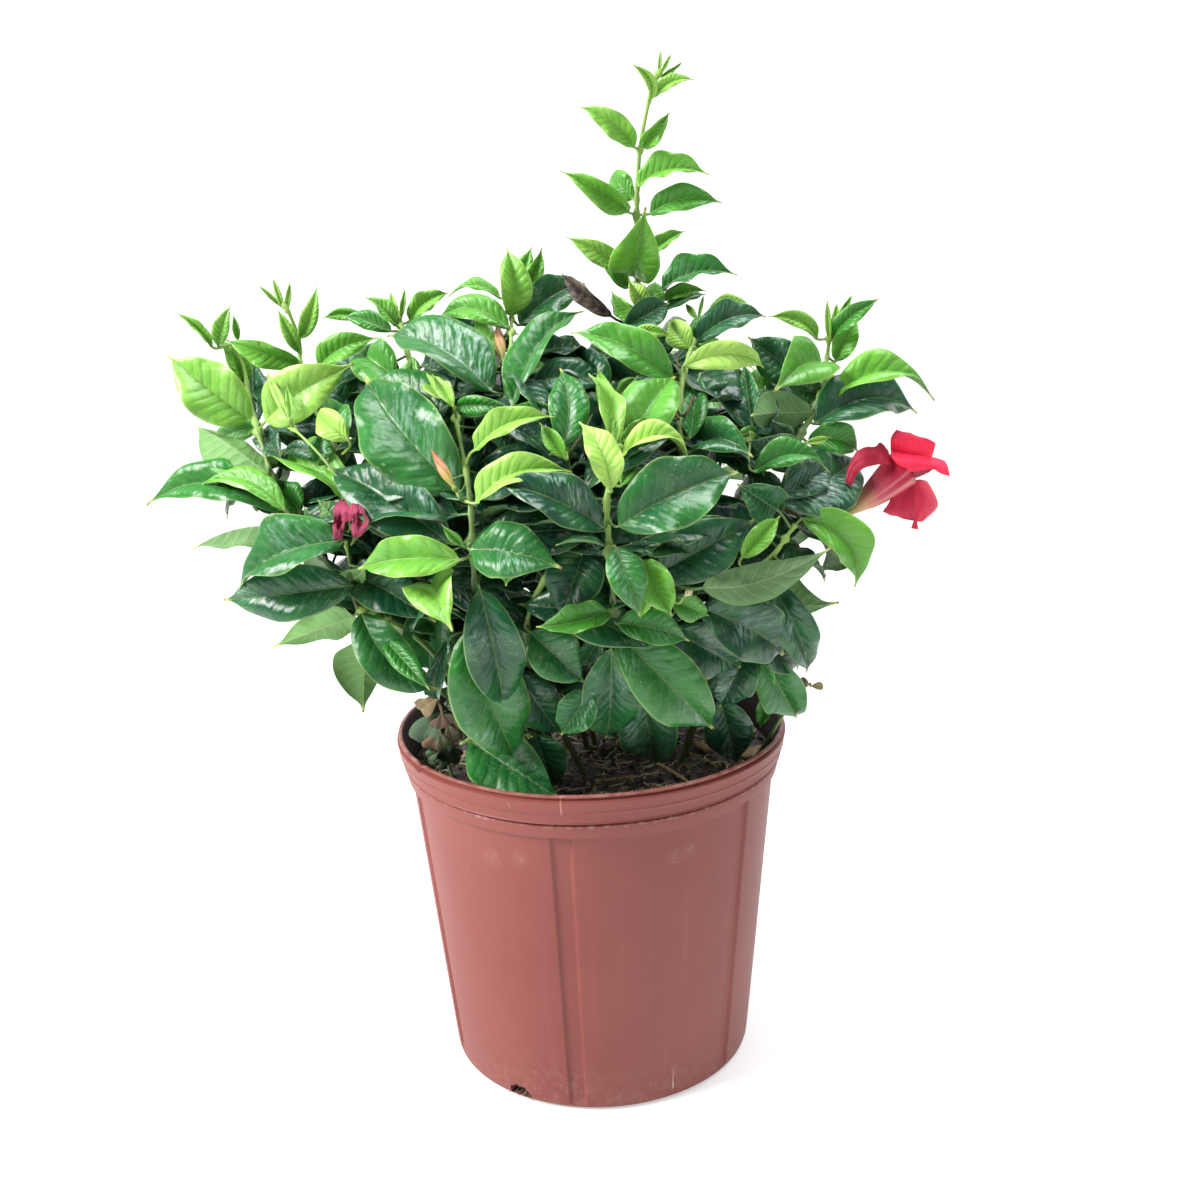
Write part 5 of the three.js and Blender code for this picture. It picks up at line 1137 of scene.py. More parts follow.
def stem_paint(settings):
    """Green young bark with fine lengthwise lines, browner and duller near the mix."""
    p = Paint("stem")
    around, run, share = p.mark("part_place")
    _, dry, _ = p.mark("part_mark")
    spot = p.spot()
    lines = p.noise(p.vector(around * 14, run * 0.05, share), 1.0, 3)
    patches = p.noise(spot, 120, 3)
    green = p.blend(p.step(share, 0.62, 0.98), settings.stem_old, settings.stem_young)
    lined = p.blend(p.step(lines, 0.35, 0.75) * (0.15 + share * 0.3), green, "#b4c77e")
    woody = p.step(share, 0.1, 0.5, 1, 0) * p.step(patches, 0.25, 0.6)
    colour = p.blend(woody * 0.75, lined, "#6b5a3c")
    colour = p.blend(dry, colour, p.blend(lines, "#4a3826", "#8a6a44"))
    relief = p.bump(lines + patches * 0.5, 0.0004, 0.7)
    return p.finish(Base_Color=colour, Roughness=0.42 + patches * 0.25, Normal=relief)


# Pale rubs on the pot's wall: a spot of the sheet and how far they reach, in metres. The mould's seam is at a bearing
# in degrees.
SCUFFS = ((690, 850, 0.009), (675, 857, 0.008), (520, 860, 0.009), (578.8, 1053.5, 0.0022), (492, 858, 0.01))
SEAM_BEARING = -8.8


def pot_paint(settings):
    """Moulded terracotta plastic with a dusty foot, pale scuffs, fine scratches and a worn lip, painted shade in its
    recessed foot, and painted shade and dirt inside.
    """
    p = Paint("pot_plastic")
    spot = p.spot()
    x, y, z = p.parts(spot)
    cloud = p.noise(spot, 9, 4, 0.55)
    grain = p.noise(spot, 900, 2)
    streak = p.noise(p.stretched(spot, (60, 60, 4)), 1.0, 4, 0.6)
    body = p.blend(p.step(cloud, 0.3, 0.75), settings.colour, settings.faded)
    streaked = p.blend(p.step(streak, 0.55, 0.85) * 0.10, body, "#b98478")
    worn = p.step(z, 0.2398, 0.2408) * p.step(p.noise(spot, 120, 3), 0.3, 0.7)
    lipped = p.blend(worn * 0.4, streaked, "#d3a094")
    scratch = p.noise(p.stretched(spot, (420, 420, 40)), 1.0, 2, 0.5, 0.4)
    scuff = p.step(scratch, 0.70, 0.78) * p.step(p.noise(spot, 26, 2), 0.54, 0.66)
    scuffed = p.blend(scuff * 0.7, lipped, "#dfc3b4")
    dust = p.step(z + (cloud - 0.5) * 0.05, 0.0, 0.05, 1, 0) * p.step(p.noise(spot, 160, 4, 0.65), 0.42, 0.7)
    dusty = p.blend(dust * 0.3, scuffed, "#a8887a")
    specks = p.step(p.noise(spot, 340, 2), 0.72, 0.78)
    speckled = p.blend(specks * 0.4, dusty, "#6b3c34")
    for across, down, reach in SCUFFS:
        gap = p.node("ShaderNodeVectorMath", {"operation": "DISTANCE"}, {0: spot, 1: on_wall(across, down) * MM}, 1)
        rubbed = p.step(gap, 0, reach, 1, 0) * p.step(p.noise(spot, 900, 4, 0.8), 0.45, 0.7)
        speckled = p.blend(rubbed * 0.35, speckled, "#d8b5a8")
    seam_turn = math.radians(SEAM_BEARING)
    aside = abs(x * math.cos(seam_turn) + y * math.sin(seam_turn))
    seam = p.step(aside, 0.0002, 0.0007, 1, 0) * p.step(y, -0.02, -0.01, 1, 0) * p.step(z, 0.2275, 0.2285)
    speckled = p.blend(seam * 0.5, speckled, "#d39a8c")
    ledge = p.step(z, 0.2165, 0.2192) * p.step(z, 0.2196, 0.2203, 1, 0) * p.step(p.noise(spot, 210, 4, 0.7), 0.48, 0.66)
    speckled = p.blend(ledge * 0.5, speckled, "#b99a93")
    # Painted shade: the recessed foot, below about 2 mm, is darkened to near black-brown.
    speckled = p.blend(p.step(z, 0.0016, 0.0024, 0.8, 0), speckled, "#33221f")
    # Painted shade and dirt: the inside of the pot is darkened almost to black.
    inner, _, _ = p.mark("part_mark")
    colour = p.blend(inner * 0.9, speckled, "#241c22")
    gloss = 0.40 + cloud * 0.14 + dust * 0.2 + scuff * 0.15
    relief = p.bump(grain * 0.4 + p.noise(spot, 45, 3) * 1.2 - scuff * 0.3, 0.0005, 0.35)
    return p.finish(Base_Color=colour, Roughness=gloss, Normal=relief, Specular_IOR_Level=0.45)


def mix_paint():
    """Dark moist peat with brown bark crumbs and a few pale grains."""
    p = Paint("potting_mix")
    spot = p.spot()
    kind, chance, _ = p.mark("part_mark")
    crumbs = p.noise(spot, 240, 5, 0.7)
    clods = p.cells(spot, 180)
    soil = p.blend(p.step(crumbs, 0.35, 0.75), "#38353b", "#7b7070")
    soil = p.blend(p.step(crumbs, 0.6, 0.74) * 0.8, soil, "#beb0a2")
    bark = p.blend(p.step(chance + (crumbs - 0.5) * 0.6, 0.1, 1), "#2a2322", "#b59c82")
    fibre = p.blend(p.step(chance, 0.3, 1), "#55483f", "#ecdcbc")
    colour = p.blend(p.step(kind, 0.4, 0.6), soil, bark)
    colour = p.blend(p.step(kind, 1.4, 1.6), colour, fibre)
    relief = p.bump(crumbs + clods * 0.6, 0.002, 0.9)
    return p.finish(Base_Color=colour, Roughness=0.72 + crumbs * 0.25, Normal=relief)


def petal_paint(settings):
    """Satin crimson with lengthwise nerves; the tube pales to olive-tan at its foot."""
    p = Paint("petals")
    across, along, _ = p.mark("part_place")
    kind, shade, chance = p.mark("part_mark")
    spot = p.spot()
    cloud = p.noise(spot, 60, 3)
    nerves = p.noise(p.vector(across * 9, along * 0.8, chance * 7), 1.0, 3, 0.6)
    petal = p.blend(shade, settings.deep, settings.bright)
    petal = p.blend(p.step(nerves, 0.45, 0.8) * 0.35, petal, "#a81438")
    petal = p.blend(p.step(cloud, 0.5, 0.8) * 0.25, petal, "#ff5878")
    tube = p.ramp(along, (
        (0.0, "#8f8a4a"), (0.2, "#c3ae66"), (0.36, "#dfa883"), (0.55, "#cf5a68"), (0.8, "#c42a4c"), (1.0, "#b81c40"),
    ))
    stripe = p.step(p.noise(p.vector(across * 13, along * 0.35, 2.0), 1.0, 2, 0.5), 0.5, 0.72)
    tube = p.blend(stripe * 0.55, tube, "#f0b0a6")
    colour = p.blend(kind, petal, tube)
    relief = p.bump(nerves + cloud * 0.5, 0.0006, 0.6)
    return p.finish(Base_Color=colour, Roughness=0.48 + cloud * 0.15, Normal=relief, Specular_IOR_Level=0.35)


def plain_paint(name, dark, light, scale, rough, depth, hair):
    """A natural finish that varies between two colour codes, with a relief of the same grain. hair is the share of it
    that runs along the piece.
    """
    p = Paint(name)
    across, along, _ = p.mark("part_place")
    _, chance, _ = p.mark("part_mark")
    spot = p.spot()
    grain = p.noise(spot, scale, 5, 0.62)
    lines = p.noise(p.vector(across * 10, along * 0.12, chance * 9), 1.0, 4, 0.6)
    mixed = grain * (1 - hair) + lines * hair
    colour = p.blend(p.step(mixed + (chance - 0.5) * 0.25, 0.3, 0.72), dark, light)
    colour = p.blend(p.step(grain, 0.62, 0.78) * 0.4, colour, tuple(c * 0.45 for c in linear(dark)))
    relief = p.bump(mixed, depth, 0.8)
    return p.finish(Base_Color=colour, Roughness=rough + (grain - 0.5) * 0.2, Normal=relief)


# ---------------------------------------------------------------- pot

# The wall's outline from the foot up to the lip, then down the inside, as (radius, height).
POT_OUTSIDE = (
    (102.6, 0.0), (102.9, 0.4), (103.0, 1.8), (105.0, 2.0), (105.9, 2.6), (106.4, 4.5), (106.9, 9.0), (107.2, 12.0),
    (107.6, 16.0), (110.5, 46.0), (115.3, 97.0), (120.1, 148.0), (124.7, 196.0), (125.2, 201.5), (125.6, 206.0),
    (125.9, 209.3), (126.2, 210.0), (127.8, 210.3), (128.5, 210.7), (128.7, 211.3), (128.9, 212.4), (129.5, 215.0),
    (129.9, 217.8), (129.8, 218.8), (129.2, 219.5), (128.3, 219.9), (127.8, 220.3), (128.2, 220.6), (130.0, 220.8),
    (131.2, 221.1), (131.5, 221.6), (131.2, 222.1), (131.3, 223.0), (131.7, 226.0), (132.0, 228.1), (132.3, 228.6),
    (133.2, 228.9), (133.5, 229.4), (133.3, 229.9), (133.3, 230.5), (133.8, 233.0), (134.4, 235.8), (134.6, 236.6),
    (134.4, 237.2), (133.7, 237.6), (132.6, 237.9), (131.9, 238.3), (131.9, 238.9), (132.9, 239.3), (133.5, 239.9),
    (133.5, 240.6), (132.9, 241.1), (132.1, 241.3), (131.2, 241.1), (130.6, 240.4),
)
POT_INSIDE = (
    (130.1, 238.6), (127.6, 230.2), (127.0, 228.6), (125.4, 220.8), (124.4, 214.0), (123.6, 210.3), (118.0, 155.0),
    (110.0, 76.0), (103.2, 9.0), (102.3, 4.2), (100.6, 3.0),
)
POT_TOP, POT_SIDES = 241.3, 216
# The channels: their bearings in degrees, and in millimetres their width, depth, the wall's radius that the width is
# taken at, their foot and top, how soon above the foot they are at full depth, and where their edges are drawn finer.
CHANNELS, CHANNEL_WIDTH, CHANNEL_DEPTH, CHANNEL_RADIUS = [-10 + 360 * i / 6 for i in range(6)], 12, 2.0, 117
CHANNEL_FOOT, CHANNEL_TOP, CHANNEL_RUN = 4, 209.6, 5
CHANNEL_EDGES = (-7.2, -6.7, -6.2, -5.7, -5.2, -4.7, -4.2, 4.2, 4.7, 5.2, 5.7, 6.2, 6.7, 7.2)
# The drains: their bearings, width and height, how high their sills are, and the two radii they are cut between.
DRAINS, DRAIN_WIDTH, DRAIN_HEIGHT, DRAIN_SILL, DRAIN_CUT = (-33, 82, 202), 17, 11, 2.3, (96, 125)
# The nick in the lip: its spot on the sheet, the lip's radius, its reach, its foot, how deep it goes and how far in.
NICK, LIP_RADIUS, NICK_REACH, NICK_FOOT, NICK_DEPTH, NICK_INWARD = (424, 762), 133, 2.6, 236, 2.4, 1.2
# Edges sharper than these degrees stay sharp.
POT_SMOOTH, MIX_SMOOTH = 32, 50


def bearing_of(x, y):
    """Degrees from the front, positive to the right."""
    return math.degrees(math.atan2(x, -y))


def wrapped(degrees):
    """Degrees brought between -180 and 180."""
    return (degrees + 180) % 360 - 180


def pot_bearings():
    """Even bearings with extra ones along the channels' edges."""
    bearings = list(np.linspace(-180, 180, POT_SIDES, endpoint=False))
    for middle in CHANNELS:
        bearings += [wrapped(middle + math.degrees(edge / CHANNEL_RADIUS)) for edge in CHANNEL_EDGES]
    return np.array(sorted(set(round(b, 4) for b in bearings)))


def channel_depth(bearings, z):
    """How far the wall is pressed in at each bearing and height."""
    depth = 0
    for middle in CHANNELS:
        off = np.abs(np.radians(wrapped(bearings - middle)) * CHANNEL_RADIUS)
        depth = depth + 1 - ease(off, CHANNEL_WIDTH / 2 - 1.5, CHANNEL_WIDTH / 2 + 1.0)
    return CHANNEL_DEPTH * depth * ease(z, CHANNEL_FOOT, CHANNEL_FOOT + CHANNEL_RUN) * (z < CHANNEL_TOP)


def pot_rings(settings):
    bearings = pot_bearings()
    turns = np.radians(bearings)
    nick = lying(*NICK, POT_TOP)
    nick_gap = np.radians(wrapped(bearings - bearing_of(nick[0], nick[1]))) * LIP_RADIUS
    rings = []
    outline = [(radius, z, True) for radius, z in POT_OUTSIDE] + [(radius, z, False) for radius, z in POT_INSIDE]
    for radius, z, outside in outline:
        high = (z / POT_TOP) ** 4
        radii = radius + high * settings.wobble * (0.6 * np.sin(2 * turns + 0.8) + 0.35 * np.sin(5 * turns + 2.1))
        heights = z + high * settings.wobble * (0.5 * np.sin(3 * turns + 0.4) + 0.25 * np.sin(8 * turns + 1.0))
        if outside:
            radii = radii - channel_depth(bearings, z)
        bite = np.exp(-((nick_gap / NICK_REACH) ** 2)) * (z > NICK_FOOT)
        heights = heights - NICK_DEPTH * bite
        radii = radii - (NICK_INWARD * bite if outside else 0)
        rings.append(np.stack([radii * np.sin(turns), -radii * np.cos(turns), heights], -1))
    return np.array(rings)


def on_wall(across, down):
    """The point where the sight line through a spot of the sheet meets the pot's outside."""
    radii, heights = np.array(POT_OUTSIDE).T
    sight = place((across, down, 0)) - EYE
    for reach in np.linspace(0.7, 1.2, 4000):
        point = EYE + sight * reach
        if math.hypot(point[0], point[1]) <= np.interp(point[2], heights, radii):
            return point
    raise ValueError(f"no wall at {across}, {down}")


def cut_drains(piece):
    """Openings through the foot of the wall."""
    for number, bearing in enumerate(DRAINS):
        turn = math.radians(bearing)
        shape = Shell()
        way = np.array([math.sin(turn), -math.cos(turn), 0])
        side = np.array([math.cos(turn), math.sin(turn), 0])
        outline = []
        for step, angle in enumerate(np.linspace(0, math.pi, 17)):
            ragged = 1 + 0.16 * (scatter(step, 7 + number) - 0.5)
            across = DRAIN_WIDTH / 2 * math.cos(angle) * ragged
            up = DRAIN_HEIGHT * (0.3 + 0.7 * math.sin(angle) ** 0.7) * ragged
            outline.append(side * across + np.array([0, 0, up]))
        outline += [side * hand * DRAIN_WIDTH / 2 + np.array([0, 0, DRAIN_SILL]) for hand in (-1, 1)]
        rings = np.array([[way * reach + p for p in outline] for reach in DRAIN_CUT])
        shape.loft(rings, np.zeros_like(rings), (0, 0, 0))
        cutter = shape.piece(f"drain_{number}", [])
        cut = piece.modifiers.new("drain", "BOOLEAN")
        cut.operation, cut.solver, cut.object = "DIFFERENCE", "EXACT", cutter
        apply_modifiers(piece)
        bpy.data.objects.remove(cutter)


def apply_modifiers(piece):
    """The mesh as its modifiers leave it."""
    made = bpy.data.meshes.new_from_object(piece.evaluated_get(bpy.context.evaluated_depsgraph_get()))
    piece.modifiers.clear()
    old, piece.data = piece.data, made
    bpy.data.meshes.remove(old)


def build_pot(settings):
    shell = Shell()
    rings = pot_rings(settings)
    # The inside's faces are marked so that their paint darkens them with painted shade and dirt.
    inside = (np.arange(len(rings) - 1) >= len(POT_OUTSIDE) - 2).astype(float)
    shell.loft(rings, rings, inside[:, None, None] * np.array([1.0, 0, 0]))
    piece = shell.piece("pot_shell", [pot_paint(settings)])
    cut_drains(piece)
    smooth_by_angle(piece, POT_SMOOTH)
    return piece


def smooth_by_angle(piece, degrees):
    piece.data.shade_smooth()
    piece.data.set_sharp_from_angle(angle=math.radians(degrees))


# ---------------------------------------------------------------- potting mix

# Each layer of the mix's unevenness: how fine it is, where its noise starts, and its height in millimetres.
MIX_LAYERS = ((0.028, 0, 2.2), (0.09, 7, 1.6), (0.31, 3, 1.1))
MIX_SEED, MIX_START, MIX_SIDES, MIX_RADII = 11, 1.5, 150, (0.6, *np.linspace(2.5, 123.6, 52))
# The mix's side from its edge down to its foot, as (radius, height).
MIX_SIDE = ((123.9, 212), (122.8, 206), (102.9, 10), (102.0, 5), (100.4, 3.4))
# What a face of the mix is.
SOIL, BARK, FIBRE = 0, 1, 2
# How far out crumbs and fibres are strewn, and between which sizes, lengths and radii.
CRUMB_REACH, CRUMB_SIZES = 120, (1.2, 3.6)
FIBRE_REACH, FIBRE_LENGTHS, FIBRE_RADII, FIBRE_SIDES = 112, (10, 26), (0.25, 0.55), 5


def uneven(x, y):
    """Lumps of the mix's surface, in millimetres."""
    layers = [high * noise.noise(Vector((x * fine, y * fine, MIX_START + start))) for fine, start, high in MIX_LAYERS]
    return layers[0] + layers[1] + layers[2]


def mix_surface(settings):
    """Rings over the lumpy top and down the sides to the foot."""
    turns = round_turns(MIX_SIDES)
    rings = []
    for radius in MIX_RADII:
        spots = [round_point(radius, turn, 0) for turn in turns]
        rings.append([(x, y, MIX_TOP - 1.2 + uneven(x, y) * settings.lumps) for x, y, _ in spots])
    for radius, z in MIX_SIDE:
        rings.append([round_point(radius, turn, z) for turn in turns])
    return np.array(rings)


def add_crumb(shell, random, spot, size):
    """A chip of bark: a rough six-sided block, narrower at its ends and never twice the same."""
    axes, _ = np.linalg.qr(random.normal(size=(3, 3)))
    if np.linalg.det(axes) < 0:
        axes[2] *= -1
    sizes = size * np.array([1, random.uniform(0.35, 0.75), random.uniform(0.15, 0.4)])
    rings = []
    for along, girth in ((-1, 0.55), (-0.45, 1), (0.4, 0.95), (1, 0.5)):
        ring = []
        for turn in round_turns(6):
            corner = np.array([along, girth * math.cos(turn), girth * math.sin(turn)])
            corner = corner * (1 + random.uniform(-0.16, 0.16))
            ring.append(spot + (corner * sizes) @ axes)
        rings.append(ring)
    rings = np.array(rings)
    shell.loft(rings, rings, (BARK, random.uniform(), 0))


def add_fibre(shell, random, x, y, length, radius):
    turn = random.uniform(0, 2 * math.pi)
    bend = random.uniform(-1.6, 1.6)
    points = []
    for s in np.linspace(-0.5, 0.5, 9):
        way = turn + bend * s
        px, py = x + length * s * math.cos(way), y + length * s * math.sin(way)
        up = 1.2 + 2.2 * (0.25 - s * s) * random.uniform(0.4, 1.6)
        points.append((px, py, MIX_TOP - 1.0 + uneven(px, py) + up))
    radii = radius * np.array([0.4, 1, 1, 1.1, 1, 1.1, 1, 0.9, 0.3])
    add_tube(shell, np.array(points), radii, sides=FIBRE_SIDES, mark=(FIBRE, random.uniform(), 0))


# The part of the mix that is strewn with husks: its bearing and how far it spreads, in degrees, and how near and far
# it lies; then the husks' lengths and radii.
HUSK_BEARING, HUSK_SPREAD, HUSK_FROM_TO, HUSK_LENGTHS, HUSK_RADII = 9, 17, (78, 119), (3, 9), (0.3, 0.75)


ROOT_RADIUS = 100.5


def add_root(shell, random, bearing):
    """A fine root that shows in a drain and bends along the foot of the pot."""
    turn = math.radians(bearing + random.uniform(-4.2, 4.2))
    rise, bend, reach = random.uniform(2.6, 8.5), random.uniform(-0.035, 0.035), random.uniform(3, 6.5)
    points = []
    for s in np.linspace(0, 1, 7):
        points.append(round_point(ROOT_RADIUS + reach * s, turn + bend * s * s, max(1.0, rise - 3.0 * s * s)))
    radii = random.uniform(0.25, 0.5) * np.linspace(1, 0.4, 7)
    add_tube(shell, np.array(points), radii, sides=FIBRE_SIDES, mark=(FIBRE, random.uniform(0, 0.7), 0))


def build_mix(settings):
    random = np.random.default_rng(MIX_SEED)
    shell = Shell()
    rings = mix_surface(settings)
    shell.loft(rings, rings, (SOIL, 0, 0))
    for _ in range(settings.crumbs):
        radius, turn = CRUMB_REACH * math.sqrt(random.uniform()), random.uniform(0, 2 * math.pi)
        x, y = radius * math.cos(turn), radius * math.sin(turn)
        size = random.uniform(*CRUMB_SIZES)
        spot = np.array([x, y, MIX_TOP - 1.4 + uneven(x, y) + 0.4 * size])
        add_crumb(shell, random, spot, size)
    for _ in range(settings.fibres):
        radius, turn = FIBRE_REACH * math.sqrt(random.uniform()), random.uniform(0, 2 * math.pi)
        add_fibre(shell, random, radius * math.cos(turn), radius * math.sin(turn), random.uniform(*FIBRE_LENGTHS),
                  random.uniform(*FIBRE_RADII))
    for _ in range(settings.husks):
        turn = math.radians(random.normal(HUSK_BEARING, HUSK_SPREAD))
        x, y, _ = round_point(random.uniform(*HUSK_FROM_TO), turn, 0)
        add_fibre(shell, random, x, y, random.uniform(*HUSK_LENGTHS), random.uniform(*HUSK_RADII))
    for bearing in DRAINS:
        for _ in range(settings.roots):
            add_root(shell, random, bearing)
    piece = shell.piece("mix_bed", [mix_paint()])
    smooth_by_angle(piece, MIX_SMOOTH)
    return piece


# ---------------------------------------------------------------- weeds

WEEDS = (
    ("weed_left", (-93, -52), (
        ((446, 752, 26), (447, 730, 26), (438, 700, 26)),
        ((440, 757, 10), (438, 750, 6)),
    ), (
        (446, 712, 24, 425, 744, 12, 0.6, 0, 10, 0.1, 0.1, 0.2),
        (442, 713, 10, 441, 728, 4, 0.8, 0, 10, 0.1, 0, 0.75),
        (448, 724, 14, 455, 743, 6, 0.8, 0, 10, 0.1, 0, 0.6),
        (439, 732, 6, 431, 748, 0, 0.7, 0, 10, 0.1, 0, 0.85),
        (440, 732, 4, 444, 748, -3, 0.7, 0, 10, 0.1, 0, 0.5),
        (439, 752, 4, 428, 758, 0, 0.9, 0, 10, 0.1, 0, 0.3),
        (438, 698, 14, 421, 710, 10, 0.6, 0, 10, 0.1, 0, 0.9),
    )),
    ("weed_right", (107, -40), (
        ((797, 693, 8), (810, 684, 6)),
    ), (
        (804, 687, 4, 803, 677, 2, 0.6, 0, 10, 0.1, 0, 0.9),
        (811, 686, 6, 823, 686, 4, 0.6, 0, 10, 0.1, 0, 1.0),
    )),
)
# More leaflets of the left weed, in threes on thin stalks: the place they stand on, their length on the sheet, the way
# the first one points in degrees, and their tone.
CLOVERS = (
    ((441, 746, 20), 12, 20, 0.3), ((440, 759, 14), 12, 75, 0.2), ((450, 757, 18), 11, -30, 0.38),
    ((442, 728, 20), 11, 90, 0.8), ((452, 727, 22), 13, 60, 0.66),
)


CLOVER_STALK = 0.32
WEED_FOOT, WEED_BRANCH_FOOT, WEED_TOP = 1.7, 0.9, 0.7


def weed_paint():
    """Small dull leaflets, from blue-green to red-brown."""
    p = Paint("weed_leaf")
    _, _, off = p.mark("part_place")
    tone, _, beneath = p.mark("part_mark")
    cloud = p.noise(p.spot(), 130, 3)
    colour = p.ramp(tone + (cloud - 0.5) * 0.2, (
        (0.0, "#2f5245"), (0.3, "#56704f"), (0.6, "#5d5a42"), (0.8, "#6d4c42"), (1.0, "#8f8652"),
    ))
    rib = p.step(abs(off), 0.1, 0.5, 1, 0)
    colour = p.blend(rib * 0.35, colour, "#b8b886")
    colour = p.blend(beneath * 0.4, colour, "#8fa089")
    relief = p.bump(cloud - rib, 0.0005, 0.6)
    return p.finish(Base_Color=colour, Roughness=0.55 + cloud * 0.2, Normal=relief)


def add_clovers(shell, lines, settings):
    """Leaflets in threes, each three on its own thin stalk."""
    for number, (spot, length, first, tone) in enumerate(CLOVERS):
        middle = place(spot)
        start = nearest(lines, middle)
        stalk = smooth_line([start, (start + middle) / 2 + (0, 0, 2), middle], TWIG_STEPS)
        add_tube(shell, stalk, CLOVER_STALK, STEM_SLOT, sides=6, mark=(0.5, 0, 0))
        for third in range(3):
            turn = math.radians(first + 120 * third)
            tip = (spot[0] + length * math.cos(turn), spot[1] - length * math.sin(turn), spot[2] - 5)
            leaf = sheet_leaf((*spot, *tip, 0.95, 0, 16, 0.05, 0), 0)
            give_character(leaf, tone, 500 + 3 * number + third, settings)
            leaf.update(fold=6, twist=0.0, cup=0.05, droop=0.0, ripple=0.0)
            add_leaf(shell, leaf, middle, CLOVER_RINGS, PLAIN_STATIONS, leaflet_width)


def build_weed(plan, settings):
    name, root, paths, rows = plan
    shell = Shell()
    lines = front_lines(root, paths)
    for i, line in enumerate(lines):
        foot = WEED_FOOT if i == 0 else WEED_BRANCH_FOOT
        add_stem(shell, line, foot, WEED_TOP, [], (scatter(i, 3), 0, 0))
    for number, row in enumerate(rows):
        leaf = front_leaf(row, node_points(name)) or sheet_leaf(row, 0)
        give_character(leaf, row[11], number + 400, settings)
        leaf.update(fold=8, twist=0.2, cup=0.1)
        add_leaf(shell, leaf, nearest(lines, leaf["base"]), LEAFLET_RINGS, PLAIN_STATIONS, leaflet_width)
    if name == "weed_left":
        add_clovers(shell, lines, settings)
    return shell.piece(f"{name}_plant", [weed_paint(), stem_paint(settings)])


# ---------------------------------------------------------------- flowers and buds

FLOWER_FOOT, FLOWER_THROAT = (838.5, 519.6, 24), (901, 470, -4)
# The tube from foot to throat, as (share of the way, radius). It sags, its throat is fluted, and its wall turns back
# in and is shut some rings from the foot.
TUBE_PROFILE = (
    (0.0, 1.8), (0.05, 1.9), (0.14, 2.1), (0.22, 2.9), (0.32, 4.4), (0.45, 6.9), (0.6, 8.9), (0.75, 10.4),
    (0.88, 11.5), (0.96, 12.0), (1.0, 12.3),
)
TUBE_SIDES, TUBE_SAG, TUBE_FLUTES, TUBE_FLUTE_DEPTH, TUBE_WALL, TUBE_SHUT = 40, 1.6, 5, 0.07, 0.6, 3
# Each petal: its shade from 0, deep, to 1, bright, how far it swells, and lines of places across it from its foot to
# its edge.
PETALS = (
    (1.0, 1.2, (
        ((890.8, 454.5, -5), (905, 457.5, -12), (918, 460, -17), (930.5, 462, -20)),
        ((890.6, 439.5, -16), (905, 442.5, -22), (920, 446, -27), (934.6, 448, -27)),
        ((893, 434, -19), (905, 437, -24), (920, 441, -28), (935, 443, -28)),
        ((896.4, 429.7, -21), (907, 432.8, -24), (919, 436.6, -27), (927.5, 438.2, -28)),
    )),
    (0.95, 1.0, (
        ((890.8, 450.5, -9), (905, 453, -17), (920, 455.3, -23), (934, 457.3, -27), (945.1, 461, -33)),
        ((892, 457, -18), (905, 461, -26), (920, 463, -30), (935, 464, -32), (947.7, 466.5, -36)),
        ((896.4, 463.9, -19), (905, 467.7, -25), (914, 472, -27), (932, 469, -30), (940, 473.3, -34),
         (949.8, 476.4, -38)),
    )),
    (0.12, 1.6, (
        ((888.5, 451, -9), (890, 457, -13), (893.8, 463.6, -12)),
        ((883.6, 444.6, -11), (884, 455, -14), (885, 464, -13)),
        ((879.3, 442.4, -12), (879, 454, -12), (879.3, 464.3, -12)),
        ((875.4, 446.6, -9), (874, 456, -12), (873, 465.6, -11)),
        ((865.6, 446.8, -6), (865, 457, -11), (864.8, 467.7, -10)),
        ((856, 452, -4), (858, 462, -9), (860, 471, -9)),
        ((851, 461, -3), (854, 466, -8), (857.5, 473.5, -8)),
        ((847, 471, -4), (851, 474, -7), (855, 477.5, -7)),
        ((845.1, 481.4, -5), (848.5, 483.5, -7), (852.6, 486, -7)),
    )),
    (0.35, 1.6, (
        ((903.2, 486.5, -6), (908, 484, -9), (912.2, 482, -10)),
        ((893.8, 493.3, -3), (904, 490, -9), (914.5, 489, -13)),
        ((887.8, 504.5, 0), (901, 503, -7), (914, 498, -13)),
        ((883.2, 510.7, 2), (898, 513, -4), (915, 508, -12)),
        ((884, 512.6, 3), (900.6, 518.6, 0), (916, 521, -9)),
    )),
    (0.6, -1.8, (
        ((909.5, 482, -5), (918, 480.4, -2), (927, 481.2, 4)),
        ((910.5, 489, -8), (921, 488, -6), (930.3, 486, 3)),
        ((910.5, 498, -8), (925, 498, -5), (936.8, 499, 6)),
        ((911.5, 509, -6), (925, 510, -4), (936.6, 508.7, 5)),
        ((913.5, 521, -4), (919, 521.8, -4), (924, 521, -1)),
    )),
    (0.5, 0.4, (
        ((914.2, 520, -8), (917, 520.5, -8)), ((912.6, 524, -9), (917.4, 524, -8)),
        ((911.3, 528.4, -8), (918.6, 529.7, -7)),
    )),
    (0.0, 1.2, (
        ((912, 469, -14), (911, 480, -4)), ((923, 468.5, -11), (920, 476.5, -3)), ((933, 467.5, -10), (929, 471.8, -5)),
    )),
)


PETAL_STEPS = 6
# What a face of a flower is.
PETAL, TUBE = 0, 1


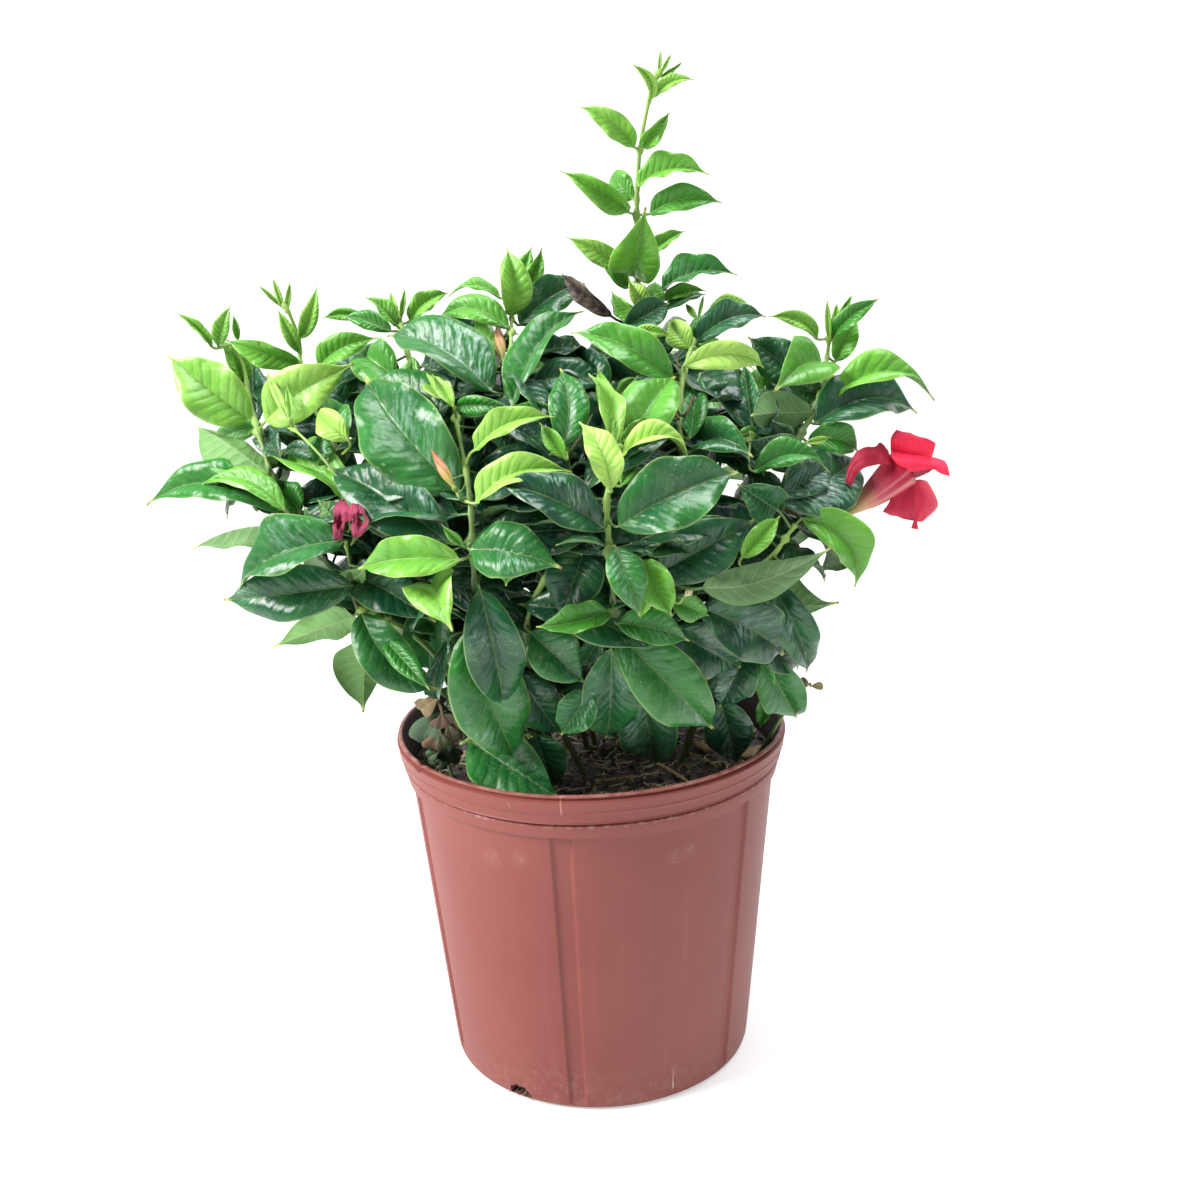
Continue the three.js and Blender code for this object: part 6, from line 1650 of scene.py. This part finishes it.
def add_petal(shell, lines, swell, mark, thick=0.35, across=13, along=20, frill=0.3):
    """A thin closed petal through lines of places, swelling to one side, with a slightly wavy edge."""
    ribs = np.array([evenly(smooth_line([place(p) for p in line], PETAL_STEPS), across) for line in lines])
    columns = [smooth_line(list(ribs[:, i]), PETAL_STEPS) for i in range(across)]
    grid = np.stack([evenly(column, along) for column in columns], 1)
    normal = np.cross(np.gradient(grid, axis=1), np.gradient(grid, axis=0))
    normal /= np.maximum(np.linalg.norm(normal, axis=2, keepdims=True), 1e-6)
    s = np.linspace(0, 1, across)[None, :, None]
    t = np.linspace(0, 1, along)[:, None, None]
    grid = grid + normal * swell * np.sin(math.pi * s) * (0.3 + 0.7 * np.sin(math.pi * np.clip(t, 0.05, 1)))
    grid = grid + normal * frill * (np.sin(11 * s + 3 * t) + 0.6 * np.sin(19 * s + 7 * t)) * t
    edge = 0.05 + thick * np.sqrt(np.clip(np.sin(math.pi * s), 0, 1)) * np.minimum(1, 4 * (1.02 - t))
    rings = np.concatenate([grid + normal * edge, (grid - normal * edge)[:, ::-1]], axis=1)
    round_ring = np.concatenate([s[0, :, 0], s[0, ::-1, 0]])[None] * 2 - 1
    shell.loft(rings, ring_places(round_ring, t[..., 0]), mark)


def build_corolla(settings):
    shell = Shell()
    foot, throat = place(FLOWER_FOOT), place(FLOWER_THROAT)
    shares, radii = np.array(TUBE_PROFILE).T
    line = np.array([foot + (throat - foot) * share for share in shares])
    sag = np.array([TUBE_SAG * math.sin(math.pi * share) for share in shares])
    line = line + np.array([0, 0, -1.0]) * sag[:, None]
    turns = round_turns(TUBE_SIDES)
    fluted = TUBE_FLUTE_DEPTH * np.cos(TUBE_FLUTES * turns)[None]
    flutes = 1 + fluted * ease(np.linspace(0, 1, len(line)), 0.25, 0.8)[:, None]
    spread = round_ways(line, turns, UPWARD)
    rings = line[:, None] + spread * (radii[:, None] * flutes)[..., None]
    inner = rings[::-1] - spread[::-1] * TUBE_WALL
    both = np.concatenate([rings, inner[:-TUBE_SHUT]])
    along = np.array([*shares, *shares[::-1][:-TUBE_SHUT]])
    shell.loft(both, ring_places(turns[None] / (2 * math.pi), along[:, None]), (TUBE, 0.5, 0))
    for number, (shade, swell, lines) in enumerate(PETALS):
        add_petal(shell, lines, swell, (PETAL, shade, scatter(number, 2)))
    return shell.piece("open_flower", [petal_paint(settings)])


# The withered flower: the top and foot of its cup, the cup's radii, and its lobes as the petals above.
FADED_TOP, FADED_FOOT, FADED_CUP = (343.8, 492.5, 3), (344.5, 500, 3), (0.7, 1.5, 1.8, 1.9, 1.8, 1.2)
FADED_LOBES = (
    (0.2, 2.2, (
        ((341.5, 499, 3), (345, 500, 2)), ((335, 504, 0), (341, 506, -5), (348, 508, 0)),
        ((332, 511, -1), (340, 513, -6), (347, 515, -1)), ((334, 520, -3), (339, 521, 2), (345.5, 523, -2)),
        ((331.5, 529, -2), (338, 530, -6), (344, 531, 0)), ((335, 538, -1), (339, 540.5, -3), (343, 536, 0)),
    )),
    (0.0, 2.2, (
        ((345, 500, 2), (349, 499.5, 2)), ((348, 505, -3), (355, 503, -8), (363, 507, -6)),
        ((350, 513, -6), (357, 512, -12), (366, 515, -9)), ((352, 521, -9), (360, 519, -5), (369.5, 521, -11)),
        ((350, 528, -10), (357, 529, -14), (366, 530, -11)), ((354, 536, -12), (358, 537.5, -13), (362, 535, -12)),
    )),
    (0.6, 1.4, (
        ((341, 501, -1), (352, 501, -2)), ((338, 508, -6), (346, 511, -9), (356, 509, -7)),
        ((343, 520, -6), (348, 522, -8), (353, 519, -6)),
    )),
)


def build_faded():
    shell = Shell()
    top, foot = place(FADED_TOP), place(FADED_FOOT)
    cup = np.array([top + (foot - top) * s for s in np.linspace(0, 1.05, len(FADED_CUP))])
    add_tube(shell, cup, FADED_CUP, sides=12, mark=(TUBE, 0.5, 0))
    for number, (shade, swell, lines) in enumerate(FADED_LOBES):
        mark = (PETAL, shade, scatter(number, 4))
        add_petal(shell, lines, swell, mark, thick=0.4, across=17, along=26, frill=1.5)
    return shell.piece("faded_flower", [faded_paint()])


def faded_paint():
    """Withered crimson gone purple, with brown edges and fine creases."""
    p = Paint("faded_petals")
    across, along, _ = p.mark("part_place")
    kind, shade, chance = p.mark("part_mark")
    creases = p.noise(p.vector(across * 7, along * 3, chance * 5), 1.0, 5, 0.7, 1.2)
    petal = p.blend(p.step(creases + shade * 0.2, 0.3, 0.7), "#6e1a3a", "#c04468")
    petal = p.blend(p.step(abs(across), 0.85, 1.0) * 0.35, petal, "#5c2630")
    cup = p.blend(creases, "#5c7a3a", "#8ea05a")
    colour = p.blend(kind, petal, cup)
    relief = p.bump(creases, 0.002, 0.9)
    return p.finish(Base_Color=colour, Roughness=0.55 + creases * 0.2, Normal=relief)


# Each bud: its node, the places of its foot and tip, and its radius.
BUDS = (
    ("bud_upper", (503, 366, 22), (497, 322, 12), 3.4),
    ("bud_left", (456, 491, 6), (431, 449, -5), 3.0),
    ("bud_cream", (684.5, 596.5, 6), (693, 588, 4), 2.1),
)
# A bud from foot to tip, as (share of the way, share of the radius).
BUD_PROFILE = (
    (0.0, 0.35), (0.03, 0.5), (0.08, 0.52), (0.1, 0.34), (0.16, 0.45), (0.26, 0.72), (0.4, 0.97), (0.52, 1.0),
    (0.66, 0.86), (0.8, 0.55), (0.92, 0.27), (1.0, 0.06),
)
BUD_TWIST, BUD_SIDES, BUD_FURL = 2.4, 30, 0.10


def build_bud(plan):
    """A furled bud: its petals wind round it, and a small green cup holds its foot."""
    name, foot, tip, radius = plan
    shell = Shell()
    start, end = place(foot), place(tip)
    shares, girths = np.array(BUD_PROFILE).T
    line = np.array([start + (end - start) * s for s in shares])
    turns = round_turns(BUD_SIDES)
    winding = turns[None] + BUD_TWIST * shares[:, None]
    furl = 1 + BUD_FURL * ease(shares, 0.2, 0.4)[:, None] * (np.abs(np.sin(2.5 * winding)) - 0.5)
    radii = radius * girths[:, None] * furl
    rings = line[:, None] + round_ways(line, turns, (0.2, 0.9, 0.3)) * radii[..., None]
    places = ring_places(winding / (2 * math.pi), shares[:, None])
    shell.loft(rings, places, (1 if name == "bud_cream" else 0, scatter(len(name), 2), 0))
    return shell.piece(f"{name}_furled", [bud_paint()])


def bud_paint():
    """Tan flushed with pink on the wound petals, green in the cup."""
    p = Paint("bud")
    across, along, _ = p.mark("part_place")
    kind, _, _ = p.mark("part_mark")
    cloud = p.noise(p.spot(), 200, 3)
    seam = p.step(p.zigzag(across * 5), 0.0, 0.14, 1, 0)
    body = p.ramp(along + (cloud - 0.5) * 0.2, (
        (0.0, "#6f8a3c"), (0.12, "#8f9c4c"), (0.3, "#c4ae62"), (0.55, "#c99a6e"), (0.8, "#b9745a"), (1.0, "#8f6244"),
    ))
    body = p.blend(kind, body, p.blend(along, "#dfe0b8", "#e8d3a6"))
    body = p.blend(seam * 0.45, body, "#a9684f")
    relief = p.bump(cloud - seam * 1.5, 0.0006, 0.7)
    return p.finish(Base_Color=body, Roughness=0.45 + cloud * 0.15, Normal=relief)


# ---------------------------------------------------------------- straw and bark

# What lies on the mix: the spots of its two ends on the sheet, and a straw's radius or a chip's width as a share of
# its length.
STRAWS = (((655, 763), (691, 783), 1.1), ((690, 753), (716, 765), 1.0), ((604, 781), (640, 776), 0.8))
CHIPS = (((743, 758), (763, 746), 0.5), ((742, 735), (756, 730), 0.6), ((694, 742), (714, 752), 0.45))
LITTER_GAP, CHIP_HALF, CHIP_SIDES, CHIP_SEED = 0.3, 1.2, 16, 40
STRAW_JOINT, STRAW_SWELL, STRAW_FLAT = 0.62, 0.22, 0.62
CHIP_TINTS = (("#8a6a48", "#cdb08a"), ("#7c7468", "#b3a893"), ("#5c4028", "#9a774e"))


def build_straw(number, plan):
    """A dry flattened stalk, bowed and wavy, with a swollen joint and thinner ends."""
    start, end, radius = plan
    height = MIX_TOP + LITTER_GAP + radius
    a, b = lying(*start, height), lying(*end, height)
    share = np.linspace(0, 1, 15)[:, None]
    side = unit(np.cross(b - a, np.array([0, 0, 1.0])))
    bow = np.sin(math.pi * share) * 1.1 + 0.35 * np.sin(7 * share + number)
    line = a + (b - a) * share + side * bow * (1 if number % 2 else -1) + np.array([0, 0, 0.25]) * np.sin(5 * share)
    joint = 1 + STRAW_SWELL * np.exp(-(((share[:, 0] - STRAW_JOINT) / 0.03) ** 2))
    radii = radius * joint * np.interp(share[:, 0], [0, 0.05, 0.9, 1], [0.75, 1, 0.92, 0.5])
    shell = Shell()
    mark = (0, scatter(number, 3), 0)
    add_tube(shell, line, radii, sides=12, mark=mark, squash=STRAW_FLAT, start=(0, 0.2, 1))
    paint = plain_paint("straw", "#9c7a4c", "#d9be8e", 180, 0.62, 0.0005, 0.8)
    return shell.piece(f"straw_stalk_{number}", [paint])


def build_chip(number, plan):
    """A torn splinter of bark, rough all round. The second one curls up at its sides."""
    start, end, width = plan
    random = np.random.default_rng(CHIP_SEED + number)
    height = MIX_TOP + LITTER_GAP + CHIP_HALF
    a, b = lying(*start, height), lying(*end, height)
    length = np.linalg.norm(b - a)
    along = (b - a) / length
    side = np.cross(np.array([0, 0, 1.0]), along)
    rings, places = [], []
    for t in np.linspace(0.02, 0.98, 14):
        half = 0.5 * width * length * (math.sin(math.pi * t) ** 0.55) * random.uniform(0.86, 1.1)
        ring = []
        for turn in round_turns(CHIP_SIDES):
            rough = random.uniform(0.82, 1.12)
            across, up = half * math.cos(turn) * rough, CHIP_HALF * math.sin(turn) * rough
            curl = 0.9 * (across / max(half, 0.5)) ** 2 if number == 1 else 0
            ring.append(a + along * length * t + side * across + np.array([0, 0, up * (1.1 if up > 0 else 0.9) + curl]))
            places.append((math.cos(turn), t * length, t))
        rings.append(ring)
    shell = Shell()
    rings = np.array(rings)[:, ::-1]
    places = np.array(places).reshape(len(rings), CHIP_SIDES, 3)[:, ::-1]
    shell.loft(rings, places, (0, scatter(number, 6), 0))
    paint = plain_paint(f"bark_{number}", *CHIP_TINTS[number], 210, 0.75, 0.0008, 0.6)
    return shell.piece(f"bark_splinter_{number}", [paint])


# ---------------------------------------------------------------- settings


def colour_of(name, text, code):
    return bpy.props.FloatVectorProperty(
        name=name, description=text, subtype="COLOR", size=3, min=0, max=1, default=linear(code))


def share_of(name, text, default, highest=1):
    return bpy.props.FloatProperty(
        name=name, description=text, subtype="FACTOR", min=0, max=highest, default=default)


def number_of(name, text, default, highest):
    return bpy.props.FloatProperty(name=name, description=text, min=0, max=highest, default=default)


def count_of(name, text, default, highest):
    return bpy.props.IntProperty(name=name, description=text, min=0, max=highest, default=default)


def power_of(name, text, default):
    return bpy.props.FloatProperty(
        name=name, description=text, subtype="POWER", unit="POWER", min=0, max=500, default=default)


class MANDEVILLA_PG_foliage(bpy.types.PropertyGroup):
    under_colour: colour_of("Underside", "Colour of the leaves' undersides", "#7fa268")
    stem_old: colour_of("Old stem", "Colour of the stems near the mix", "#35562a")
    stem_young: colour_of("Young stem", "Colour of the stems' tops", "#93b957")
    specks: share_of("Specks", "Strength of the mineral specks", 0.45)
    # Strength of the painted sheen: pale streaks in the leaves' colour that stand in for glossy reflections.
    painted_sheen: share_of("Painted sheen", "Strength of the painted-highlight patches", 0.6)
    ripple: number_of("Ripple", "How wavy the margins are, as a share of the half width", 0.13, 0.4)
    droop: number_of("Droop", "How far tips bend down, as a share of the length", 0.15, 2)
    twist: bpy.props.FloatProperty(
        name="Twist", description="Most that a blade turns about its own line", default=0.5, min=0, max=2,
        subtype="ANGLE", unit="ROTATION")
    cup: number_of("Cup", "How far margins curl, as a share of the half width", 0.3, 1)
    inner: count_of("Inner leaves", "Most inner leaves on a stem", 22, 60)


class MANDEVILLA_PG_flower(bpy.types.PropertyGroup):
    bright: colour_of("Lit petal", "Colour of the petals that face the light", "#ff2d56")
    deep: colour_of("Deep petal", "Colour of the petals that turn away", "#96122f")


class MANDEVILLA_PG_pot(bpy.types.PropertyGroup):
    colour: colour_of("Plastic", "Colour of the moulded plastic", "#823c35")
    faded: colour_of("Faded plastic", "Colour where the plastic has faded", "#8a473f")
    wobble: number_of("Wobble", "How far the rim is out of round, in millimetres", 0.7, 3)


class MANDEVILLA_PG_mix(bpy.types.PropertyGroup):
    lumps: share_of("Lumps", "How lumpy the surface is", 1.0, 2)
    crumbs: count_of("Crumbs", "Number of bark crumbs", 900, 3000)
    fibres: count_of("Fibres", "Number of loose fibres", 420, 1000)
    husks: count_of("Husks", "Number of husks at the front", 700, 1500)
    roots: count_of("Roots", "Number of fine roots in each drain", 16, 60)


class MANDEVILLA_PG_stage(bpy.types.PropertyGroup):
    floor: colour_of("Floor", "Colour of the floor", "#cfcfce")
    key: power_of("Key light", "Power of the main light", 104)
    top: power_of("Top light", "Power of the light overhead", 50)
    fill: power_of("Fill light", "Power of the light from the right", 5)
    glow: number_of("Glow", "Light of the floor itself", 0.5, 2)
    backdrop_glow: number_of("Backdrop glow", "Light of the backdrop itself", 0.75, 2)
    sky: number_of("Sky", "Strength of the even light", 0.25, 5)


# ---------------------------------------------------------------- operators


class MANDEVILLA_OT_pot(bpy.types.Operator):
    """Build the moulded pot with its rim, channels and drains."""

    bl_idname = "mandevilla.pot"
    bl_label = "Pot"

    def execute(self, context):
        settle_piece(build_pot(context.scene.mandevilla_pot), "pot")
        return {"FINISHED"}


class MANDEVILLA_OT_mix(bpy.types.Operator):
    """Build the potting mix with its crumbs and fibres."""

    bl_idname = "mandevilla.mix"
    bl_label = "Potting mix"

    def execute(self, context):
        settle_piece(build_mix(context.scene.mandevilla_mix), "potting_mix")
        return {"FINISHED"}


class MANDEVILLA_OT_front_stems(bpy.types.Operator):
    """Grow the stems of the front with their side branches and leaves."""

    bl_idname = "mandevilla.front_stems"
    bl_label = "Front stems"

    def execute(self, context):
        settings = context.scene.mandevilla_foliage
        paints = [leaf_paint(settings), stem_paint(settings)]
        number = 0
        for name, root, paths, rows in FRONT_STEMS:
            corners = node_points(name)
            leaves = []
            for order, row in enumerate(rows):
                number += 1
                leaf = front_leaf(row, corners)
                if leaf is None:
                    continue
                if (name, order) in LAID:
                    base, tip, broad = LAID[name, order]
                    leaf.update(base=place(base), tip=place(tip), width=leaf["width"] * broad)
                if (name, order) in TURNED:
                    leaf.update(roll=leaf["roll"] + 180, bow=-leaf["bow"], sweep=-leaf["sweep"])
                leaves.append(give_character(leaf, row[11], number, settings))
            lines = front_lines(root, paths)
            inner = inner_leaves(number, lines, settings)
            piece = grow_stem(name, lines, [*leaves, *inner], paints, len(leaves))
            settle_piece(piece, name)
        return {"FINISHED"}


class MANDEVILLA_OT_back_stems(bpy.types.Operator):
    """Grow the stems behind with their leaves."""

    bl_idname = "mandevilla.back_stems"
    bl_label = "Back stems"

    def execute(self, context):
        settings = context.scene.mandevilla_foliage
        paints = [leaf_paint(settings), stem_paint(settings)]
        for i in range(BACK_COUNT):
            name = f"back_stem_{i + 1}"
            outward, root, rise = back_stem(i)
            lines = [rooted_line(root[0], root[1], rise, STEM_STEPS)]
            leaves = back_leaves(i, outward, root, rise, node_points(name), settings)
            piece = grow_stem(name, lines, leaves, paints, 0)
            settle_piece(piece, name)
        return {"FINISHED"}


class MANDEVILLA_OT_weeds(bpy.types.Operator):
    """Grow the two small weeds at the rim."""

    bl_idname = "mandevilla.weeds"
    bl_label = "Weeds"

    def execute(self, context):
        for plan in WEEDS:
            settle_piece(build_weed(plan, context.scene.mandevilla_foliage), plan[0])
        return {"FINISHED"}


class MANDEVILLA_OT_corolla(bpy.types.Operator):
    """Build the open trumpet flower."""

    bl_idname = "mandevilla.corolla"
    bl_label = "Open flower"

    def execute(self, context):
        settle_piece(build_corolla(context.scene.mandevilla_flower), "corolla")
        return {"FINISHED"}


class MANDEVILLA_OT_faded_corolla(bpy.types.Operator):
    """Build the withered flower."""

    bl_idname = "mandevilla.faded_corolla"
    bl_label = "Faded flower"

    def execute(self, context):
        settle_piece(build_faded(), "faded_corolla")
        return {"FINISHED"}


class MANDEVILLA_OT_buds(bpy.types.Operator):
    """Build the furled buds."""

    bl_idname = "mandevilla.buds"
    bl_label = "Buds"

    def execute(self, context):
        for plan in BUDS:
            settle_piece(build_bud(plan), plan[0])
        return {"FINISHED"}


class MANDEVILLA_OT_litter(bpy.types.Operator):
    """Lay the straws and the bark splinters on the mix."""

    bl_idname = "mandevilla.litter"
    bl_label = "Straw and bark"

    def execute(self, context):
        for i, plan in enumerate(STRAWS):
            settle_piece(build_straw(i, plan), f"straw_{i + 1}")
        for i, plan in enumerate(CHIPS):
            settle_piece(build_chip(i, plan), f"bark_chip_{i + 1}")
        return {"FINISHED"}


# The floor and its wall, in metres.
FLOOR_HALF, WALL_AT, WALL_TOP, BEND = 6.0, 4.5, 5.0, 1.2
SENSOR_WIDTH, CAMERA_LENS = 36, 43.5
# The lamps: where they stand and the side of their square, in metres, and their colour.
LIGHTS = {
    "key": ((-1.9, -0.6, 1.8), 1.2, (1, 0.99, 0.97)),
    "top": ((0.45, 0.1, 2.3), 1.3, (0.97, 0.98, 1)),
    "fill": ((1.9, -1.3, 1.2), 1.8, (0.95, 0.97, 1)),
}
LIGHTS_LOOK_AT = (0, 0, 0.35)


def area_light(name, power):
    """A square soft light that looks at the bush."""
    spot, size, colour = LIGHTS[name]
    light = bpy.data.lights.new(name, "AREA")
    light.shape, light.size, light.energy, light.color = "SQUARE", size, power, colour
    made = put_in_scene(name, light)
    made.location = spot
    made.rotation_euler = (Vector(LIGHTS_LOOK_AT) - Vector(spot)).to_track_quat("-Z", "Y").to_euler()


def stage_floor(settings):
    """A pale floor that curves up into a wall far behind."""
    outline = [(-FLOOR_HALF, 0.0)]
    for turn in np.linspace(0, math.pi / 2, 9):
        outline.append((WALL_AT - BEND + BEND * math.sin(turn), BEND - BEND * math.cos(turn)))
    outline.append((WALL_AT, WALL_TOP))
    points = [(x, y, z) for y, z in outline for x in (-FLOOR_HALF, FLOOR_HALF)]
    faces = [(2 * i, 2 * i + 1, 2 * i + 3, 2 * i + 2) for i in range(len(outline) - 1)]
    mesh = bpy.data.meshes.new("floor")
    mesh.from_pydata(points, [], faces)
    mesh.shade_smooth()
    for name, glow in (("floor", settings.glow), ("backdrop", settings.backdrop_glow)):
        mesh.materials.append(Paint(name).finish(
            Base_Color=tuple(settings.floor), Roughness=0.6, Specular_IOR_Level=0.2,
            Emission_Color=(1.0, 1.0, 1.0), Emission_Strength=glow))
    for face in mesh.polygons[1:]:
        face.material_index = 1
    return put_in_scene("floor", mesh)


def place_camera():
    camera = bpy.data.cameras.new("camera")
    camera.sensor_width, camera.lens = SENSOR_WIDTH, CAMERA_LENS
    made = put_in_scene("camera", camera)
    turned = Matrix((RIGHTWARD, UPWARD, -AHEAD)).transposed().to_4x4()
    made.matrix_world = Matrix.Translation(Vector(EYE * MM)) @ turned
    bpy.context.scene.camera = made


class MANDEVILLA_OT_stage(bpy.types.Operator):
    """Set up the pale floor, the soft lights and the camera."""

    bl_idname = "mandevilla.stage"
    bl_label = "Stage"

    def execute(self, context):
        settings = context.scene.mandevilla_stage
        stage_floor(settings)
        world = bpy.data.worlds.new("studio")
        world.use_nodes = True
        sky = world.node_tree.nodes["Background"]
        sky.inputs["Color"].default_value = (1, 1, 1, 1)
        sky.inputs["Strength"].default_value = settings.sky
        context.scene.world = world
        for name in LIGHTS:
            area_light(name, getattr(settings, name))
        context.scene.view_settings.view_transform = "Standard"
        context.scene.view_settings.look = "None"
        place_camera()
        return {"FINISHED"}


class MANDEVILLA_PT_panel(bpy.types.Panel):
    """Lists the steps that build the potted plant."""

    bl_label = "Potted Mandevilla"
    bl_idname = "MANDEVILLA_PT_panel"
    bl_space_type = "VIEW_3D"
    bl_region_type = "UI"
    bl_category = "Mandevilla"

    def draw(self, context):
        for step in STEPS:
            self.layout.operator(step.bl_idname)


GROUPS = (
    ("mandevilla_foliage", MANDEVILLA_PG_foliage),
    ("mandevilla_flower", MANDEVILLA_PG_flower),
    ("mandevilla_pot", MANDEVILLA_PG_pot),
    ("mandevilla_mix", MANDEVILLA_PG_mix),
    ("mandevilla_stage", MANDEVILLA_PG_stage),
)
STEPS = (
    MANDEVILLA_OT_pot,
    MANDEVILLA_OT_mix,
    MANDEVILLA_OT_front_stems,
    MANDEVILLA_OT_back_stems,
    MANDEVILLA_OT_weeds,
    MANDEVILLA_OT_corolla,
    MANDEVILLA_OT_faded_corolla,
    MANDEVILLA_OT_buds,
    MANDEVILLA_OT_litter,
    MANDEVILLA_OT_stage,
)


def register():
    for name, group in GROUPS:
        bpy.utils.register_class(group)
        setattr(bpy.types.Scene, name, bpy.props.PointerProperty(type=group))
    for step in (*STEPS, MANDEVILLA_PT_panel):
        bpy.utils.register_class(step)


def unregister():
    for step in (MANDEVILLA_PT_panel, *reversed(STEPS)):
        bpy.utils.unregister_class(step)
    for name, group in reversed(GROUPS):
        delattr(bpy.types.Scene, name)
        bpy.utils.unregister_class(group)


def main():
    register()
    for step in STEPS:
        group, name = step.bl_idname.split(".")
        getattr(getattr(bpy.ops, group), name)()


if __name__ == "__main__":
    main()
